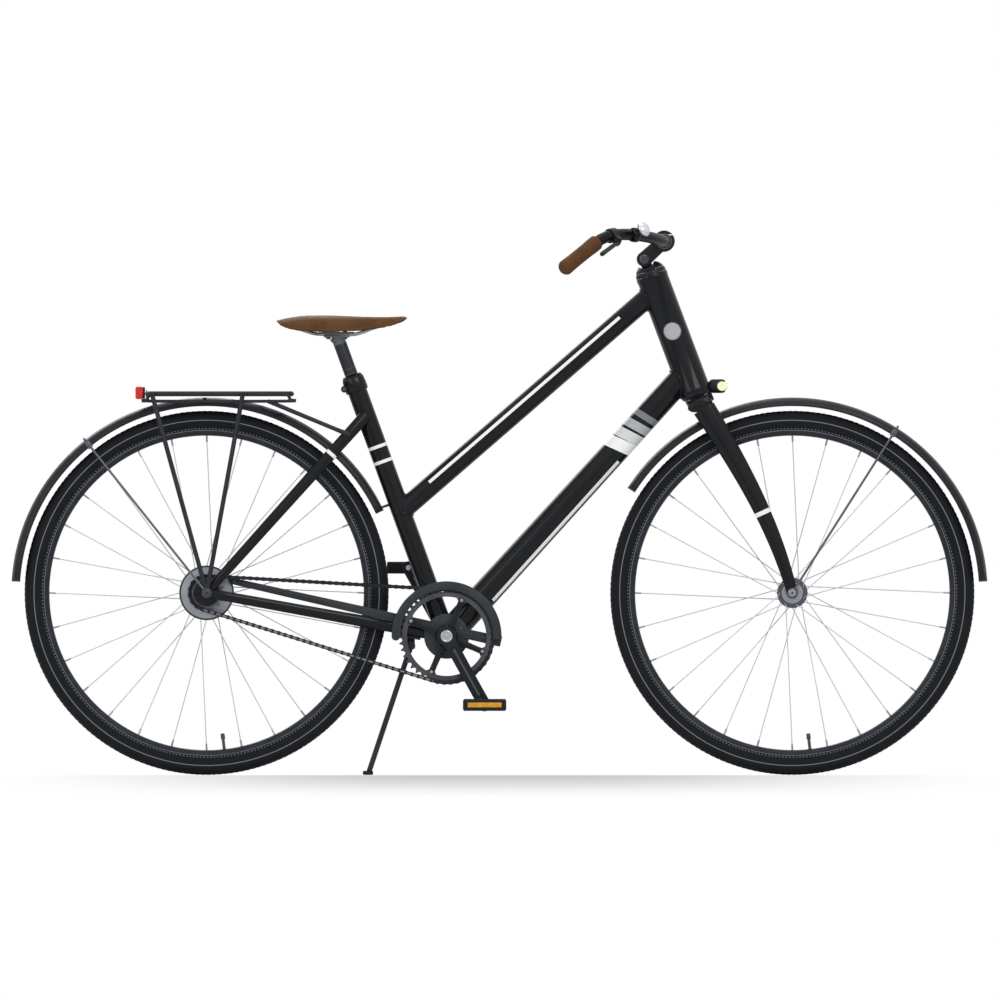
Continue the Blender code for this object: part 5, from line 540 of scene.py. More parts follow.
top_line = pinstripe(pixel(429.0, 482.3), pixel(619.7, 317.3), LINE_HALF)
top_paint = drift("top_tube_paint", **PAINT, marks=[(top_line, WHITE)])
top_along = (TOP_END - TOP_START).normalized()
top_tube = rod(TOP_START, top_along, (TOP_END - TOP_START).length, TOP_RADIUS, 48)
settled(top_tube, "top_tube_shell", top_paint, "frame", "top_tube")

# Down tube: a long pinstripe near the bracket and four slanted bars that
# fade from white to grey towards the head.
down_along = (DOWN_END - BRACKET).normalized()
down_length = (DOWN_END - BRACKET).length
down_marks = [(pinstripe(pixel(492.9, 600.5), pixel(618.5, 461.5), LINE_HALF), WHITE)]
for x, y, slant, width, shade in ((620.2, 445.1, 0.455, 0.0119, WHITE),
                                  (628.8, 435.9, 0.516, 0.0099, (0.64, 0.66, 0.66)),
                                  (637.1, 426.5, 0.565, 0.0087, (0.4, 0.42, 0.43)),
                                  (645.5, 417.1, 0.629, 0.0063, (0.19, 0.2, 0.21))):
    down_marks.append((stripe(pixel(x, y), Vector((1.0, 0.0, -slant)), 0.04, width), shade))
down_paint = drift("down_tube_paint", **PAINT, marks=down_marks)
down_tube = turned(BRACKET, down_along, ((0.0, DOWN_RADII[0]), (down_length, DOWN_RADII[1])), 48)
settled(down_tube, "down_tube_shell", down_paint, "frame", "down_tube")


def weld(start, along, radius, seat, seat_along, seat_radius, bead=0.0026):
    """Rounded bead where a round tube runs into another, as the welder and the file leave it."""
    line = []
    for point in ellipse(start, *axes_of(along), 2.0 * radius, 2.0 * radius, 72):
        apart = point - seat
        across = along - seat_along * along.dot(seat_along)
        reach = apart - seat_along * apart.dot(seat_along)
        a, b = across.dot(across), across.dot(reach)
        c = reach.dot(reach) - seat_radius ** 2
        line.append(point + along * ((-b - sqrt(max(b * b - a * c, 0.0))) / a))
    return swept(line, (2.0 * bead, 2.0 * bead), 10, 1, closed=True)


SHELL_RADIUS = 0.0215
SHELL_HALF = 0.034
beads = joined(
    weld(TOP_START.lerp(TOP_END, 0.5), -top_along, TOP_RADIUS, BRACKET, SEAT_UP, SEAT_RADIUS),
    weld(TOP_START, top_along, TOP_RADIUS, HEAD_FOOT, HEAD_UP, HEAD_RADIUS),
    weld(BRACKET, down_along, DOWN_RADII[1] + 0.0002, HEAD_FOOT, HEAD_UP, HEAD_RADIUS, 0.0032),
    weld(BRACKET + down_along * 0.3, -down_along, DOWN_RADII[0] - 0.0005, BRACKET, ACROSS, SHELL_RADIUS,
         0.003))
settled(beads, "frame_welds", black_paint, "frame", sharp=60.0)

# Bottom bracket shell: a short tube across the frame, faced at both ends,
# with the bearing cartridge screwed into it.
shell = turned(off(BRACKET, -SHELL_HALF), ACROSS, (
    (0.0, 0.0181), (0.0, 0.0208), (0.0008, SHELL_RADIUS), (2.0 * SHELL_HALF - 0.0008, SHELL_RADIUS),
    (2.0 * SHELL_HALF, 0.0208), (2.0 * SHELL_HALF, 0.0181)), 48, closed=True)
settled(shell, "bracket_shell", black_paint, "frame", "bottom_bracket_shell")


def brushed(name, dark, light, rough, metal=1.0, centre=None, fine=700.0):
    """Turned metal: fine rings about an axle, or plain brushing without one."""
    made, spot, shader = new_finish(name, 0.2)
    cloud = spot.cloud(22.0)
    if centre is None:
        lines = spot.stretched(fine * 0.06, fine, fine * 0.06).noise(1.0, 2.0)
    else:
        place = radial(spot, centre)
        lines = place.node("ShaderNodeCombineXYZ", None, {"X": place * fine}).noise(1.0, 2.0)
    colour = (cloud * 0.5 + lines * 0.5).between(dark, light)
    return wired(made, shader, colour, rough[0] + (rough[1] - rough[0]) * lines, lines, 0.00002, 0.6, metal)


steel = brushed("bright_steel", (0.24, 0.25, 0.27), (0.34, 0.35, 0.37), (0.22, 0.38))
dark_steel = brushed("dark_steel", (0.06, 0.063, 0.07), (0.095, 0.1, 0.112), (0.28, 0.45), 0.9)


def repaint(node, material):
    """Gives a CAD node that stays a better finish."""
    for entry in frame["nodes"][node].material_slots:
        entry.material = material


repaint("bottom_bracket_cartridge", steel)
repaint("crank_axle", steel)

# Chain stays and seat stays: slim oval tubes, pinched to clear tyre and
# chain, brazed to flat dropouts that hold the rear axle.
STAY_END_Y = 0.0743
DROPOUT_FACE = 0.0678
AXLE_BORE = 0.0054
back = (REAR_AXLE - BRACKET).normalized()
stay_length = (REAR_AXLE - BRACKET).length
SEAT_STAY_TOP = BRACKET + SEAT_UP * 0.45
seat_stay_up = (SEAT_STAY_TOP - REAR_AXLE).normalized()
seat_stay_length = (SEAT_STAY_TOP - REAR_AXLE).length
band_middle = (pixel(322.0, 446.0) + pixel(335.0, 457.0)) / 2.0
stay_band = stripe(band_middle, ACROSS.cross(seat_stay_up), 0.03, 0.0034)
stay_paint = drift("seat_stay_paint", **PAINT, marks=[(stay_band, WHITE)])


def stay_path(side):
    """Places and sizes of a chain stay, from the shell to the dropout."""
    points, sizes = [], []
    for along, y, share in ((0.012, 0.0215, 1.0), (0.06, 0.0265, 1.0), (0.105, 0.03, 0.98),
                            (0.16, 0.0305, 0.95), (0.25, 0.047, 0.88), (0.35, 0.064, 0.84),
                            (stay_length - 0.045, STAY_END_Y, 0.8), (stay_length, STAY_END_Y, 0.79)):
        points.append(off(BRACKET + back * along, side * y))
        sizes.append((0.024 * share, 0.014 - 0.001 * along / stay_length))
    return points, sizes


def seat_stay_path(side):
    """Places and sizes of a seat stay, from the axle to the seat tube."""
    points, sizes = [], []
    for along, y in ((0.026, STAY_END_Y), (0.06, STAY_END_Y), (0.2, 0.059), (0.33, 0.0405),
                     (0.395, 0.0345), (seat_stay_length, 0.02)):
        share = along / seat_stay_length
        points.append(off(REAR_AXLE + seat_stay_up * along, side * y))
        sizes.append((0.018 + 0.006 * share, 0.013 + 0.001 * share))
    return points, sizes


for side, hand in SIDES:
    stay = swept(*stay_path(side), 20, 5)
    settled(stay, f"chain_stay_tube_{hand}", black_paint, "frame", f"chain_stay_{hand}", sharp=50.0)
    upper = swept(*seat_stay_path(side), 20, 5)
    settled(upper, f"seat_stay_tube_{hand}", stay_paint, "frame", f"seat_stay_{hand}", sharp=50.0)
    ear = disc(REAR_AXLE, 0.0256, side * DROPOUT_FACE, side * (DROPOUT_FACE + 0.005), 48)
    boss = turned(off(REAR_AXLE, side * DROPOUT_FACE), ACROSS * side, (
        (0.0, 0.0125), (0.01, 0.0122), (0.0128, 0.0105), (0.013, 0.009)), 40)
    neck = swept([off(REAR_AXLE + seat_stay_up * 0.012, side * STAY_END_Y),
                  off(REAR_AXLE + seat_stay_up * 0.034, side * STAY_END_Y)], (0.018, 0.013), 20, 1)
    dropout = carve(ear, boss, operation='UNION')
    carve(dropout, neck, operation='UNION')
    carve(dropout, disc(REAR_AXLE, AXLE_BORE, side * 0.05, side * 0.09, 32))
    settled(dropout, f"dropout_{hand}", black_paint, "frame", bevel=0.0007)

bridge_spot = REAR_AXLE + seat_stay_up * 0.3935
bridge = disc(bridge_spot, 0.0065, -0.033, 0.033, 24)
settled(bridge, "stay_bridge", black_paint, "frame")

# Seat collar: a cast clamp ring over the slotted top of the seat tube,
# pinched by one bolt behind the post.
COLLAR_BASE = SEAT_TOP - SEAT_UP * 0.0143
collar = turned(COLLAR_BASE, SEAT_UP, (
    (0.0, 0.0187), (0.0, 0.0206), (0.0008, 0.0214), (0.004, 0.0222), (0.014, 0.0222),
    (0.025, 0.0212), (0.03, 0.0196), (0.0332, 0.0172), (0.034, 0.015), (0.0338, 0.0132)), 48, closed=True)
bolt_spot = COLLAR_BASE + SEAT_UP * 0.0128 - SEAT_FORWARD * 0.0222
lug = barrel(off(bolt_spot, -0.011), ACROSS, 0.022, 0.0065, 0.0007, 0.0007, 32)
carve(collar, lug, operation='UNION')
slit_spot = COLLAR_BASE - SEAT_FORWARD * 0.024
slit = swept([slit_spot - SEAT_UP * 0.004, slit_spot + SEAT_UP * 0.024], (0.02, 0.0016), 4, 1)
carve(collar, slit)
settled(collar, "seat_clamp_ring", black_paint, "frame", "seat_collar", bevel=0.0004)
bolt = turned(off(bolt_spot, -0.014), ACROSS, (
    (0.0, 0.0022), (0.0, 0.004), (0.0004, 0.0043), (0.003, 0.0043), (0.003, 0.0024), (0.026, 0.0024)), 24)
socket = disc(bolt_spot, 0.0021, -0.0142, -0.012, 6)
settled(carve(bolt, socket), "seat_clamp_bolt", dark_steel, "frame")

# Headset: black anodised cups pressed into both ends of the head tube; the
# upper one is the foot of a smooth dome that the stem's post finishes.
cup_finish = drift("headset_black", (0.012, 0.013, 0.016), (0.022, 0.024, 0.029), (0.32, 0.44), 0.3)
DOME_HEIGHT = 0.027


def dome(low, high, steps):
    """Stations of the head's dome between two heights."""
    heights = [low + (high - low) * step / steps for step in range(steps + 1)]
    return [(height, HEAD_RADIUS * sqrt(1.0 - (height / DOME_HEIGHT) ** 2)) for height in heights]


lower_cup = turned(HEAD_FOOT, -HEAD_UP, (
    (0.0, 0.015), (0.0, 0.0299), (0.003, 0.0299), (0.0042, 0.0292), (0.005, 0.0286), (0.0058, 0.0284),
    (0.0085, 0.0255), (0.0085, 0.015)), 64, closed=True)
settled(lower_cup, "lower_cup", cup_finish, "frame", "headset_lower")
upper_cup = turned(HEAD_TOP, HEAD_UP, [(0.0, 0.015), *dome(0.0003, 0.0088, 6), (0.0088, 0.015)], 64,
                   closed=True)
settled(upper_cup, "upper_cup", cup_finish, "frame", "headset_upper")

# Fork: an oval crown on the steerer, and two tapered blades that curve
# forward to the front axle. One white band is painted round each blade.
CROWN_CENTRE = HEAD_FOOT - HEAD_UP * 0.024
FORK_FACE = 0.0503
BLADE_TOP_Y = 0.0385
BLADE_TOP, BLADE_FOOT = (0.0445, 0.0235), (0.0215, 0.008)
fork_band_middle = (pixel(753.0, 516.0) + pixel(765.0, 510.5)) / 2.0 + unit(radians(-66.0)) * 0.002
fork_band = stripe(fork_band_middle, pixel(765.0, 510.5) - pixel(753.0, 516.0), 0.04, 0.0042)
fork_paint = drift("fork_paint", **PAINT, marks=[(fork_band, WHITE)])

crown_ends = ((-0.0505, 0.55), (-0.0498, 0.74), (-0.048, 0.87), (-0.0445, 0.97), (-0.04, 1.0))
crown = shape([ellipse(off(CROWN_CENTRE, y), HEAD_FORWARD, HEAD_UP, 0.05 * share, 0.025 * share, 40)
               for y, share in (*crown_ends, *((-y, share) for y, share in reversed(crown_ends)))])
race = turned(CROWN_CENTRE, HEAD_UP, (
    (0.0, 0.0236), (0.008, 0.024), (0.012, 0.0252), (0.015, 0.0252), (0.0153, 0.0236), (0.0153, 0.0143),
    (0.273, 0.0143)), 48)
settled(joined(crown, race), "fork_crown_casting", fork_paint, "steering", "fork_crown", sharp=50.0)


def bend(start, first, second, end, steps):
    """Points along a cubic curve."""
    points = []
    for step in range(steps + 1):
        t = step / steps
        u = 1.0 - t
        points.append(start * u ** 3 + first * (3 * u * u * t) + second * (3 * u * t * t) + end * t ** 3)
    return points


for side, hand in SIDES:
    root = HEAD_FOOT - HEAD_UP * 0.012
    curve = bend(root, root + unit(radians(-58.0)) * 0.145,
                 FRONT_AXLE - unit(radians(-75.0)) * 0.145, FRONT_AXLE, 40)[2:]
    points, sizes = [], []
    for index, point in enumerate(curve):
        share = index / (len(curve) - 1)
        y = BLADE_TOP_Y + (FORK_FACE + 0.004 - BLADE_TOP_Y) * share ** 0.8
        points.append(off(point, side * y))
        sizes.append(tuple(top + (foot - top) * share for top, foot in zip(BLADE_TOP, BLADE_FOOT)))
    blade = swept(points, sizes, 28, 1)
    eye = disc(FRONT_AXLE, 0.0108, side * FORK_FACE, side * (FORK_FACE + 0.008), 40)
    carve(blade, eye, operation='UNION')
    carve(blade, disc(FRONT_AXLE, 0.06, side * 0.03, side * FORK_FACE, 40),
          disc(FRONT_AXLE, AXLE_BORE, side * 0.04, side * 0.07, 32))
    settled(blade, f"fork_leg_{hand}", fork_paint, "steering", f"fork_blade_{hand}", sharp=45.0)

# Wheels: 28 crossed steel spokes each, laced between drilled hub flanges and
# a black anodised rim, with nipples, a valve and a light city tyre.
SPOKES = 28
SPOKE_RADIUS = 0.001
SPOKE_OFFSET = 0.0134
RIM_INNER = 0.3005
RIM_OUTER = 0.3115
TYRE_OUTER = 0.348
TYRE_HALF = 0.0185


def grown(thing, name, inputs, build, material):
    """Runs a Geometry Nodes tree on a working object and keeps the plain mesh."""
    tree = bpy.data.node_groups.new(name, 'GeometryNodeTree')
    tree.interface.new_socket("Geometry", in_out='INPUT', socket_type='NodeSocketGeometry')
    tree.interface.new_socket("Geometry", in_out='OUTPUT', socket_type='NodeSocketGeometry')
    kinds = {int: 'NodeSocketInt', float: 'NodeSocketFloat', bpy.types.Object: 'NodeSocketObject'}
    made = {label: tree.interface.new_socket(label, in_out='INPUT', socket_type=kinds[type(value)])
            for label, value in inputs.items()}
    entry = tree.nodes.new("NodeGroupInput")
    wires = {label: Wire(tree, entry.outputs[label]) for label in inputs}
    result = build(Wire(tree, entry.outputs["Geometry"]), wires)
    plain = result.node("GeometryNodeRealizeInstances", None, {0: result})
    result.node("GeometryNodeSetMaterial", None, {"Geometry": plain, "Material": material}).feed(
        tree.nodes.new("NodeGroupOutput").inputs[0])
    modifier = thing.modifiers.new(name, 'NODES')
    modifier.node_group = tree
    for label, value in inputs.items():
        modifier[made[label].identifier] = value
    return evaluated(thing)


def cloud_of(points, edges=()):
    """Working object that holds only points and lines."""
    data = bpy.data.meshes.new("work")
    data.from_pydata([tuple(point) for point in points], edges, [])
    thing = bpy.data.objects.new("work", data)
    scene.collection.objects.link(thing)
    return thing


def wires_along(start, wires):
    """Round wire along every line of the mesh."""
    line = start.node("GeometryNodeMeshToCurve", None, {"Mesh": start})
    ring = start.node("GeometryNodeCurvePrimitiveCircle", None,
                      {"Resolution": wires["Sides"], "Radius": wires["Wire radius"]})
    swept_wire = start.node("GeometryNodeCurveToMesh", None,
                            {"Curve": line, "Profile Curve": ring, "Fill Caps": True})
    return start.node("GeometryNodeSetShadeSmooth", None, {"Geometry": swept_wire, "Shade Smooth": True})


def wheel_profile(hub, profile, sides):
    """Ring about an axle from (radius, y) points."""
    outs = [unit(2.0 * pi * step / sides) for step in range(sides)]
    return shape([[hub + out * radius + ACROSS * y for radius, y in profile] for out in outs], closed=True)


def ticks(spot, hub, count):
    """Fine radial ticks about an axle, 0 to 1."""
    angle = spot.maths('ARCTAN2', spot.along(hub, (0, 0, 1)), spot.along(hub, (1, 0, 0)))
    return (angle * count).wave()


def tyre_finish(name, hub):
    """Matt black rubber with a fine reflective line and moulded ticks."""
    made, spot, shader = new_finish(name, 0.12)
    reach = radial(spot, hub)
    dust = spot.noise(18.0, 4.0).step(0.45, 0.75)
    colour = dust.between((0.008, 0.009, 0.0112), (0.0135, 0.0146, 0.0172))
    line = reach.step(0.329, 0.3293) * (1.0 - reach.step(0.3307, 0.331))
    colour = (line * 0.85).between(colour, (0.2, 0.21, 0.23))
    tick_ring = reach.step(0.3128, 0.313) * (1.0 - reach.step(0.315, 0.3152))
    tick = tick_ring * ticks(spot, hub, 300).step(0.45, 0.55)
    colour = (tick * 0.8).between(colour, (0.15, 0.16, 0.175))
    ribs = ticks(spot, hub, 720) * reach.step(0.334, 0.336) * (1.0 - reach.step(0.3435, 0.345))
    relief = ribs * 0.5 + tick * 0.6 + spot.noise(700.0, 2.0) * 0.12
    return wired(made, shader, colour, 0.7 + dust * 0.22 - line * 0.35, relief, 0.00035)


def rim_finish(name, hub):
    """Black anodised alloy, its flange edge turned bright."""
    made, spot, shader = new_finish(name, 0.16)
    reach = radial(spot, hub)
    edge = reach.step(0.3101, 0.3104)
    cloud = spot.cloud(30.0)
    colour = (edge * 0.8).between(cloud.between((0.019, 0.022, 0.028), (0.027, 0.031, 0.039)),
                                  (0.24, 0.25, 0.27))
    lines = (reach * 9000.0).wave()
    return wired(made, shader, colour, 0.34 + 0.1 * lines, lines, 0.00002, 0.5, 0.35)


spoke_steel = brushed("spoke_steel", (0.52, 0.53, 0.56), (0.62, 0.63, 0.66), (0.28, 0.42), 0.1)
nipple_brass = brushed("nipple_nickel", (0.26, 0.27, 0.29), (0.36, 0.37, 0.39), (0.25, 0.4), 0.9)


def spoke_ends(hub, index, flange_radius):
    """Hole in the flange and nipple at the rim for one spoke."""
    side = -1.0 if (index // 2) % 2 == 0 else 1.0
    way = -1.0 if index % 2 == 0 else 1.0
    end_angle = index * 2.0 * pi / SPOKES
    hole = flange_radius - 0.0045
    reach = RIM_INNER + 0.001
    swing = acos(SPOKE_OFFSET / reach) - acos(SPOKE_OFFSET / hole)
    start = hub + unit(end_angle - way * swing) * hole + ACROSS * (side * (0.03 + 0.0017 * way))
    return start, hub + unit(end_angle) * reach + ACROSS * (side * 0.0025), side, way


def block_at(spots, length, width, height):
    """Small chamfered blocks; each spot is (place, outward, along)."""
    mesh = bmesh.new()
    for place, outward, along in spots:
        square = outward.cross(along).normalized()
        skin(mesh, [[place + outward * (lift * height) + along * (one * length * shrink)
                     + square * (two * width * shrink)
                     for one, two in ((-0.5, -0.5), (0.5, -0.5), (0.5, 0.5), (-0.5, 0.5))]
                    for lift, shrink in ((-0.5, 1.0), (0.3, 1.0), (0.5, 0.8))])
    return added(mesh)


def tread_around(start, wires):
    """Copies one tread block round the axle, in rows across the tyre."""
    count = wires["Blocks"]
    points = start.node("GeometryNodePoints", None, {"Count": count})
    index = start.node("GeometryNodeInputIndex")
    row = start.maths('FLOORED_MODULO', index, 3.0)
    angle = start.maths('FLOOR', index / 3.0) * (6.0 * pi) / count + row * (2.0 * pi) / count
    lean = (row - 1.0) * 0.62
    radius = wires["Centre radius"] + wires["Section radius"] * start.maths('COSINE', lean)
    y = wires["Section half width"] * start.maths('SINE', lean)
    place = start.node("ShaderNodeCombineXYZ", None, {
        "X": radius * start.maths('COSINE', angle), "Y": y, "Z": radius * start.maths('SINE', angle)})
    placed = start.node("GeometryNodeSetPosition", None, {"Geometry": points, "Position": place})
    turn = start.node("ShaderNodeCombineXYZ", None, {"X": 0.0, "Y": 0.0 - angle, "Z": 0.0})
    tilt = start.node("ShaderNodeCombineXYZ", None, {"X": 0.0, "Y": 0.0, "Z": lean})
    first = start.node("FunctionNodeEulerToRotation", None, {0: turn})
    second = start.node("FunctionNodeEulerToRotation", None, {0: tilt})
    turned_block = start.node("FunctionNodeRotateRotation", {"rotation_space": 'LOCAL'},
                              {0: first, 1: second})
    return start.node("GeometryNodeInstanceOnPoints", None,
                      {"Points": placed, "Instance": start, "Rotation": turned_block})


def mirrored(half):
    """Both halves of a profile that is the same on the right and on the left."""
    return [*half, *((radius, -y) for radius, y in reversed(half))]


def make_wheel(name, body, hub, flange_radius, hub_profile, hub_material):
    """Tyre, rim, spokes, nipples, valve and hub shell of one wheel."""
    middle = 0.5 * (RIM_OUTER + TYRE_OUTER)
    rise = TYRE_OUTER - middle
    profile = [(RIM_OUTER - 0.0055, -0.0093), (RIM_OUTER, -0.0093), (RIM_OUTER + 0.0012, -0.0106)]
    for step in range(25):
        turn = radians(-72.0 + 144.0 * step / 24)
        profile.append((middle + (rise - 0.0005) * abs(cos(turn)) ** 0.9,
                        (TYRE_HALF - 0.0004) * sin(turn) / sin(radians(72.0))))
    profile += [(RIM_OUTER + 0.0012, 0.0106), (RIM_OUTER, 0.0093), (RIM_OUTER - 0.0055, 0.0093)]
    tyre = wheel_profile(hub, profile, 192)
    rubber = tyre_finish(f"{name}_tyre_rubber", hub)
    settled(tyre, f"{name}_tyre_casing", rubber, body, f"{name}_tyre", sharp=60.0)
    knob = block_at([(Vector(), FORWARD, UPWARD)], 0.0088, 0.0054, 0.0014)
    tread = grown(knob, f"{name}_tread_pattern", {
        "Blocks": 600, "Centre radius": middle, "Section radius": rise - 0.0007,
        "Section half width": TYRE_HALF * 1.02}, tread_around, rubber)
    for vertex in tread.data.vertices:
        vertex.co += hub
    settled(tread, f"{name}_tread", rubber, body, sharp=30.0)
    rim_half = 0.0118
    well = RIM_OUTER - 0.0058
    rim = wheel_profile(hub, mirrored((
        (RIM_INNER, 0.0048), (RIM_INNER + 0.0012, 0.0078), (RIM_INNER + 0.0036, rim_half - 0.0006),
        (RIM_INNER + 0.005, rim_half), (RIM_OUTER - 0.0006, rim_half), (RIM_OUTER, rim_half - 0.0006),
        (RIM_OUTER, rim_half - 0.0018), (well, rim_half - 0.0022))) + [(RIM_INNER - 0.0002, 0.0)], 192)
    settled(rim, f"{name}_rim_hoop", rim_finish(f"{name}_rim_alloy", hub), body, f"{name}_rim", sharp=32.0)
    places, lines, nipples = [], [], []
    for index in range(SPOKES):
        start, end, side, way = spoke_ends(hub, index, flange_radius)
        bend_in = start - ACROSS * (side * way * 0.0022)
        head = start - ACROSS * (way * side * 0.0042)
        along = (end - start).normalized()
        count = len(places)
        places += [head, bend_in, start + along * 0.0022, end]
        lines += [(count, count + 1), (count + 1, count + 2), (count + 2, count + 3)]
        nipples.append((end - along * 0.013, end - along * 0.0005))
    spokes = grown(cloud_of(places, lines), f"{name}_spoke_lacing",
                   {"Sides": 8, "Wire radius": SPOKE_RADIUS}, wires_along, spoke_steel)
    settled(spokes, f"{name}_spokes", spoke_steel, body, sharp=50.0)
    places = [point for pair in nipples for point in pair]
    lines = [(2 * index, 2 * index + 1) for index in range(SPOKES)]
    nipple_wires = grown(cloud_of(places, lines), f"{name}_nipple_row",
                         {"Sides": 6, "Wire radius": 0.0019}, wires_along, nipple_brass)
    settled(nipple_wires, f"{name}_nipples", nipple_brass, body, sharp=40.0)
    valve_out = unit(radians(-90.0 + 180.0 / SPOKES))
    valve = turned(hub + valve_out * (RIM_INNER + 0.001), -valve_out, (
        (0.0, 0.005), (0.0016, 0.005), (0.0022, 0.003), (0.02, 0.003), (0.0204, 0.0042),
        (0.03, 0.004), (0.0312, 0.003)), 20)
    settled(valve, f"{name}_valve", dark_steel, body)
    shell = wheel_profile(hub, hub_profile, 96)
    settled(shell, f"{name}_hub_shell", hub_material, body, f"{name}_hub", sharp=30.0)


def hub_finish(name, hub, zones, rough, metal):
    """Turned alloy in rings of different tone; zones are (radius, dark, light)."""
    made, spot, shader = new_finish(name, 0.4)
    reach = radial(spot, hub)
    cloud = spot.cloud(40.0)
    colour = cloud.between(*zones[0][1:])
    for radius, dark, light in zones[1:]:
        colour = reach.step(radius - 0.0002, radius + 0.0002).between(colour, cloud.between(dark, light))
    rings = (reach * 7000.0).wave()
    return wired(made, shader, colour, rough + 0.12 * rings, rings, 0.00002, 0.5, metal)


FRONT_FLANGE, REAR_FLANGE = 0.0293, 0.0524
front_half = ((AXLE_BORE, 0.041), (0.0166, 0.041), (0.019, 0.0402), (0.0204, 0.0385), (0.0206, 0.0345),
              (0.0212, 0.0325), (0.028, 0.0314), (0.0291, 0.0311), (FRONT_FLANGE, 0.0304),
              (FRONT_FLANGE, 0.0292), (0.029, 0.0285), (0.0215, 0.0262), (0.0206, 0.024), (0.02, 0.018),
              (0.0196, 0.008))
front_alloy = hub_finish("front_hub_alloy", FRONT_AXLE, (
    (0.0, (0.26, 0.27, 0.31), (0.31, 0.32, 0.36)), (0.0207, (0.066, 0.071, 0.088), (0.082, 0.088, 0.106))),
    0.3, 0.25)
make_wheel("front", "front_wheel", FRONT_AXLE, FRONT_FLANGE, mirrored(front_half), front_alloy)

rear_profile = [
    (AXLE_BORE, 0.0587), (0.0235, 0.0587), (0.026, 0.058), (0.029, 0.056), (0.03, 0.0535), (0.0308, 0.04),
    (0.0318, 0.0367), (0.048, 0.0334), (0.0515, 0.033), (REAR_FLANGE, 0.0322), (REAR_FLANGE, 0.029),
    (0.0515, 0.0284), (0.042, 0.0262), (0.04, 0.025), (0.0395, 0.01), (0.0395, -0.01), (0.04, -0.025),
    (0.042, -0.0262), (0.0515, -0.0284), (REAR_FLANGE, -0.029), (REAR_FLANGE, -0.0322), (0.0515, -0.033),
    (0.044, -0.0338), (0.029, -0.0358), (0.027, -0.036), (AXLE_BORE, -0.036)]
rear_alloy = hub_finish("rear_hub_alloy", REAR_AXLE, (
    (0.0, (0.29, 0.305, 0.35), (0.345, 0.36, 0.405)),
    (0.0488, (0.026, 0.028, 0.034), (0.036, 0.039, 0.046))), 0.36, 0.2)
make_wheel("rear", "rear_wheel", REAR_AXLE, REAR_FLANGE, rear_profile, rear_alloy)

# Axles: threaded steel with a cone locknut inside each dropout, and outside
# it a hexagon nut with a domed end.


def axle_set(name, body, hub, face, nut_face, finish):
    """Threaded axle, locknuts and nuts of one wheel."""
    low = -(nut_face + 0.009)
    threads = [(-2.0 * low * step / 120, 0.0048 if step % 2 else 0.0045) for step in range(121)]
    parts = [turned(off(hub, low), ACROSS, threads, 20)]
    for side in (-1, 1):
        parts += [turned(off(hub, side * y), ACROSS * side, stations, sides) for y, stations, sides in (
            (face - 0.0085, ((0.0, 0.007), (0.0006, 0.009), (0.0079, 0.009), (0.0082, 0.0084)), 24),
            (nut_face, ((0.0, 0.0072), (0.0002, 0.0078), (0.0046, 0.0085), (0.0055, 0.0078)), 6),
            (nut_face + 0.005, ((0.0, 0.007), (0.001, 0.0066), (0.003, 0.004), (0.004, 0.0018)), 24))]
    settled(joined(*parts), f"{name}_axle_set", finish, body, f"{name}_axle", sharp=30.0)


RACK_EYE_Y = 0.0836
REAR_EYE_Y = 0.0888
FRONT_EYE_Y = 0.061
axle_set("rear", "frame", REAR_AXLE, 0.0675, REAR_EYE_Y + 0.0027, dark_steel)
axle_set("front", "steering", FRONT_AXLE, 0.05, FRONT_EYE_Y + 0.0027, steel)

# Fenders: rolled alloy sheet, arched over the tyres and painted dark grey,
# with a hemmed edge, rounded ends, bolted lugs and wire stays.
fender_paint = drift("fender_paint", (0.015, 0.0166, 0.02), (0.022, 0.0238, 0.028), (0.3, 0.42), 0.15)
FENDER_MIDDLE = 0.3655
FENDER_HALF = 0.0235
FENDER_RISE = 0.008
FENDER_EASE = 0.003
FENDER_LOW_END = radians(3.2)
REAR_FENDER_START = radians(24.8)


def fender_ring(hub, angle, share):
    """Cross-section of a fender: an arch with a small hem at both edges."""
    outer, inner = [], []
    for step in range(25):
        t = -1.0 + 2.0 * step / 24
        lift = -FENDER_RISE + 2.0 * FENDER_RISE * max(1.0 - abs(t) ** 1.8, 0.0) ** 0.385
        outer.append((FENDER_MIDDLE + lift, t * FENDER_HALF * share))
        drop = 0.0014 + (0.0 if abs(t) < 0.97 else -0.0002)
        inner.append((FENDER_MIDDLE + max(lift - drop, 0.001 - FENDER_RISE),
                      t * (FENDER_HALF * share - 0.0013)))
    profile = [(FENDER_MIDDLE - FENDER_RISE - 0.0006, -(FENDER_HALF - 0.0002) * share)] + outer
    profile += [(FENDER_MIDDLE - FENDER_RISE - 0.0006, (FENDER_HALF - 0.0002) * share)] + inner[::-1]
    out = unit(angle)
    return [hub + out * radius + ACROSS * y for radius, y in profile]


def fender(hub, start, end):
    """Fender from one rounded end to the other."""
    tip = 0.016
    length = (end - start - 2.0 * FENDER_EASE) * FENDER_MIDDLE
    stations = [(tip * (1.0 - cos(pi / 2.0 * step / 8)), sin(pi / 2.0 * step / 8) * 0.75 + 0.25)
                for step in range(9)]
    stations[0] = (0.0, 0.22)
    middle = [(tip + (length - 2.0 * tip) * step / 110, 1.0) for step in range(1, 110)]
    rows = stations + middle + [(length - along, share) for along, share in reversed(stations)]
    return shape([fender_ring(hub, start + FENDER_EASE + along / FENDER_MIDDLE, share)
                  for along, share in rows])


def domed_bolt(place, facing, radius=0.0036, high=0.0026):
    """Round-headed bolt with a hexagon socket."""
    head = turned(place, facing, ((0.0, radius), (0.3 * high, radius), (0.75 * high, 0.82 * radius),
                                  (high, 0.45 * radius)), 20)
    return carve(head, rod(place + facing * (0.45 * high), facing, high, 0.42 * radius, 6))


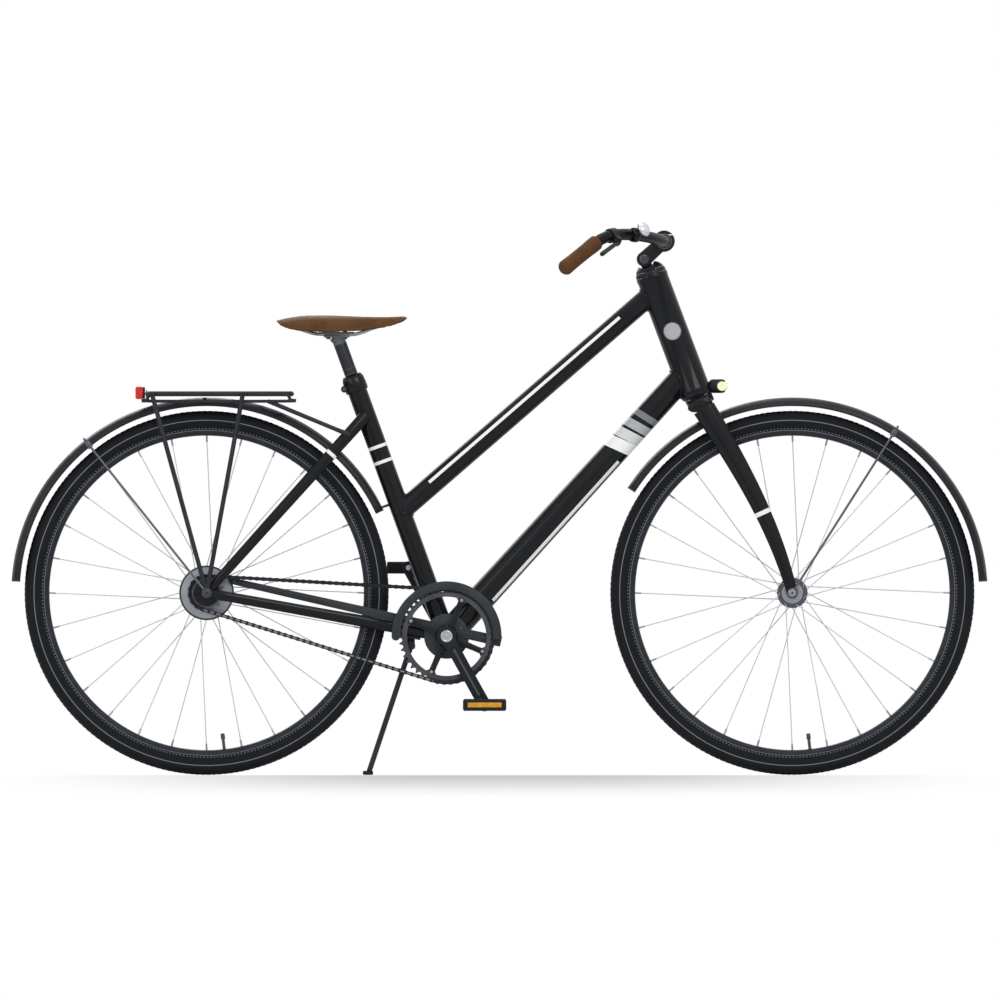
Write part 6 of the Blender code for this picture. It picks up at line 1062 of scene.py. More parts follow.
rear_fender = fender(REAR_AXLE, REAR_FENDER_START, pi - FENDER_LOW_END)
fender_top = FENDER_MIDDLE + FENDER_RISE
rear_lug = swept([REAR_AXLE + seat_stay_up * (fender_top + lift) for lift in (-0.001, 0.012)],
                 [(0.012, 0.02), (0.01, 0.018)], 24, 1)
tab_root = REAR_AXLE + unit(REAR_FENDER_START + 0.022) * (fender_top - 0.002)
tab_end = tab_root + SEAT_FORWARD * ((BRACKET - tab_root).dot(SEAT_FORWARD) - SEAT_RADIUS + 0.0015)
rear_tab = swept([tab_root, tab_end], [(0.0045, 0.016), (0.006, 0.018)], 20, 1)
settled(joined(rear_fender, rear_lug, rear_tab), "rear_mudguard", fender_paint, "frame", "rear_fender",
        sharp=42.0)
front_fender = fender(FRONT_AXLE, FENDER_LOW_END, radians(147.7))
crown_foot = CROWN_CENTRE - HEAD_UP * 0.012
lug_out = (crown_foot - FRONT_AXLE).normalized()
front_lug = swept([FRONT_AXLE + lug_out * (fender_top - 0.001), crown_foot + lug_out * 0.002],
                  [(0.014, 0.02), (0.012, 0.018)], 24, 1)
settled(joined(front_fender, front_lug), "front_mudguard", fender_paint, "steering", "front_fender",
        sharp=42.0)

stay_steel = brushed("fender_stay_steel", (0.085, 0.09, 0.1), (0.12, 0.126, 0.138), (0.3, 0.45), 0.5)


def fender_wires(name, body, hub, angle, eye_y, node):
    """Wire stay with its eyes on the axle and two clips on the fender."""
    out = unit(angle)
    edge = FENDER_HALF + 0.0036
    top = fender_top + 0.0027
    half = [(0.008, eye_y), (0.03, eye_y), (0.2, eye_y + (edge - eye_y) * 0.52),
            (FENDER_MIDDLE - 0.012, edge), (top - 0.004, edge), (top, edge - 0.006), (top, 0.006)]
    points = [hub + out * reach - ACROSS * y for reach, y in half]
    points += [hub + out * reach + ACROSS * y for reach, y in reversed(half)]
    parts = [swept(points, (0.0046, 0.0046), 14, 4)]
    for side in (-1, 1):
        parts.append(carve(disc(hub, 0.0095, side * (eye_y - 0.0019), side * (eye_y + 0.0019), 32),
                           disc(hub, 0.0053, side * 0.03, side * 0.12, 24)))
        grip = hub + out * (FENDER_MIDDLE - 0.004) + ACROSS * (side * (FENDER_HALF + 0.0026))
        parts.append(swept([grip - out * 0.007, grip + out * 0.007], (0.011, 0.0075), 12, 1))
        parts.append(domed_bolt(grip + ACROSS * (side * 0.0032), ACROSS * side))
    settled(joined(*parts), name, stay_steel, body, node, sharp=40.0)


fender_wires("rear_fender_wires", "frame", REAR_AXLE, radians(128.5), REAR_EYE_Y, "rear_fender_stay")
fender_wires("front_fender_wires", "steering", FRONT_AXLE, radians(57.6), FRONT_EYE_Y, "front_fender_stay")

# Rack: a bent tube round the deck with brazed cross bars, a thinner rail
# under each side, braces to the seat stays and legs to the axle.
rack_paint = drift("rack_paint", (0.022, 0.024, 0.029), (0.032, 0.035, 0.041), (0.38, 0.52), 0.2,
                   grain=1200.0)
RACK_TOP = 0.734
RACK_REAR = -0.6775
RACK_LENGTH = 0.285
RACK_FRONT = RACK_REAR + RACK_LENGTH
RACK_TUBE = 0.0055
RACK_CORNER = 0.02
RAIL_Z = RACK_TOP - RACK_TUBE
RAIL_SIDE = 0.055
BAR_PITCH = 0.057


def cross_bars(start, wires):
    """Bars side by side along a line, welded between the side rails."""
    row = start.node("GeometryNodeMeshLine", {"mode": 'OFFSET'}, {
        "Count": wires["Bars"], "Start Location": start.node(
            "ShaderNodeCombineXYZ", None, {"X": wires["First"], "Z": wires["Height"]}),
        "Offset": start.node("ShaderNodeCombineXYZ", None, {"X": wires["Pitch"]})})
    bar = start.node("GeometryNodeMeshCylinder", None,
                     {"Vertices": 16, "Radius": wires["Radius"], "Depth": wires["Length"]})
    smooth_bar = start.node("GeometryNodeSetShadeSmooth", None, {"Geometry": bar})
    return start.node("GeometryNodeInstanceOnPoints", None, {
        "Points": row, "Instance": smooth_bar, "Rotation": (pi / 2.0, 0.0, 0.0)})


bars = grown(cloud_of([Vector()]), "rack_cross_bars", {
    "Bars": 4, "First": RACK_REAR + BAR_PITCH, "Pitch": BAR_PITCH, "Height": RAIL_Z, "Radius": 0.0035,
    "Length": 2.0 * RAIL_SIDE}, cross_bars, rack_paint)
settled(bars, "rack_bars", rack_paint, "frame", sharp=45.0)
loop = []
for index, (x, y) in enumerate(((1, 1), (-1, 1), (-1, -1), (1, -1))):
    centre_x = 0.5 * (RACK_FRONT + RACK_REAR) + x * (0.5 * RACK_LENGTH - RACK_TUBE - RACK_CORNER)
    for step in range(9):
        turn = pi / 2.0 * (index + step / 8.0)
        loop.append(Vector((centre_x + RACK_CORNER * cos(turn),
                            y * (RAIL_SIDE - RACK_CORNER) + RACK_CORNER * sin(turn), RAIL_Z)))
rack_parts = [swept(loop, (0.011, 0.01), 20, 1, closed=True)]
for side in (-1, 1):
    y = side * (RAIL_SIDE + 0.0006)
    low = RACK_TOP - 0.0195
    rail = [Vector((x, y, z)) for x, z in (
        (RACK_REAR + 0.013, RAIL_Z), (RACK_REAR + 0.006, RAIL_Z - 0.006), (RACK_REAR + 0.006, low + 0.003),
        (RACK_REAR + 0.013, low), (RACK_FRONT - 0.016, low), (RACK_FRONT - 0.009, low + 0.003),
        (RACK_FRONT - 0.01, RAIL_Z - 0.005), (RACK_FRONT - 0.016, RAIL_Z))]
    rack_parts.append(swept(rail, (0.0062, 0.0062), 16, 4))
    along = seat_stay_length - 0.05
    brace_y = side * 0.0408
    foot = off(REAR_AXLE + seat_stay_up * along, brace_y)
    root = Vector((RACK_FRONT - 0.05, side * 0.053, low))
    bend_spot = root.lerp(foot, 0.86)
    bend_spot.y = brace_y
    rack_parts.append(swept([root, root.lerp(bend_spot, 0.5), bend_spot, foot],
                            [(0.0085, 0.0085), (0.0085, 0.0085), (0.0085, 0.008), (0.011, 0.005)], 16, 4))
    rack_parts.append(domed_bolt(foot + ACROSS * (side * 0.002), ACROSS * side, 0.0042))
rack_parts.append(swept([Vector((RACK_REAR + 0.0022, y, RAIL_Z)) for y in (-0.02, 0.02)], (0.0022, 0.022),
                        4, 1))
settled(joined(*rack_parts), "rack_tubes", rack_paint, "frame", "rack", sharp=40.0)

for side, hand in SIDES:
    parts = []
    foot = off(REAR_AXLE, side * RACK_EYE_Y)
    for top_x in (RACK_REAR + 0.0125, RACK_REAR + 0.1873):
        top = Vector((top_x, side * 0.065, RAIL_Z + 0.002))
        near = REAR_AXLE + (off(top, 0.0) - REAR_AXLE) * 0.085
        points = [foot, off(near, side * (RACK_EYE_Y + 0.0032)),
                  off(REAR_AXLE.lerp(top, 0.5), side * 0.0757), top]
        parts.append(swept(points, [(0.0115, 0.0048), (0.009, 0.0088), (0.009, 0.009), (0.009, 0.009)], 18,
                           4))
        parts.append(domed_bolt(Vector((top_x, side * 0.069, RAIL_Z)), ACROSS * side, 0.0042))
    eye = disc(REAR_AXLE, 0.011, side * (RACK_EYE_Y - 0.0025), side * (RACK_EYE_Y + 0.0025), 36)
    leg = joined(*parts, eye)
    settled(leg, f"rack_strut_{hand}", rack_paint, "frame", f"rack_leg_{hand}", sharp=40.0)

# Rear light: a red moulded lens with fine prisms over a dark back shell, on
# the plate at the end of the rack.


def lens_finish(name, deep, pale, glow_share, pitch, axis):
    """Coloured acrylic with moulded prisms; it glows a little, so it stays saturated in shade."""
    made, spot, shader = new_finish(name, 0.2, **{"Emission Strength": glow_share})
    lines = (spot.along((0, 0, 0), axis) * (2.0 * pi / pitch)).wave()
    cloud = spot.cloud(120.0, 2.0)
    colour = (lines * 0.6 + cloud * 0.4).between(deep, pale)
    colour.feed(shader.inputs["Emission Color"])
    return wired(made, shader, colour, 0.14 + 0.12 * lines, lines, 0.00025)


red_lens = lens_finish("red_lens", (0.5, 0.02, 0.014), (0.64, 0.036, 0.026), 0.12, 0.0024, (0, 0, 1))


def soft_box(centre, size, bevel, segments=4):
    """Block with rounded edges."""
    x, y, z = (value / 2.0 for value in size)
    ends = [[centre + Vector((way * x, one * y, two * z))
             for one, two in ((-1, -1), (1, -1), (1, 1), (-1, 1))] for way in (-1, 1)]
    return eased(shape(ends), bevel, segments)


def turned_box(centre, axes, size, bevel, segments=2):
    """Soft box along three directions of its own."""
    made = soft_box(Vector(), size, bevel, segments)
    for vertex in made.data.vertices:
        vertex.co = centre + sum((axis * step for axis, step in zip(axes, vertex.co)), Vector())
    return made


light_centre = Vector((RACK_REAR - 0.0091, 0.0, RACK_TOP - 0.0037))
settled(soft_box(light_centre - Vector((0.0018, 0.0, 0.0)), (0.015, 0.052, 0.024), 0.0036),
        "rear_light_lens", red_lens, "frame", "rear_light", sharp=60.0)
plastic = drift("black_plastic", (0.013, 0.013, 0.016), (0.022, 0.022, 0.027), (0.42, 0.58), grain=2200.0,
                depth=0.00004)
settled(soft_box(light_centre + Vector((0.007, 0.0, 0.0)), (0.0044, 0.05, 0.0224), 0.0014, 2),
        "rear_light_back", plastic, "frame")

# Sprocket and chainring: stamped steel wheels, the small one splined to the
# geared hub, the large one riveted to a four-armed alloy spider that is
# pressed on the right crank. Their teeth are cut to the chain's rollers.
PITCH = 0.0127
RING_TEETH, SPROCKET_TEETH = 44, 16
RING_RADIUS = PITCH / (2.0 * sin(pi / RING_TEETH))
SPROCKET_RADIUS = PITCH / (2.0 * sin(pi / SPROCKET_TEETH))
CHAIN_Y = -0.045
CENTRES = (BRACKET - REAR_AXLE).length
STAY_ANGLE = atan2(BRACKET.z - REAR_AXLE.z, BRACKET.x - REAR_AXLE.x)
LEAN = asin((RING_RADIUS - SPROCKET_RADIUS) / CENTRES)
UPPER_ANGLE = STAY_ANGLE + pi / 2.0 + LEAN
LOWER_ANGLE = STAY_ANGLE - pi / 2.0 - LEAN
RING_WRAP = (pi + 2.0 * LEAN) * RING_RADIUS
RUN = CENTRES * cos(LEAN)
SPROCKET_WRAP = (pi - 2.0 * LEAN) * SPROCKET_RADIUS
CHAIN_LINKS = round((RING_WRAP + SPROCKET_WRAP + 2.0 * RUN) / PITCH)
FIRST_SPROCKET_PIN = ceil((RING_WRAP + RUN) / PITCH) * PITCH - RING_WRAP - RUN
SPROCKET_PHASE = LOWER_ANGLE - FIRST_SPROCKET_PIN / SPROCKET_RADIUS


def polar(centre, radius, angle):
    """Point about a centre in the side plane."""
    return centre + unit(angle) * radius


def tooth_outline(centre, pitch_radius, teeth, phase):
    """Roller seats and pointed teeth round a wheel; a seat lies at the phase."""
    profile = ((-0.2, -0.0028), (-0.12, -0.0036), (0.0, -0.0039), (0.12, -0.0036), (0.2, -0.0028),
               (0.3, -0.0006), (0.38, 0.0014), (0.45, 0.0027), (0.5, 0.0029), (0.55, 0.0027),
               (0.62, 0.0014), (0.7, -0.0006))
    return [polar(centre, pitch_radius + lift, phase + (tooth + share) * 2.0 * pi / teeth)
            for tooth in range(teeth) for share, lift in profile]


def slab(outline, low, high, edge=0.0004):
    """Plate of any outline in the side plane, between two distances from the middle plane."""
    plate = shape([[off(point, y) for point in outline] for y in (low, high)])
    return eased(plate, edge, 2, 50.0) if edge else plate


def arc(centre, radius, start, end, steps):
    """Points along an arc in the side plane."""
    return [polar(centre, radius, start + (end - start) * step / steps) for step in range(steps + 1)]


ring_steel = brushed("ring_steel", (0.05, 0.053, 0.062), (0.085, 0.09, 0.102), (0.26, 0.42), 0.85, BRACKET,
                     1400.0)
sprocket_steel = brushed("sprocket_steel", (0.08, 0.084, 0.094), (0.13, 0.135, 0.15), (0.28, 0.44), 0.9,
                         REAR_AXLE, 1400.0)
crank_alloy = drift("crank_alloy", (0.012, 0.0134, 0.0165), (0.0185, 0.0203, 0.0245), (0.3, 0.42), 0.35,
                    grain=1300.0)

sprocket = slab(tooth_outline(REAR_AXLE, SPROCKET_RADIUS, SPROCKET_TEETH, SPROCKET_PHASE), CHAIN_Y - 0.001,
                CHAIN_Y + 0.001)
carve(sprocket, disc(REAR_AXLE, 0.017, -0.06, -0.03, 32))
settled(sprocket, "sprocket_teeth", sprocket_steel, "sprocket", "rear_sprocket", sharp=32.0)
driver = wheel_profile(REAR_AXLE, (
    (AXLE_BORE, -0.0366), (0.0184, -0.0366), (0.0189, -0.0371), (0.0189, -0.0468), (0.0178, -0.0474),
    (0.0176, -0.0484), (0.0166, -0.0486), (0.016, -0.049), (0.016, -0.056), (0.015, -0.0578),
    (0.013, -0.0585), (0.011, -0.058), (AXLE_BORE, -0.057)), 48)
circlip = wheel_profile(REAR_AXLE,
                        ((0.016, -0.0504), (0.0182, -0.0504), (0.0184, -0.051), (0.0182, -0.0516),
                         (0.016, -0.0516)), 48)
notches = [(polar(off(REAR_AXLE, -0.0478), 0.018, turn), unit(turn), ACROSS)
           for turn in (step * 2.0 * pi / 9 for step in range(9))]
settled(joined(driver, circlip, block_at(notches, 0.003, 0.0034, 0.0022)), "hub_driver", steel, "sprocket",
        sharp=32.0)

ring = slab(tooth_outline(BRACKET, RING_RADIUS, RING_TEETH, UPPER_ANGLE), CHAIN_Y - 0.0011,
            CHAIN_Y + 0.0011)
carve(ring, disc(BRACKET, 0.0757, -0.06, -0.03, 96))
bolt_angles = [radians(-23.0 + 90.0 * arm) for arm in range(4)]
tabs = [slab([polar(BRACKET, 0.0775, angle - 0.16), *arc(BRACKET, 0.0705, angle - 0.075, angle + 0.075, 6),
              polar(BRACKET, 0.0775, angle + 0.16)], CHAIN_Y - 0.001, CHAIN_Y + 0.001, 0.0)
        for angle in bolt_angles]
carve(ring, *tabs, operation='UNION')
settled(ring, "chainring_teeth", ring_steel, "cranks", "chainring", sharp=32.0)

# Spider: forged arms that taper towards their rivets around a deep boss,
# pressed on the right crank.
SPIDER_Y = -0.0478
RIVET_REACH = 0.0742
SPIDER_SECTIONS = ((0.016, 0.02, 0.0052), (0.026, 0.015, 0.0048), (0.04, 0.0124, 0.0042),
                   (0.058, 0.0112, 0.0037), (0.072, 0.0118, 0.0034), (0.0768, 0.01, 0.0032),
                   (0.0785, 0.0066, 0.003))
ARM_CORNERS = ((-0.5, -0.34), (-0.4, -0.5), (0.4, -0.5), (0.5, -0.34), (0.5, 0.34), (0.4, 0.5), (-0.4, 0.5),
               (-0.5, 0.34))
arms = [shape([[off(BRACKET + unit(angle) * reach, SPIDER_Y) + unit(angle + pi / 2.0) * (one * width)
                + ACROSS * (two * thick) for one, two in ARM_CORNERS]
                for reach, width, thick in SPIDER_SECTIONS])
        for angle in bolt_angles]
boss = wheel_profile(BRACKET, (
    (0.0089, -0.0438), (0.02, -0.0438), (0.022, -0.0446), (0.0222, -0.05), (0.0216, -0.0524),
    (0.019, -0.056), (0.0182, -0.0587), (0.0089, -0.0587)), 64)
settled(joined(boss, *arms), "spider", crank_alloy, "cranks", bevel=0.0004, sharp=32.0)
rivets = []
for angle in bolt_angles:
    place = polar(BRACKET, RIVET_REACH, angle)
    rivets.append(domed_bolt(off(place, -0.0494), -ACROSS, 0.0036, 0.0018))
    rivets.append(turned(off(place, -0.044), ACROSS, ((0.0, 0.004), (0.0014, 0.004), (0.0018, 0.0034)), 16))
settled(joined(*rivets), "ring_rivets", steel, "cranks", sharp=32.0)

# Chain: 104 half-inch links of dark oiled steel plates on riveted pins with
# rollers between them; outer and inner pairs of plates take turns.
chain_from = polar(BRACKET, RING_RADIUS, LOWER_ANGLE)
chain_to = polar(REAR_AXLE, SPROCKET_RADIUS, LOWER_ANGLE)
# Painted highlights: lighter dashes on the plates of the lower run, between their pins.
lower_run_highlight_band = pinstripe(chain_from, chain_to, 0.0014)


def link_highlight_mask(spot):
    """Painted highlights on the plates of the lower run, bright between their pins."""
    turn = spot.along(chain_from, (chain_to - chain_from).normalized()) + RING_WRAP
    return lower_run_highlight_band(spot) * spot.maths('COSINE', turn * (2.0 * pi / PITCH)).step(0.65, 0.25)


# Dark oiled plates; the plates of the lower run carry painted highlights.
chain_paint = drift("chain_plates", (0.015, 0.0165, 0.019), (0.025, 0.027, 0.031), (0.28, 0.42), 0.35,
                    grain=1300.0, marks=[(link_highlight_mask, (0.22, 0.23, 0.245))])
PLATE_HEIGHT = 0.0083


def chain_place(distance):
    """Point on the chain's line, counted from the top of the ring."""
    if distance < RING_WRAP:
        return polar(BRACKET, RING_RADIUS, UPPER_ANGLE - distance / RING_RADIUS)
    distance -= RING_WRAP
    if distance < RUN:
        return chain_from.lerp(chain_to, distance / RUN)
    distance -= RUN
    if distance < SPROCKET_WRAP:
        return polar(REAR_AXLE, SPROCKET_RADIUS, LOWER_ANGLE - distance / SPROCKET_RADIUS)
    upper_start = polar(REAR_AXLE, SPROCKET_RADIUS, UPPER_ANGLE)
    return upper_start.lerp(polar(BRACKET, RING_RADIUS, UPPER_ANGLE), (distance - SPROCKET_WRAP) / RUN)


def link_plates(half_gap, thick):
    """Pair of waisted plates one pitch long, the pins at both ends."""
    outline = []
    for end in (1, -1):
        middle = Vector((end * PITCH / 2.0, 0.0, 0.0))
        turn = 0.0 if end > 0 else pi
        outline += arc(middle, PLATE_HEIGHT / 2.0, radians(-78.0) + turn, radians(78.0) + turn, 8)
        outline.append(Vector((0.0, 0.0, end * PLATE_HEIGHT * 0.36)))
    return [slab(outline, side * half_gap, side * (half_gap + thick), 0.0) for side in (-1, 1)]


def pin_and_roller(half_length):
    """Riveted pin with its roller at the front end of a link."""
    start = Vector((PITCH / 2.0, 0.0, 0.0))
    return [barrel(off(start, -half_length), ACROSS, 2.0 * half_length, 0.0016, 0.0003, 0.0005, 10),
            disc(start, 0.003, -0.0018, 0.0018, 12)]


def links_along(start, wires):
    """Sets one link on each line of the mesh, turned to its direction."""
    line = start.node("ShaderNodeVectorMath", {"operation": 'SUBTRACT'}, {
        0: start.node("GeometryNodeInputMeshEdgeVertices", out=3),
        1: start.node("GeometryNodeInputMeshEdgeVertices", out=2)})
    turn = start.node("FunctionNodeAlignRotationToVector", {"axis": 'X', "pivot_axis": 'Y'},
                      {"Vector": line})
    kind = start.maths('FLOORED_MODULO', start.node("GeometryNodeInputIndex"), 2.0)
    for label, data_type, value in (("turn", 'QUATERNION', turn), ("kind", 'FLOAT', kind)):
        start = start.node("GeometryNodeStoreNamedAttribute", {"data_type": data_type, "domain": 'EDGE'},
                           {"Geometry": start, "Name": label, "Value": value})
    points = start.node("GeometryNodeMeshToPoints", {"mode": 'EDGES'}, {"Mesh": start})
    turn = start.node("GeometryNodeInputNamedAttribute", {"data_type": 'QUATERNION'}, {"Name": "turn"})
    kind = start.node("GeometryNodeInputNamedAttribute", {"data_type": 'FLOAT'}, {"Name": "kind"})
    copies = start.tree.nodes.new("GeometryNodeJoinGeometry")
    for label, chosen in (("Outer link", kind < 0.5), ("Inner link", kind > 0.5)):
        shown = start.node("GeometryNodeObjectInfo", {"transform_space": 'ORIGINAL'},
                           {"Object": wires[label]}, out=4)
        start.node("GeometryNodeInstanceOnPoints", None, {
            "Points": points, "Selection": chosen, "Instance": shown,
            "Rotation": turn}).feed(copies.inputs[0])
    return Wire(start.tree, copies.outputs[0])


outer_link = joined(*link_plates(0.0029, 0.0009), *pin_and_roller(0.0041))
inner_link = joined(*link_plates(0.0019, 0.0009), *pin_and_roller(0.0041))
pins = [off(chain_place(index * PITCH), CHAIN_Y) for index in range(CHAIN_LINKS)]
chain = grown(cloud_of(pins, [(index, (index + 1) % CHAIN_LINKS) for index in range(CHAIN_LINKS)]),
              "chain_links", {"Outer link": outer_link, "Inner link": inner_link}, links_along, chain_paint)
for spare in (outer_link, inner_link):
    bpy.data.objects.remove(spare, do_unlink=True)
settled(chain, "drive_chain", chain_paint, "frame", "chain", sharp=32.0)

# Chain guard: grey coated sheet metal. A hoop with a turned-over lip covers
# the ring's top half, a long bar runs back along the chain to the hub, and a
# round plate behind the ring holds both on the bracket shell with screws.
guard_paint = drift("guard_coating", (0.029, 0.034, 0.039), (0.038, 0.043, 0.049), (0.38, 0.52), 0.15,
                    grain=1100.0, depth=0.00003)
GUARD_INNER, GUARD_OUTER = 0.0887, 0.1053
GUARD_PLATE_Y = -0.0382
hoop_middle = 0.5 * (GUARD_INNER + GUARD_OUTER)
hoop_tip = polar(BRACKET, hoop_middle, pi)
hoop_start = radians(-3.5)
outline = arc(BRACKET, GUARD_OUTER - 0.0001, hoop_start, pi, 72)
outline += arc(hoop_tip, 0.5 * (GUARD_OUTER - GUARD_INNER), pi, 2.0 * pi, 14)[1:-1]
outline += arc(BRACKET, GUARD_INNER, pi, hoop_start, 72)
hoop = slab(outline, -0.0545, -0.0526, 0.0005)
lips = []
for first, last, count in ((hoop_start, radians(103.0), 48), (radians(152.0), pi, 14)):
    band = arc(BRACKET, GUARD_OUTER - 0.0002, first + 0.004, last - 0.004, count)
    band += arc(BRACKET, GUARD_OUTER - 0.0016, last - 0.004, first + 0.004, count)
    lips.append(slab(band, -0.0538, GUARD_PLATE_Y))
bar_rear = REAR_AXLE + Vector((0.0487, 0.0, 0.0227))
bar_front = polar(BRACKET, GUARD_OUTER - 0.009, radians(-5.0))
bar_along = (bar_front - bar_rear).normalized()
bar_angle = atan2(bar_along.z, bar_along.x)
square = unit(bar_angle + pi / 2.0)
bar_end = bar_front + bar_along * 0.0085
outline = arc(bar_rear, 0.0062, bar_angle + pi / 2.0, bar_angle + 1.5 * pi, 14)
outline += [bar_end + square * (0.01 * up) + bar_along * ahead
            for up, ahead in ((-1, 0.0), (-1, 0.0001), (1, 0.0001), (1, 0.0))]
bar = slab(outline, -0.039, -0.0371, 0.0005)
ridge = [bar_rear + bar_along * 0.01, bar_end - bar_along * 0.03]
rib = swept([off(point, -0.0388) for point in ridge], (0.0052, 0.0012), 12, 1)
mount = barrel(off(BRACKET, GUARD_PLATE_Y), ACROSS, 0.0039, 0.043, 0.0004, 0.0005, 72)
carve(mount, disc(BRACKET, 0.0183, -0.05, -0.02, 48))
guard = joined(hoop, *lips, bar, rib, mount)
settled(guard, "chain_guard_sheet", guard_paint, "frame", "chain_guard", sharp=40.0)
screws = [domed_bolt(off(polar(BRACKET, 0.03, radians(30.0 + 120.0 * step)), GUARD_PLATE_Y), -ACROSS,
                     0.0032, 0.0018)
          for step in range(3)]
screws.append(domed_bolt(off(bar_rear + bar_along * 0.004, -0.039), -ACROSS, 0.003, 0.0016))
settled(joined(*screws), "guard_screws", dark_steel, "frame", sharp=32.0)

# Cranks: forged alloy arms, dark anodised, broad at the bracket and slim at
# the pedal eye, with a shallow channel along the face and a bright dust cap
# over the axle bolt.
CRANK_ANGLE = radians(-61.0)
CRANK_LENGTH = 0.15
CRANK_INNER, CRANK_OUTER = 0.059, 0.073
cap_metal = brushed("cap_metal", (0.36, 0.37, 0.4), (0.44, 0.45, 0.48), (0.2, 0.34), 0.9, BRACKET, 2500.0)


def crank(side, name, angle):
    """Arm with rounded ends that thins towards the pedal, channel and cap."""
    tip = polar(BRACKET, CRANK_LENGTH, angle)
    along, square = unit(angle), unit(angle + pi / 2.0)
    widths = ((-0.0157, 0.0), (-0.015, 0.0045), (-0.0128, 0.009), (-0.009, 0.0129), (-0.0045, 0.0151),
              (0.0, 0.0157), (0.005, 0.015), (0.011, 0.0135), (0.02, 0.0127), (0.04, 0.0123),
              (0.08, 0.0121), (0.12, 0.012), (0.14, 0.0122), (0.15, 0.0127), (0.1545, 0.0119),
              (0.1585, 0.0094), (0.1612, 0.0058), (0.1626, 0.0))
    outline = [BRACKET + along * reach + square * half for reach, half in widths]
    outline += [BRACKET + along * reach - square * half for reach, half in reversed(widths[1:-1])]
    arm = slab(outline, side * CRANK_INNER, side * CRANK_OUTER, 0.0)
    thin = shape([[off(BRACKET + along * reach + square * (0.03 * way), side * y)
                   for way, y in ((-1, face), (1, face), (1, 0.085), (-1, 0.085))]
                  for reach, face in ((0.02, 0.074), (0.055, CRANK_OUTER - 0.0005),
                                      (0.115, CRANK_OUTER - 0.0012), (0.17, CRANK_OUTER - 0.0012))])
    groove = swept([off(BRACKET + along * reach, side * 0.0722) for reach in (0.03, 0.05, 0.11, 0.128)],
                   [(0.0016, 0.0012), (0.005, 0.0026), (0.0042, 0.0026), (0.0012, 0.001)], 16, 4)
    recess = disc(BRACKET, 0.0122, side * 0.07, side * 0.08, 40)
    carve(arm, thin, groove, recess, disc(BRACKET, 0.0087, side * 0.055, side * 0.08, 24),
          disc(tip, 0.005, side * 0.055, side * 0.08, 24))
    channel = stripe(BRACKET + along * 0.079, along, 0.05, 0.0019)
    arm_alloy = drift(f"crank_{name}_alloy", (0.0125, 0.014, 0.018), (0.019, 0.021, 0.0255), (0.3, 0.42),
                      0.3, grain=1300.0, marks=[(channel, (0.085, 0.092, 0.102))])
    settled(arm, f"crank_{name}_arm", arm_alloy, "cranks", f"crank_{name}", bevel=0.0011, segments=3,
            sharp=40.0)
    cap = turned(off(BRACKET, side * 0.0698), ACROSS * side, (
        (0.0, 0.0117), (0.0036, 0.0117), (0.0044, 0.0112), (0.0048, 0.0098), (0.0044, 0.0088),
        (0.0044, 0.004), (0.0049, 0.0028), (0.0049, 0.0004)), 40)
    washer = turned(off(tip, side * (CRANK_OUTER - 0.0014)), ACROSS * side,
                    ((0.0, 0.0082), (0.0016, 0.0082), (0.002, 0.0076)), 28)
    socket = rod(off(tip, side * (CRANK_INNER + 0.0004)), ACROSS * side, 0.004, 0.006, 28)
    pin = turned(off(tip, side * (CRANK_OUTER - 0.001)), ACROSS * side, (
        (0.0, 0.0062), (0.004, 0.0062), (0.0046, 0.0048), (0.08, 0.0046), (0.081, 0.004)), 24)
    settled(joined(cap, washer, socket, pin), f"crank_{name}_cap_and_pin", cap_metal, "cranks", sharp=30.0)


for side, hand in SIDES:
    crank(side, hand, CRANK_ANGLE + (pi if side > 0 else 0.0))

# Pedals: moulded black plastic bodies with two treads of ribs, windows cut
# through both sides of the spindle, and amber reflectors snapped into the
# outer edge.
pedal_plastic = drift("pedal_plastic", (0.0095, 0.0104, 0.0122), (0.015, 0.0163, 0.019), (0.48, 0.62), 0.0,
                      grain=1500.0, depth=0.00006)
PEDAL_LENGTH, PEDAL_HEIGHT, PEDAL_NEAR, PEDAL_FAR = 0.083, 0.023, 0.079, 0.171
# The pedal reflectors hold no lamp; their glow is painted light.
amber = lens_finish("amber_reflector", (0.44, 0.16, 0.004), (0.74, 0.4, 0.035), 0.16, 0.0016, (1, 0, 0))


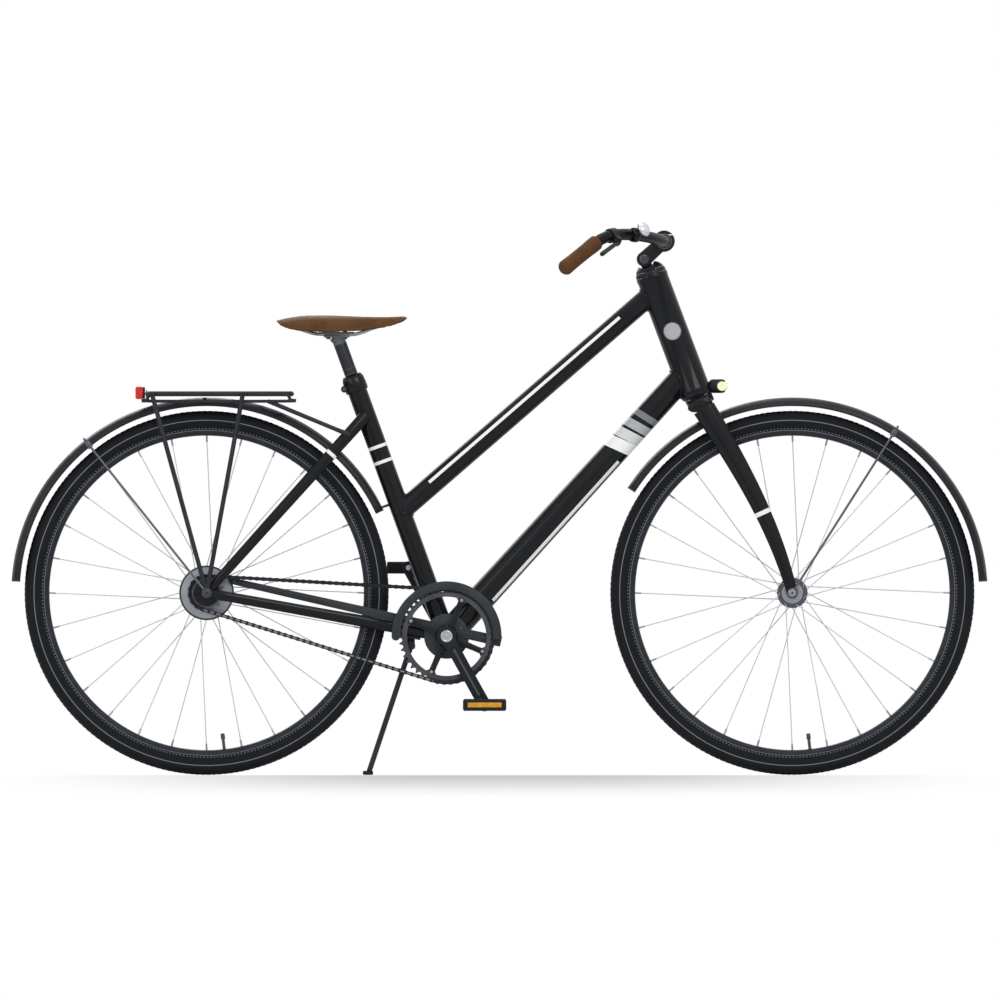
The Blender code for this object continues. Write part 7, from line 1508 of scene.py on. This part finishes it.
def pedal(side, name):
    """Ribbed body, bearing barrel, end cap and reflector of one pedal."""
    hub = Vector(joints[f"pedal_{name}_spin"]["pos_m"])
    middle = off(hub, side * 0.5 * (PEDAL_NEAR + PEDAL_FAR))
    body = soft_box(middle, (PEDAL_LENGTH, PEDAL_FAR - PEDAL_NEAR, PEDAL_HEIGHT), 0.0045, 3)
    cutters = [soft_box(off(hub + FORWARD * (way * 0.0232), side * (PEDAL_NEAR + 0.0285 + 0.035 * bay)),
                        (0.02, 0.03, 0.05), 0.0025, 3) for way in (-1, 1) for bay in range(2)]
    cutters += [soft_box(off(hub + UPWARD * (up * 0.0145), side * 0.125), (0.019, 0.07, 0.01), 0.003, 3)
                for up in (-1, 1)]
    cutters.append(disc(hub, 0.0062, side * 0.07, side * 0.157, 24))
    cutters.append(soft_box(off(hub, side * (PEDAL_FAR - 0.001)), (0.0654, 0.0042, 0.0099), 0.0008, 2))
    carve(body, *cutters)
    for up in (-1, 1):
        spots = [(off(hub + Vector((way * 0.0372, 0.0, up * 0.0109)),
                      side * (PEDAL_NEAR + 0.0085 + 0.0075 * step)),
                  UPWARD * up, ACROSS) for way in (-1, 1) for step in range(11)]
        body = joined(body, block_at(spots, 0.0022, 0.0058, 0.0012))
    settled(body, f"pedal_{name}_body", pedal_plastic, f"pedal_{name}", f"pedal_{name}", sharp=35.0)
    face = soft_box(off(hub, side * (PEDAL_FAR - 0.0013)), (0.0648, 0.0034, 0.0093), 0.0007, 3)
    settled(face, f"pedal_{name}_amber", amber, f"pedal_{name}", f"pedal_reflector_{name}", sharp=40.0)
    cap = turned(off(hub, side * (PEDAL_NEAR - 0.0002)), ACROSS * side,
                 ((0.0, 0.0088), (0.001, 0.0092), (0.002, 0.0092)), 32)
    carve(cap, disc(hub, 0.0062, side * 0.07, side * 0.09, 24))
    settled(cap, f"pedal_{name}_bearing_cap", dark_steel, f"pedal_{name}", sharp=32.0)


for side, hand in SIDES:
    pedal(side, hand)

# Stand: a two-legged centre stand. Steel tubes, grey coated and welded to one
# hinge pin, with rubber feet; its bracket clamps round the chain stays with a
# bolt between two plates.
stand_paint = drift("stand_coating", (0.0175, 0.0195, 0.0225), (0.025, 0.0275, 0.031), (0.4, 0.55), 0.2,
                    grain=1100.0, depth=0.00003)
rubber_foot = drift("foot_rubber", (0.012, 0.012, 0.014), (0.024, 0.024, 0.027), (0.75, 0.92), 0.0,
                    grain=500.0, depth=0.0001)
STAND_PIVOT = Vector(joints["stand_fold"]["pos_m"])
foot_x = STAND_PIVOT.x - 0.0822
down = Vector((foot_x, 0.0, 0.0)) - STAND_PIVOT
leg_length = down.length
down.normalize()
ankle = leg_length - 0.006 / -down.z
legs, feet = [], []
for side in (-1, 1):
    path = [off(STAND_PIVOT + down * reach, side * y) for reach, y in (
        (0.0004, 0.03), (0.15, 0.03), (0.166, 0.0312), (0.18, 0.0372), (ankle, 0.094))]
    legs.append(swept(path, (0.0104, 0.0104), 20, 6))
    legs.append(barrel(off(STAND_PIVOT, side * 0.0125), ACROSS * side, 0.0228, 0.0084, 0.0006, 0.0006, 32))
    collar = off(STAND_PIVOT + down * 0.0088, side * 0.03)
    legs.append(turned(collar, down, ((0.0, 0.0062), (0.0014, 0.006), (0.0026, 0.0053)), 20))
    feet.append(soft_box(Vector((foot_x, side * 0.095, 0.004)), (0.0198, 0.0358, 0.0079), 0.0022, 4))
pin = disc(STAND_PIVOT, 0.0041, -0.0145, 0.0145, 24)
settled(joined(*legs, pin), "stand_legs", stand_paint, "stand", "stand", sharp=40.0)
settled(joined(*feet), "stand_feet", rubber_foot, "stand", sharp=40.0)

above = Vector((back.z, 0.0, -back.x))
middle = BRACKET + back * 0.068
half_height = 0.0114
lower_plate, upper_plate = (
    turned_box(middle + above * lift, (back, ACROSS, above), size, bevel, 3) for lift, size, bevel in (
        (-half_height - 0.0025, (0.0396, 0.0596, 0.0049), 0.0012),
        (half_height + 0.002, (0.0336, 0.0496, 0.0039), 0.001)))
lug = soft_box(STAND_PIVOT + UPWARD * 0.00475, (0.0149, 0.0238, 0.0214), 0.001, 2)
carve(lower_plate, lug, disc(STAND_PIVOT, 0.0084, -0.0119, 0.0119, 36), operation='UNION')
carve(lower_plate, disc(STAND_PIVOT, 0.0045, -0.02, 0.02, 24))
settled(joined(lower_plate, upper_plate), "stand_clamp", stand_paint, "frame", "stand_bracket", sharp=35.0)
bolt = rod(middle - above * half_height, above, 2.0 * half_height + 0.0035, 0.0046, 24)
nut = turned(middle + above * (half_height + 0.004), above,
             ((0.0, 0.0072), (0.0004, 0.0078), (0.0034, 0.0078), (0.0038, 0.007)), 6)
tip = turned(middle + above * (half_height + 0.0078), above,
             ((0.0, 0.004), (0.001, 0.004), (0.0016, 0.0032)), 20)
settled(joined(bolt, nut, tip), "stand_bolt", steel, "frame", sharp=32.0)

# Seat post, clamp and rails: a grey anodised tube with a two-plate clamp whose
# bolt squeezes the saddle's steel rails, set into the seat tube.
post_alloy = brushed("post_alloy", (0.019, 0.0215, 0.0255), (0.026, 0.029, 0.0335), (0.34, 0.46), 0.1)
clamp_alloy = brushed("clamp_alloy", (0.105, 0.113, 0.123), (0.145, 0.154, 0.166), (0.28, 0.42), 0.4)
POST_HEAD = SEAT_TOP + SEAT_UP * 0.102
RAIL_Y = 0.0165
RAIL_HEIGHT = POST_HEAD.z + 0.0004
post = turned(SEAT_TOP - SEAT_UP * 0.15, SEAT_UP, (
    (0.0, 0.0118), (0.0012, 0.0126), (0.248, 0.0126), (0.2492, 0.0122)), 40)
settled(post, "seat_post_tube", post_alloy, "seat", sharp=35.0)
post_marks = [barrel(SEAT_TOP + SEAT_UP * (0.012 + 0.01 * step), SEAT_UP, 0.0006, 0.01268, 0.0001, 0.00006,
                     40)
              for step in range(3)]
settled(joined(*post_marks), "seat_post_marks", clamp_alloy, "seat", sharp=35.0)


def rail_hole(reach):
    """Tools along both rails."""
    return [rod(Vector((POST_HEAD.x - reach, side * RAIL_Y, RAIL_HEIGHT)), FORWARD, 2.0 * reach, 0.0037, 20)
            for side in (-1, 1)]


cradle = soft_box(POST_HEAD - UPWARD * 0.003, (0.0496, 0.0426, 0.0058), 0.0016, 3)
neck = turned(POST_HEAD - SEAT_UP * 0.02, SEAT_UP, ((0.0, 0.0126), (0.006, 0.0128), (0.015, 0.017)), 32)
carve(cradle, neck, operation='UNION')
carve(cradle, soft_box(POST_HEAD + UPWARD * 0.0101, (0.08, 0.08, 0.02), 0.0002, 1), *rail_hole(0.04))
lid = soft_box(POST_HEAD + Vector((0.0024, 0.0, 0.003)), (0.0626, 0.0466, 0.0042), 0.0013, 3)
carve(lid, *rail_hole(0.05))
settled(joined(cradle, lid), "saddle_clamp_plates", clamp_alloy, "seat", "seat_post", "saddle_clamp",
        sharp=35.0)
clamp_bolts = []
for ahead in (-0.016, 0.016):
    top = POST_HEAD + Vector((ahead, 0.0, 0.005))
    clamp_bolts.append(domed_bolt(top, UPWARD, 0.0044, 0.0022))
    clamp_bolts.append(turned(POST_HEAD + Vector((ahead, 0.0, -0.0058)), -UPWARD, (
        (0.0, 0.005), (0.003, 0.005), (0.0034, 0.0042)), 6))
settled(joined(*clamp_bolts), "saddle_clamp_bolts", dark_steel, "seat", sharp=32.0)

SADDLE_LENGTH, SADDLE_HALF = 0.2525, 0.079
saddle_rear = POST_HEAD.x - 0.0002 - 0.1155
nose_x = saddle_rear + SADDLE_LENGTH - 0.04
half_rail = ((saddle_rear + 0.03, 0.045, 0.0157), (POST_HEAD.x - 0.05, 0.03, 0.003),
             *((POST_HEAD.x + ahead, RAIL_Y, 0.0) for ahead in (-0.032, 0.0, 0.036)),
             (nose_x - 0.026, 0.01, 0.012), (nose_x - 0.004, 0.0045, 0.0178))
path = [Vector((x, -y, RAIL_HEIGHT + z)) for x, y, z in half_rail]
path += [Vector((x, y, RAIL_HEIGHT + z)) for x, y, z in reversed(half_rail)]
settled(swept(path, (0.0068, 0.0068), 16, 6), "saddle_rail_wire", steel, "seat", "saddle_rails", sharp=60.0)

# Saddle: foam on a moulded plastic base, under one piece of brown leather
# that is drawn down over the sides, stitched along its edge and riveted at
# the back and the nose. The foam's swelling is simulated as cloth.
SADDLE_SHAPE = (
    # share of length, top and lower edge above the rails, share of half width
    (0.0, 0.026, 0.024, 0.38), (0.018, 0.0282, 0.018, 0.658), (0.06, 0.0304, 0.0121, 0.873),
    (0.12, 0.0333, 0.0076, 0.975), (0.2, 0.036, 0.0046, 1.0), (0.29, 0.0366, 0.0032, 0.937),
    (0.38, 0.0364, 0.0028, 0.785), (0.47, 0.0356, 0.0031, 0.595), (0.56, 0.0346, 0.004, 0.456),
    (0.65, 0.0339, 0.0058, 0.367), (0.74, 0.0336, 0.0084, 0.316), (0.83, 0.0338, 0.0121, 0.285),
    (0.91, 0.0345, 0.0178, 0.253), (0.965, 0.0354, 0.0234, 0.209), (0.99, 0.0344, 0.0276, 0.139),
    (1.0, 0.032, 0.03, 0.063))
saddle_rows = smooth_row(SADDLE_SHAPE, 4)


def saddle_profile(row, shrink):
    """Half a section of the saddle as (y, z), from the crown to under the foam."""
    share, top, under, half = row
    top, under, half = top - shrink, under + shrink * 0.3, max(half * SADDLE_HALF - shrink, 0.002)
    depth = top - under
    skirt, pad = min(0.005, 0.35 * half), min(0.0125, 0.55 * depth)
    return ((0.0, top), (0.2 * half, top - 0.008 * depth), (0.38 * half, top - 0.03 * depth),
            (0.56 * half, top - 0.065 * depth), (0.72 * half, top - 0.12 * depth),
            (0.85 * half, top - 0.22 * depth), (0.94 * half, top - 0.36 * depth),
            (0.99 * half, top - 0.52 * depth), (half, top - 0.66 * depth),
            (0.985 * half, top - 0.84 * depth), (0.95 * half, under + 0.0006),
            (0.95 * half - 0.5 * skirt, under), (0.95 * half - skirt, under + 0.0006),
            (0.93 * half - skirt, top - pad - 0.25 * depth), (0.5 * half, top - pad), (0.0, top - pad))


def saddle_ring(row, shrink=0.0):
    """Whole section of the saddle."""
    profile = saddle_profile(row, shrink)
    x = saddle_rear + SADDLE_LENGTH * min(max(row[0], 0.0), 1.0)
    ring = [Vector((x, y, RAIL_HEIGHT + z)) for y, z in profile]
    return ring + [Vector((x, -y, RAIL_HEIGHT + z)) for y, z in profile[-2:0:-1]]


def swollen(thing, voxel, pressure, cap, held_below):
    """Fills a pad from inside as cloth, no point moving further than the cap."""
    remesh = thing.modifiers.new("even", 'REMESH')
    remesh.mode = 'VOXEL'
    remesh.voxel_size = voxel
    soften = thing.modifiers.new("soften", 'SMOOTH')
    soften.factor, soften.iterations = 0.5, 3
    evaluated(thing)
    before = [vertex.co.copy() for vertex in thing.data.vertices]
    held = thing.vertex_groups.new(name="held")
    held.add([vertex.index for vertex in thing.data.vertices if held_below(vertex)], 1.0, 'REPLACE')
    cover = thing.modifiers.new("cover", 'CLOTH')
    cover.settings.quality = 6
    cover.settings.mass = 0.3
    cover.settings.use_pressure = True
    cover.settings.uniform_pressure_force = pressure
    cover.settings.effector_weights.gravity = 0.0
    cover.settings.vertex_group_mass = "held"
    cover.point_cache.frame_start, cover.point_cache.frame_end = 1, 20
    for step in range(1, 21):
        scene.frame_set(step)
    evaluated(thing)
    scene.frame_set(1)
    thing.vertex_groups.clear()
    for vertex, old in zip(thing.data.vertices, before):
        moved = vertex.co - old
        if moved.length > cap:
            vertex.co = old + moved * (cap / moved.length)
    return thing


def hide(name, dark, light, size, top_highlight_from=None):
    """Brown leather: fine pores, cloudy tone and paler rubbed patches; given a height, a painted highlight
    makes it paler above that height instead.
    """
    made, spot, shader = new_finish(name, 0.14)
    tone = spot.noise(16.0, 4.0).step(0.32, 0.68)
    pores = spot.node("ShaderNodeTexVoronoi", {"feature": 'DISTANCE_TO_EDGE'},
                      {"Vector": spot, "Scale": size})
    grain = pores.step(0.0, 0.22)
    # Random rubbed patches; when a height is given, a painted highlight that pales the leather above it.
    wear_and_top_highlight = spot.noise(40.0, 3.0) if top_highlight_from is None else spot.along(top_highlight_from, UPWARD).step(0.0, 0.013)
    colour = (tone * 0.55 + wear_and_top_highlight * 0.4).between(dark, light)
    colour = (grain * 0.3 + 0.7).between(tuple(0.6 * value for value in dark), colour)
    relief = grain * 0.6 + spot.noise(90.0, 4.0) * 0.8
    return wired(made, shader, colour, 0.66 - 0.14 * wear_and_top_highlight + 0.1 * grain, relief, 0.00025)


# Saddle leather: a painted highlight makes its top paler.
leather = hide("saddle_leather", (0.078, 0.031, 0.0085), (0.175, 0.083, 0.034), 620.0,
               (0.0, 0.0, RAIL_HEIGHT + 0.024))
pad = swollen(shape([saddle_ring(row, 0.0012) for row in saddle_rows]), 0.003, 4.0, 0.0022,
              lambda vertex: vertex.normal.z < -0.35)
settled(pad, "saddle_cover", leather, "seat", "saddle", sharp=180.0, levels=1)

thread, thread_spot, thread_shader = new_finish("waxed_thread", 0.5, Roughness=0.7)
thread_colour = thread_spot.noise(2500.0).between((0.11, 0.06, 0.028), (0.22, 0.135, 0.072))
thread_colour.feed(thread_shader.inputs["Base Color"])


def stitched(points, facings, radius, name, body):
    """Thread between each pair of points, standing proud in its middle."""
    spots, edges = [], []
    for first, second, up in zip(points[::2], points[1::2], facings[::2]):
        base = len(spots)
        ends = (first - up * radius, first.lerp(second, 0.15) + up * radius * 0.5)
        spots += [*ends, first.lerp(second, 0.85) + up * radius * 0.5, second - up * radius]
        edges += [(base, base + 1), (base + 1, base + 2), (base + 2, base + 3)]
    thing = grown(cloud_of(spots, edges), "stitches", {"Sides": 6, "Wire radius": radius}, wires_along,
                  thread)
    return settled(thing, name, thread, body, sharp=60.0)


def on_cover(place, inward):
    """Nearest place of the saddle cover's skin, and how it faces there."""
    found = pad.ray_cast(place - inward * 0.05, inward)
    return (found[1], found[2]) if found[0] else (None, None)


def edge_line(lift, steps):
    """Places a little above the saddle's lower edge, from the nose round the back."""
    rows = [row for row in saddle_rows if 0.03 <= row[0] <= 0.985]
    line = [(row, 1) for row in reversed(rows)] + [(row, -1) for row in rows]
    coarse = [Vector((saddle_rear + SADDLE_LENGTH * share, side * half * SADDLE_HALF,
                      RAIL_HEIGHT + under + lift))
              for (share, top, under, half), side in line]
    even, reach = [], 0.0
    for one, two in zip(coarse, coarse[1:]):
        length = (two - one).length
        while reach < length:
            even.append(one.lerp(two, reach / length))
            reach += steps
        reach -= length
    return even


seam_points, seam_facings = [], []
middle_x = saddle_rear + SADDLE_LENGTH * 0.25
for place in edge_line(0.0062, 0.0026):
    inward = Vector((max(min(middle_x - place.x, 0.01), -0.01) * 0.3, -place.y, 0.0)).normalized()
    spot, facing = on_cover(place, inward)
    if spot is not None and abs(spot.y) > 0.004:
        seam_points.append(spot)
        seam_facings.append(facing)
stitched(seam_points, seam_facings, 0.00038, "saddle_stitches", "seat")
rivets_of_saddle = []
for share, y, z in ((0.03, 0.024, 0.0245), (0.03, -0.024, 0.0245), (0.955, 0.006, 0.03),
                    (0.955, -0.006, 0.03)):
    place = Vector((saddle_rear + SADDLE_LENGTH * share, y, RAIL_HEIGHT + z))
    inward = Vector((1.0 if share < 0.5 else -0.3, -0.4 if y > 0 else 0.4, -0.2)).normalized()
    spot, facing = on_cover(place, inward)
    if spot is not None:
        rivets_of_saddle.append(domed_bolt(spot - facing * 0.0004, facing, 0.0034, 0.0012))
settled(joined(*rivets_of_saddle), "saddle_rivets", clamp_alloy, "seat", sharp=35.0)

# Stem: a forged post with a domed collar turns with the fork; its tongue
# carries the hinged arm, whose eye clamps the handlebar.
PIVOT = Vector(joints["stem_tilt"]["pos_m"])
CLAMP = PIVOT + Vector((0.0377, 0.0, 0.0344))
quill = turned(HEAD_TOP - HEAD_UP * 0.06, HEAD_UP, ((0.0, 0.0098), (0.001, 0.0109), (0.074, 0.0109)), 32)
stem_cap = turned(HEAD_TOP, HEAD_UP, dome(0.0097, 0.0224, 10), 48)
carve(stem_cap, disc(PIVOT, 0.0183, -0.05, 0.05, 40))
tongue = turned_box(PIVOT - HEAD_UP * 0.0105, (HEAD_FORWARD, ACROSS, HEAD_UP), (0.0205, 0.0166, 0.0212),
                    0.0016, 3)
carve(tongue, barrel(off(PIVOT, -0.0083), ACROSS, 0.0166, 0.0148, 0.001, 0.0008, 40), operation='UNION')
carve(tongue, disc(PIVOT, 0.0042, -0.02, 0.02, 24))
stem_paint = drift("stem_paint", (0.008, 0.009, 0.0105), (0.0125, 0.0135, 0.0155), (0.3, 0.4))
seal = rod(HEAD_TOP + HEAD_UP * 0.009, HEAD_UP, 0.001, 0.0268, 48)
settled(joined(quill, stem_cap, seal, tongue), "stem_post_forging", stem_paint, "steering", "stem_post",
        sharp=35.0)

reach_way = (CLAMP - PIVOT).normalized()
reach_side = Vector((-reach_way.z, 0.0, reach_way.x))


def arc_about(centre, radius, first, last):
    """Places on an arc, measured from the arm's own direction."""
    turns = [radians(first + (last - first) * step / 14) for step in range(15)]
    return [centre + reach_way * radius * cos(turn) + reach_side * radius * sin(turn) for turn in turns]


arm_line = arc_about(PIVOT, 0.0147, 84, 276) + arc_about(CLAMP, 0.0132, -84, 84)
arm = slab(arm_line, -0.0163, 0.0163, 0.0014)
carve(arm, barrel(off(CLAMP, -0.0198), ACROSS, 0.0396, 0.0206, 0.0012, 0.001, 48), operation='UNION')
carve(arm, disc(PIVOT, 0.016, -0.009, 0.009, 40), disc(CLAMP, 0.0128, -0.05, 0.05, 40),
      soft_box(CLAMP + reach_way * 0.018, (0.016, 0.06, 0.0014), 0.0001, 1))
arm_finish = brushed("stem_arm_alloy", (0.0125, 0.0135, 0.0155), (0.021, 0.0225, 0.025), (0.32, 0.44), 0.3)
settled(arm, "stem_arm_forging", arm_finish, "bar", "stem_arm", sharp=35.0)
stem_caps = [barrel(off(PIVOT, -0.0182), ACROSS, 0.0364, 0.004, 0.0004, 0.0016, 24)]
clamp_rings = []
for side in (-1, 1):
    stem_caps.append(turned(off(PIVOT, side * 0.016), ACROSS * side,
                            ((0.0, 0.0092), (0.0016, 0.009), (0.0026, 0.007)), 32))
    clamp_rings.append(turned(off(CLAMP, side * 0.0194), ACROSS * side, (
        (0.0, 0.0148), (0.001, 0.0146), (0.001, 0.0118)), 40))
settled(joined(*stem_caps), "stem_pivot_bolt", dark_steel, "bar", sharp=35.0)
settled(joined(*clamp_rings), "stem_clamp_rings", clamp_alloy, "bar", sharp=35.0)

# Handlebar: one aluminium tube, thicker in the clamp, that sweeps out and
# back to the grips; painted like the frame.
bar_paint = drift("bar_paint", (0.004, 0.0046, 0.006), (0.0062, 0.007, 0.0086), (0.28, 0.38),
                  specular=0.1)
BAR_SWEEP = Vector((-0.6287, 0.5878, -0.5091))
BAR_TUBE, CLAMPED_TUBE = 0.0222, 0.0254
BAND_BORE = 0.0112


def sided(vector, side):
    """The same vector on the right (-1) or on the left (1)."""
    return Vector((vector.x, vector.y * side, vector.z))


def bar_path(side, steps=24):
    """Places along one half of the bar, from the clamp to the grip."""
    start = off(CLAMP, side * 0.034)
    end = CLAMP + Vector((-0.1282, side * 0.262, -0.0015))
    return bend(start, off(CLAMP, side * 0.1), end - sided(BAR_SWEEP, side) * 0.062, end, steps)


half_bar = bar_path(1)
end_point = half_bar[-1] + BAR_SWEEP * 0.1
bar_line = [sided(point, -1) for point in [end_point] + half_bar[::-1]]
bar_line += [off(CLAMP, y) for y in (-0.0275, -0.0235, 0.0235, 0.0275)] + half_bar + [end_point]
bar_sizes = [(CLAMPED_TUBE,) * 2 if abs(point.y) < 0.0236 else (BAR_TUBE,) * 2 for point in bar_line]
settled(swept(bar_line, bar_sizes, 32, 1), "handlebar_tube", bar_paint, "bar", "handlebar", sharp=60.0)

# Brake levers: a hinged alloy blade in a clamped perch, one on each side.
perch_alloy = brushed("perch_alloy", (0.016, 0.0175, 0.0195), (0.026, 0.028, 0.031), (0.32, 0.45), 0.5)


def brake_lever(side, name):
    """Perch, ears and bolt on the bar, and the lever on its own body."""
    line = bar_path(side, 20)
    way = sided(BAR_SWEEP, side)
    root, along = line[16], (line[17] - line[15]).normalized()
    joint = joints["brake_lever_" + name + "_pull"]
    pivot, axis = Vector(joint["pos_m"]), Vector(joint["axis"]).normalized()
    away = (pivot - root).normalized()
    band = barrel(root - along * 0.0085, along, 0.017, 0.0142, 0.001, 0.0008, 36)
    carve(band, rod(root - along * 0.02, along, 0.04, BAND_BORE, 36))
    ears = [turned_box(root.lerp(pivot, 0.62) + axis * step, (away, axis, along), (0.02, 0.003, 0.009),
                       0.0008)
            for step in (-0.007, 0.007)]
    pin = turned(pivot - axis * 0.0092, axis, (
        (0.0, 0.0022), (0.0004, 0.0032), (0.001, 0.0032), (0.0012, 0.0025),
        (0.0172, 0.0025), (0.0174, 0.0032), (0.018, 0.0032), (0.0184, 0.0022)), 20)
    settled(joined(band, *ears, pin), name + "_lever_perch", perch_alloy, "bar", sharp=35.0)
    down = unit(radians(-51.0))
    down = (down - way * down.dot(way)).normalized()
    out = (down.cross(way) * side).normalized()
    tip = line[-1] + way * 0.03 + down * 0.024 + out * 0.03
    points = [pivot + way * 0.001] + [pivot.lerp(tip, share) for share in (0.35, 0.75, 1.0)]
    points.append(tip + (tip - pivot).normalized() * 0.004)
    blade = swept(points, [(0.0072, 0.0072), (0.0084, 0.0078), (0.0088, 0.008), (0.0092, 0.0092),
                           (0.0048, 0.0048)], 20, 4)
    eye = barrel(pivot - axis * 0.0051, axis, 0.0102, 0.0051, 0.0006, 0.0005, 28)
    carve(eye, rod(pivot - axis * 0.02, axis, 0.04, 0.0027, 20))
    settled(joined(blade, eye), name + "_lever_blade", perch_alloy, "brake_lever_" + name,
            "brake_lever_" + name, sharp=40.0)


for side, hand in SIDES:
    brake_lever(side, hand)

# Grips: foam under stitched brown leather, pulled onto the bar's ends, each
# with a seam laced along its underside and a leather-covered end plug.
grip_leather = hide("grip_leather", (0.076, 0.03, 0.009), (0.13, 0.056, 0.02), 760.0)
for side, name in SIDES:
    way = sided(BAR_SWEEP, side)
    start = bar_path(side)[-1] + way * 0.0015
    grip = turned(start, way, ((0.0, 0.0119), (0.0, 0.013), (0.0005, 0.0142), (0.0016, 0.0149),
                               (0.012, 0.015), (0.03, 0.0144), (0.0515, 0.0142), (0.073, 0.0144),
                               (0.09, 0.015), (0.0955, 0.015), (0.0966, 0.0143), (0.0972, 0.013),
                               (0.0972, 0.0119)), 40, closed=True)
    settled(grip, name + "_grip_leather", grip_leather, "bar", "grip_" + name, sharp=60.0)
    inner = sided(Vector((-0.5, -0.8, 0.0)), side)
    inner = (inner - way * inner.dot(way)).normalized()
    lace = [start + way * (0.004 + 0.0022 * step) + inner * 0.01475 for step in range(42)]
    lace = [point - inner * (0.00055 if 0.02 < (point - start).dot(way) < 0.085 else 0.0) for point in lace]
    turn = way.cross(inner)
    pairs = [spot for point in lace for spot in (point - turn * 0.0012,
                                                 point + turn * 0.0012 + way * 0.0008)]
    stitched(pairs, [inner] * len(pairs), 0.00038, name + "_grip_lacing", "bar")
    cap = turned(start, way, ((0.0962, 0.0118), (0.0962, 0.0142), (0.0968, 0.0145), (0.098, 0.014),
                              (0.1, 0.0126), (0.1018, 0.0112), (0.1028, 0.0088)), 40)
    settled(cap, name + "_grip_cap", grip_leather, "bar", sharp=60.0)

# Bell: a nickel dome with a dark rim, on a strap round the bar, and a thumb
# lever that turns on the post below it.
bell_joint = joints["bell_lever_press"]
BELL_ROOT, BELL_UP = Vector(bell_joint["pos_m"]), Vector(bell_joint["axis"]).normalized()
bell_line = bar_path(-1)
bell_along = (bell_line[14] - bell_line[12]).normalized()
BELL_BASE = BELL_ROOT + BELL_UP * 0.0095


def bell_rim(spot):
    """Lower edge and underside of the dome, painted darker."""
    return spot.along(BELL_BASE, BELL_UP).step(0.0141, 0.0136)


bell_metal = drift("bell_nickel", (0.56, 0.58, 0.6), (0.66, 0.68, 0.71), (0.18, 0.28), 0.5, scale=60.0,
                   marks=[(bell_rim, (0.1, 0.105, 0.115))])
strap = barrel(BELL_ROOT - bell_along * 0.005, bell_along, 0.01, 0.014, 0.0008, 0.0006, 36)
carve(strap, rod(BELL_ROOT - bell_along * 0.02, bell_along, 0.04, BAND_BORE, 36))
post_of_bell = turned(BELL_BASE, BELL_UP, ((0.0, 0.0046), (0.002, 0.0049), (0.012, 0.0049)), 28)
settled(joined(strap, post_of_bell), "bell_strap", perch_alloy, "bar", sharp=35.0)
shell_line = [(0.011, 0.004), (0.0112, 0.0132), (0.011, 0.0139), (0.0113, 0.0146), (0.0125, 0.0147),
              (0.0135, 0.0148), (0.0155, 0.0145), (0.0175, 0.0137), (0.0195, 0.0122), (0.0211, 0.01),
              (0.0222, 0.0074), (0.0229, 0.0046), (0.0232, 0.003), (0.0235, 0.0026), (0.0236, 0.0016)]
settled(turned(BELL_BASE, BELL_UP, shell_line, 56), "bell_dome", bell_metal, "bar", "bell", sharp=40.0)
ring = turned(BELL_BASE + BELL_UP * 0.0047, BELL_UP, (
    (0.0, 0.0054), (0.0, 0.0078), (0.0004, 0.0082), (0.0022, 0.0082), (0.0026, 0.0078), (0.0026, 0.0054)),
    32, closed=True)
side_way = BELL_UP.cross(bell_along).normalized()
thumb = [turned_box(BELL_BASE + BELL_UP * 0.006 + bell_along * ahead, (bell_along, side_way, BELL_UP), size,
                    bevel)
         for ahead, size, bevel in ((0.013, (0.018, 0.006, 0.0018), 0.0005),
                                    (0.023, (0.005, 0.012, 0.0032), 0.0011))]
settled(joined(ring, *thumb), "bell_thumb_lever", perch_alloy, "bell_lever", "bell_lever", sharp=35.0)

# Headlight: a black housing on an arm from the fork crown, with a domed clear
# lens that shows the warm reflector behind it.
LAMP_CENTRE = CROWN_CENTRE + Vector((0.0416, 0.0, 0.0356))
LAMP_BACK = LAMP_CENTRE - FORWARD * 0.0262
shell = turned(LAMP_BACK, FORWARD, (
    (0.0, 0.006), (0.0006, 0.0082), (0.0024, 0.0106), (0.005, 0.0124), (0.008, 0.0132), (0.025, 0.0134),
    (0.0262, 0.013), (0.027, 0.0134), (0.029, 0.0124), (0.0318, 0.0116), (0.0318, 0.0098), (0.029, 0.0094)),
    48)
fins = [barrel(LAMP_BACK + FORWARD * (0.0078 + 0.0032 * step), FORWARD, 0.0018, 0.01338, 0.0006, 0.00038,
               48)
        for step in range(5)]
arm_centre = CROWN_CENTRE + HEAD_FORWARD * 0.024 + HEAD_UP * 0.012
lamp_arm = turned_box(arm_centre + HEAD_FORWARD * 0.0012, (HEAD_UP, ACROSS, HEAD_FORWARD),
                      (0.025, 0.0136, 0.0068), 0.0016)
settled(joined(shell, *fins, lamp_arm,
               domed_bolt(off(LAMP_CENTRE, -0.0128) - FORWARD * 0.0105, -ACROSS, 0.0036, 0.0006)),
        "headlight_housing", plastic, "steering", "headlight", sharp=35.0)
clear_lens = lens_finish("clear_lens", (0.62, 0.6, 0.36), (0.93, 0.92, 0.66), 0.34, 0.0016, (0.0, 0.0, 1.0))
lens_glass = turned(LAMP_CENTRE + FORWARD * 0.0012, FORWARD,
                    ((0.0, 0.0091), (0.0042, 0.0091), (0.006, 0.0085), (0.0078, 0.0068),
                                                             (0.0088, 0.0048), (0.0092, 0.0022)), 48)
side_glass = barrel(off(LAMP_CENTRE, -0.0141), ACROSS, 0.0282, 0.009, 0.0008, 0.001, 40)
carve(lens_glass, side_glass, operation='UNION')
settled(lens_glass, "headlight_glass", clear_lens, "steering", "headlight_lens", sharp=35.0)
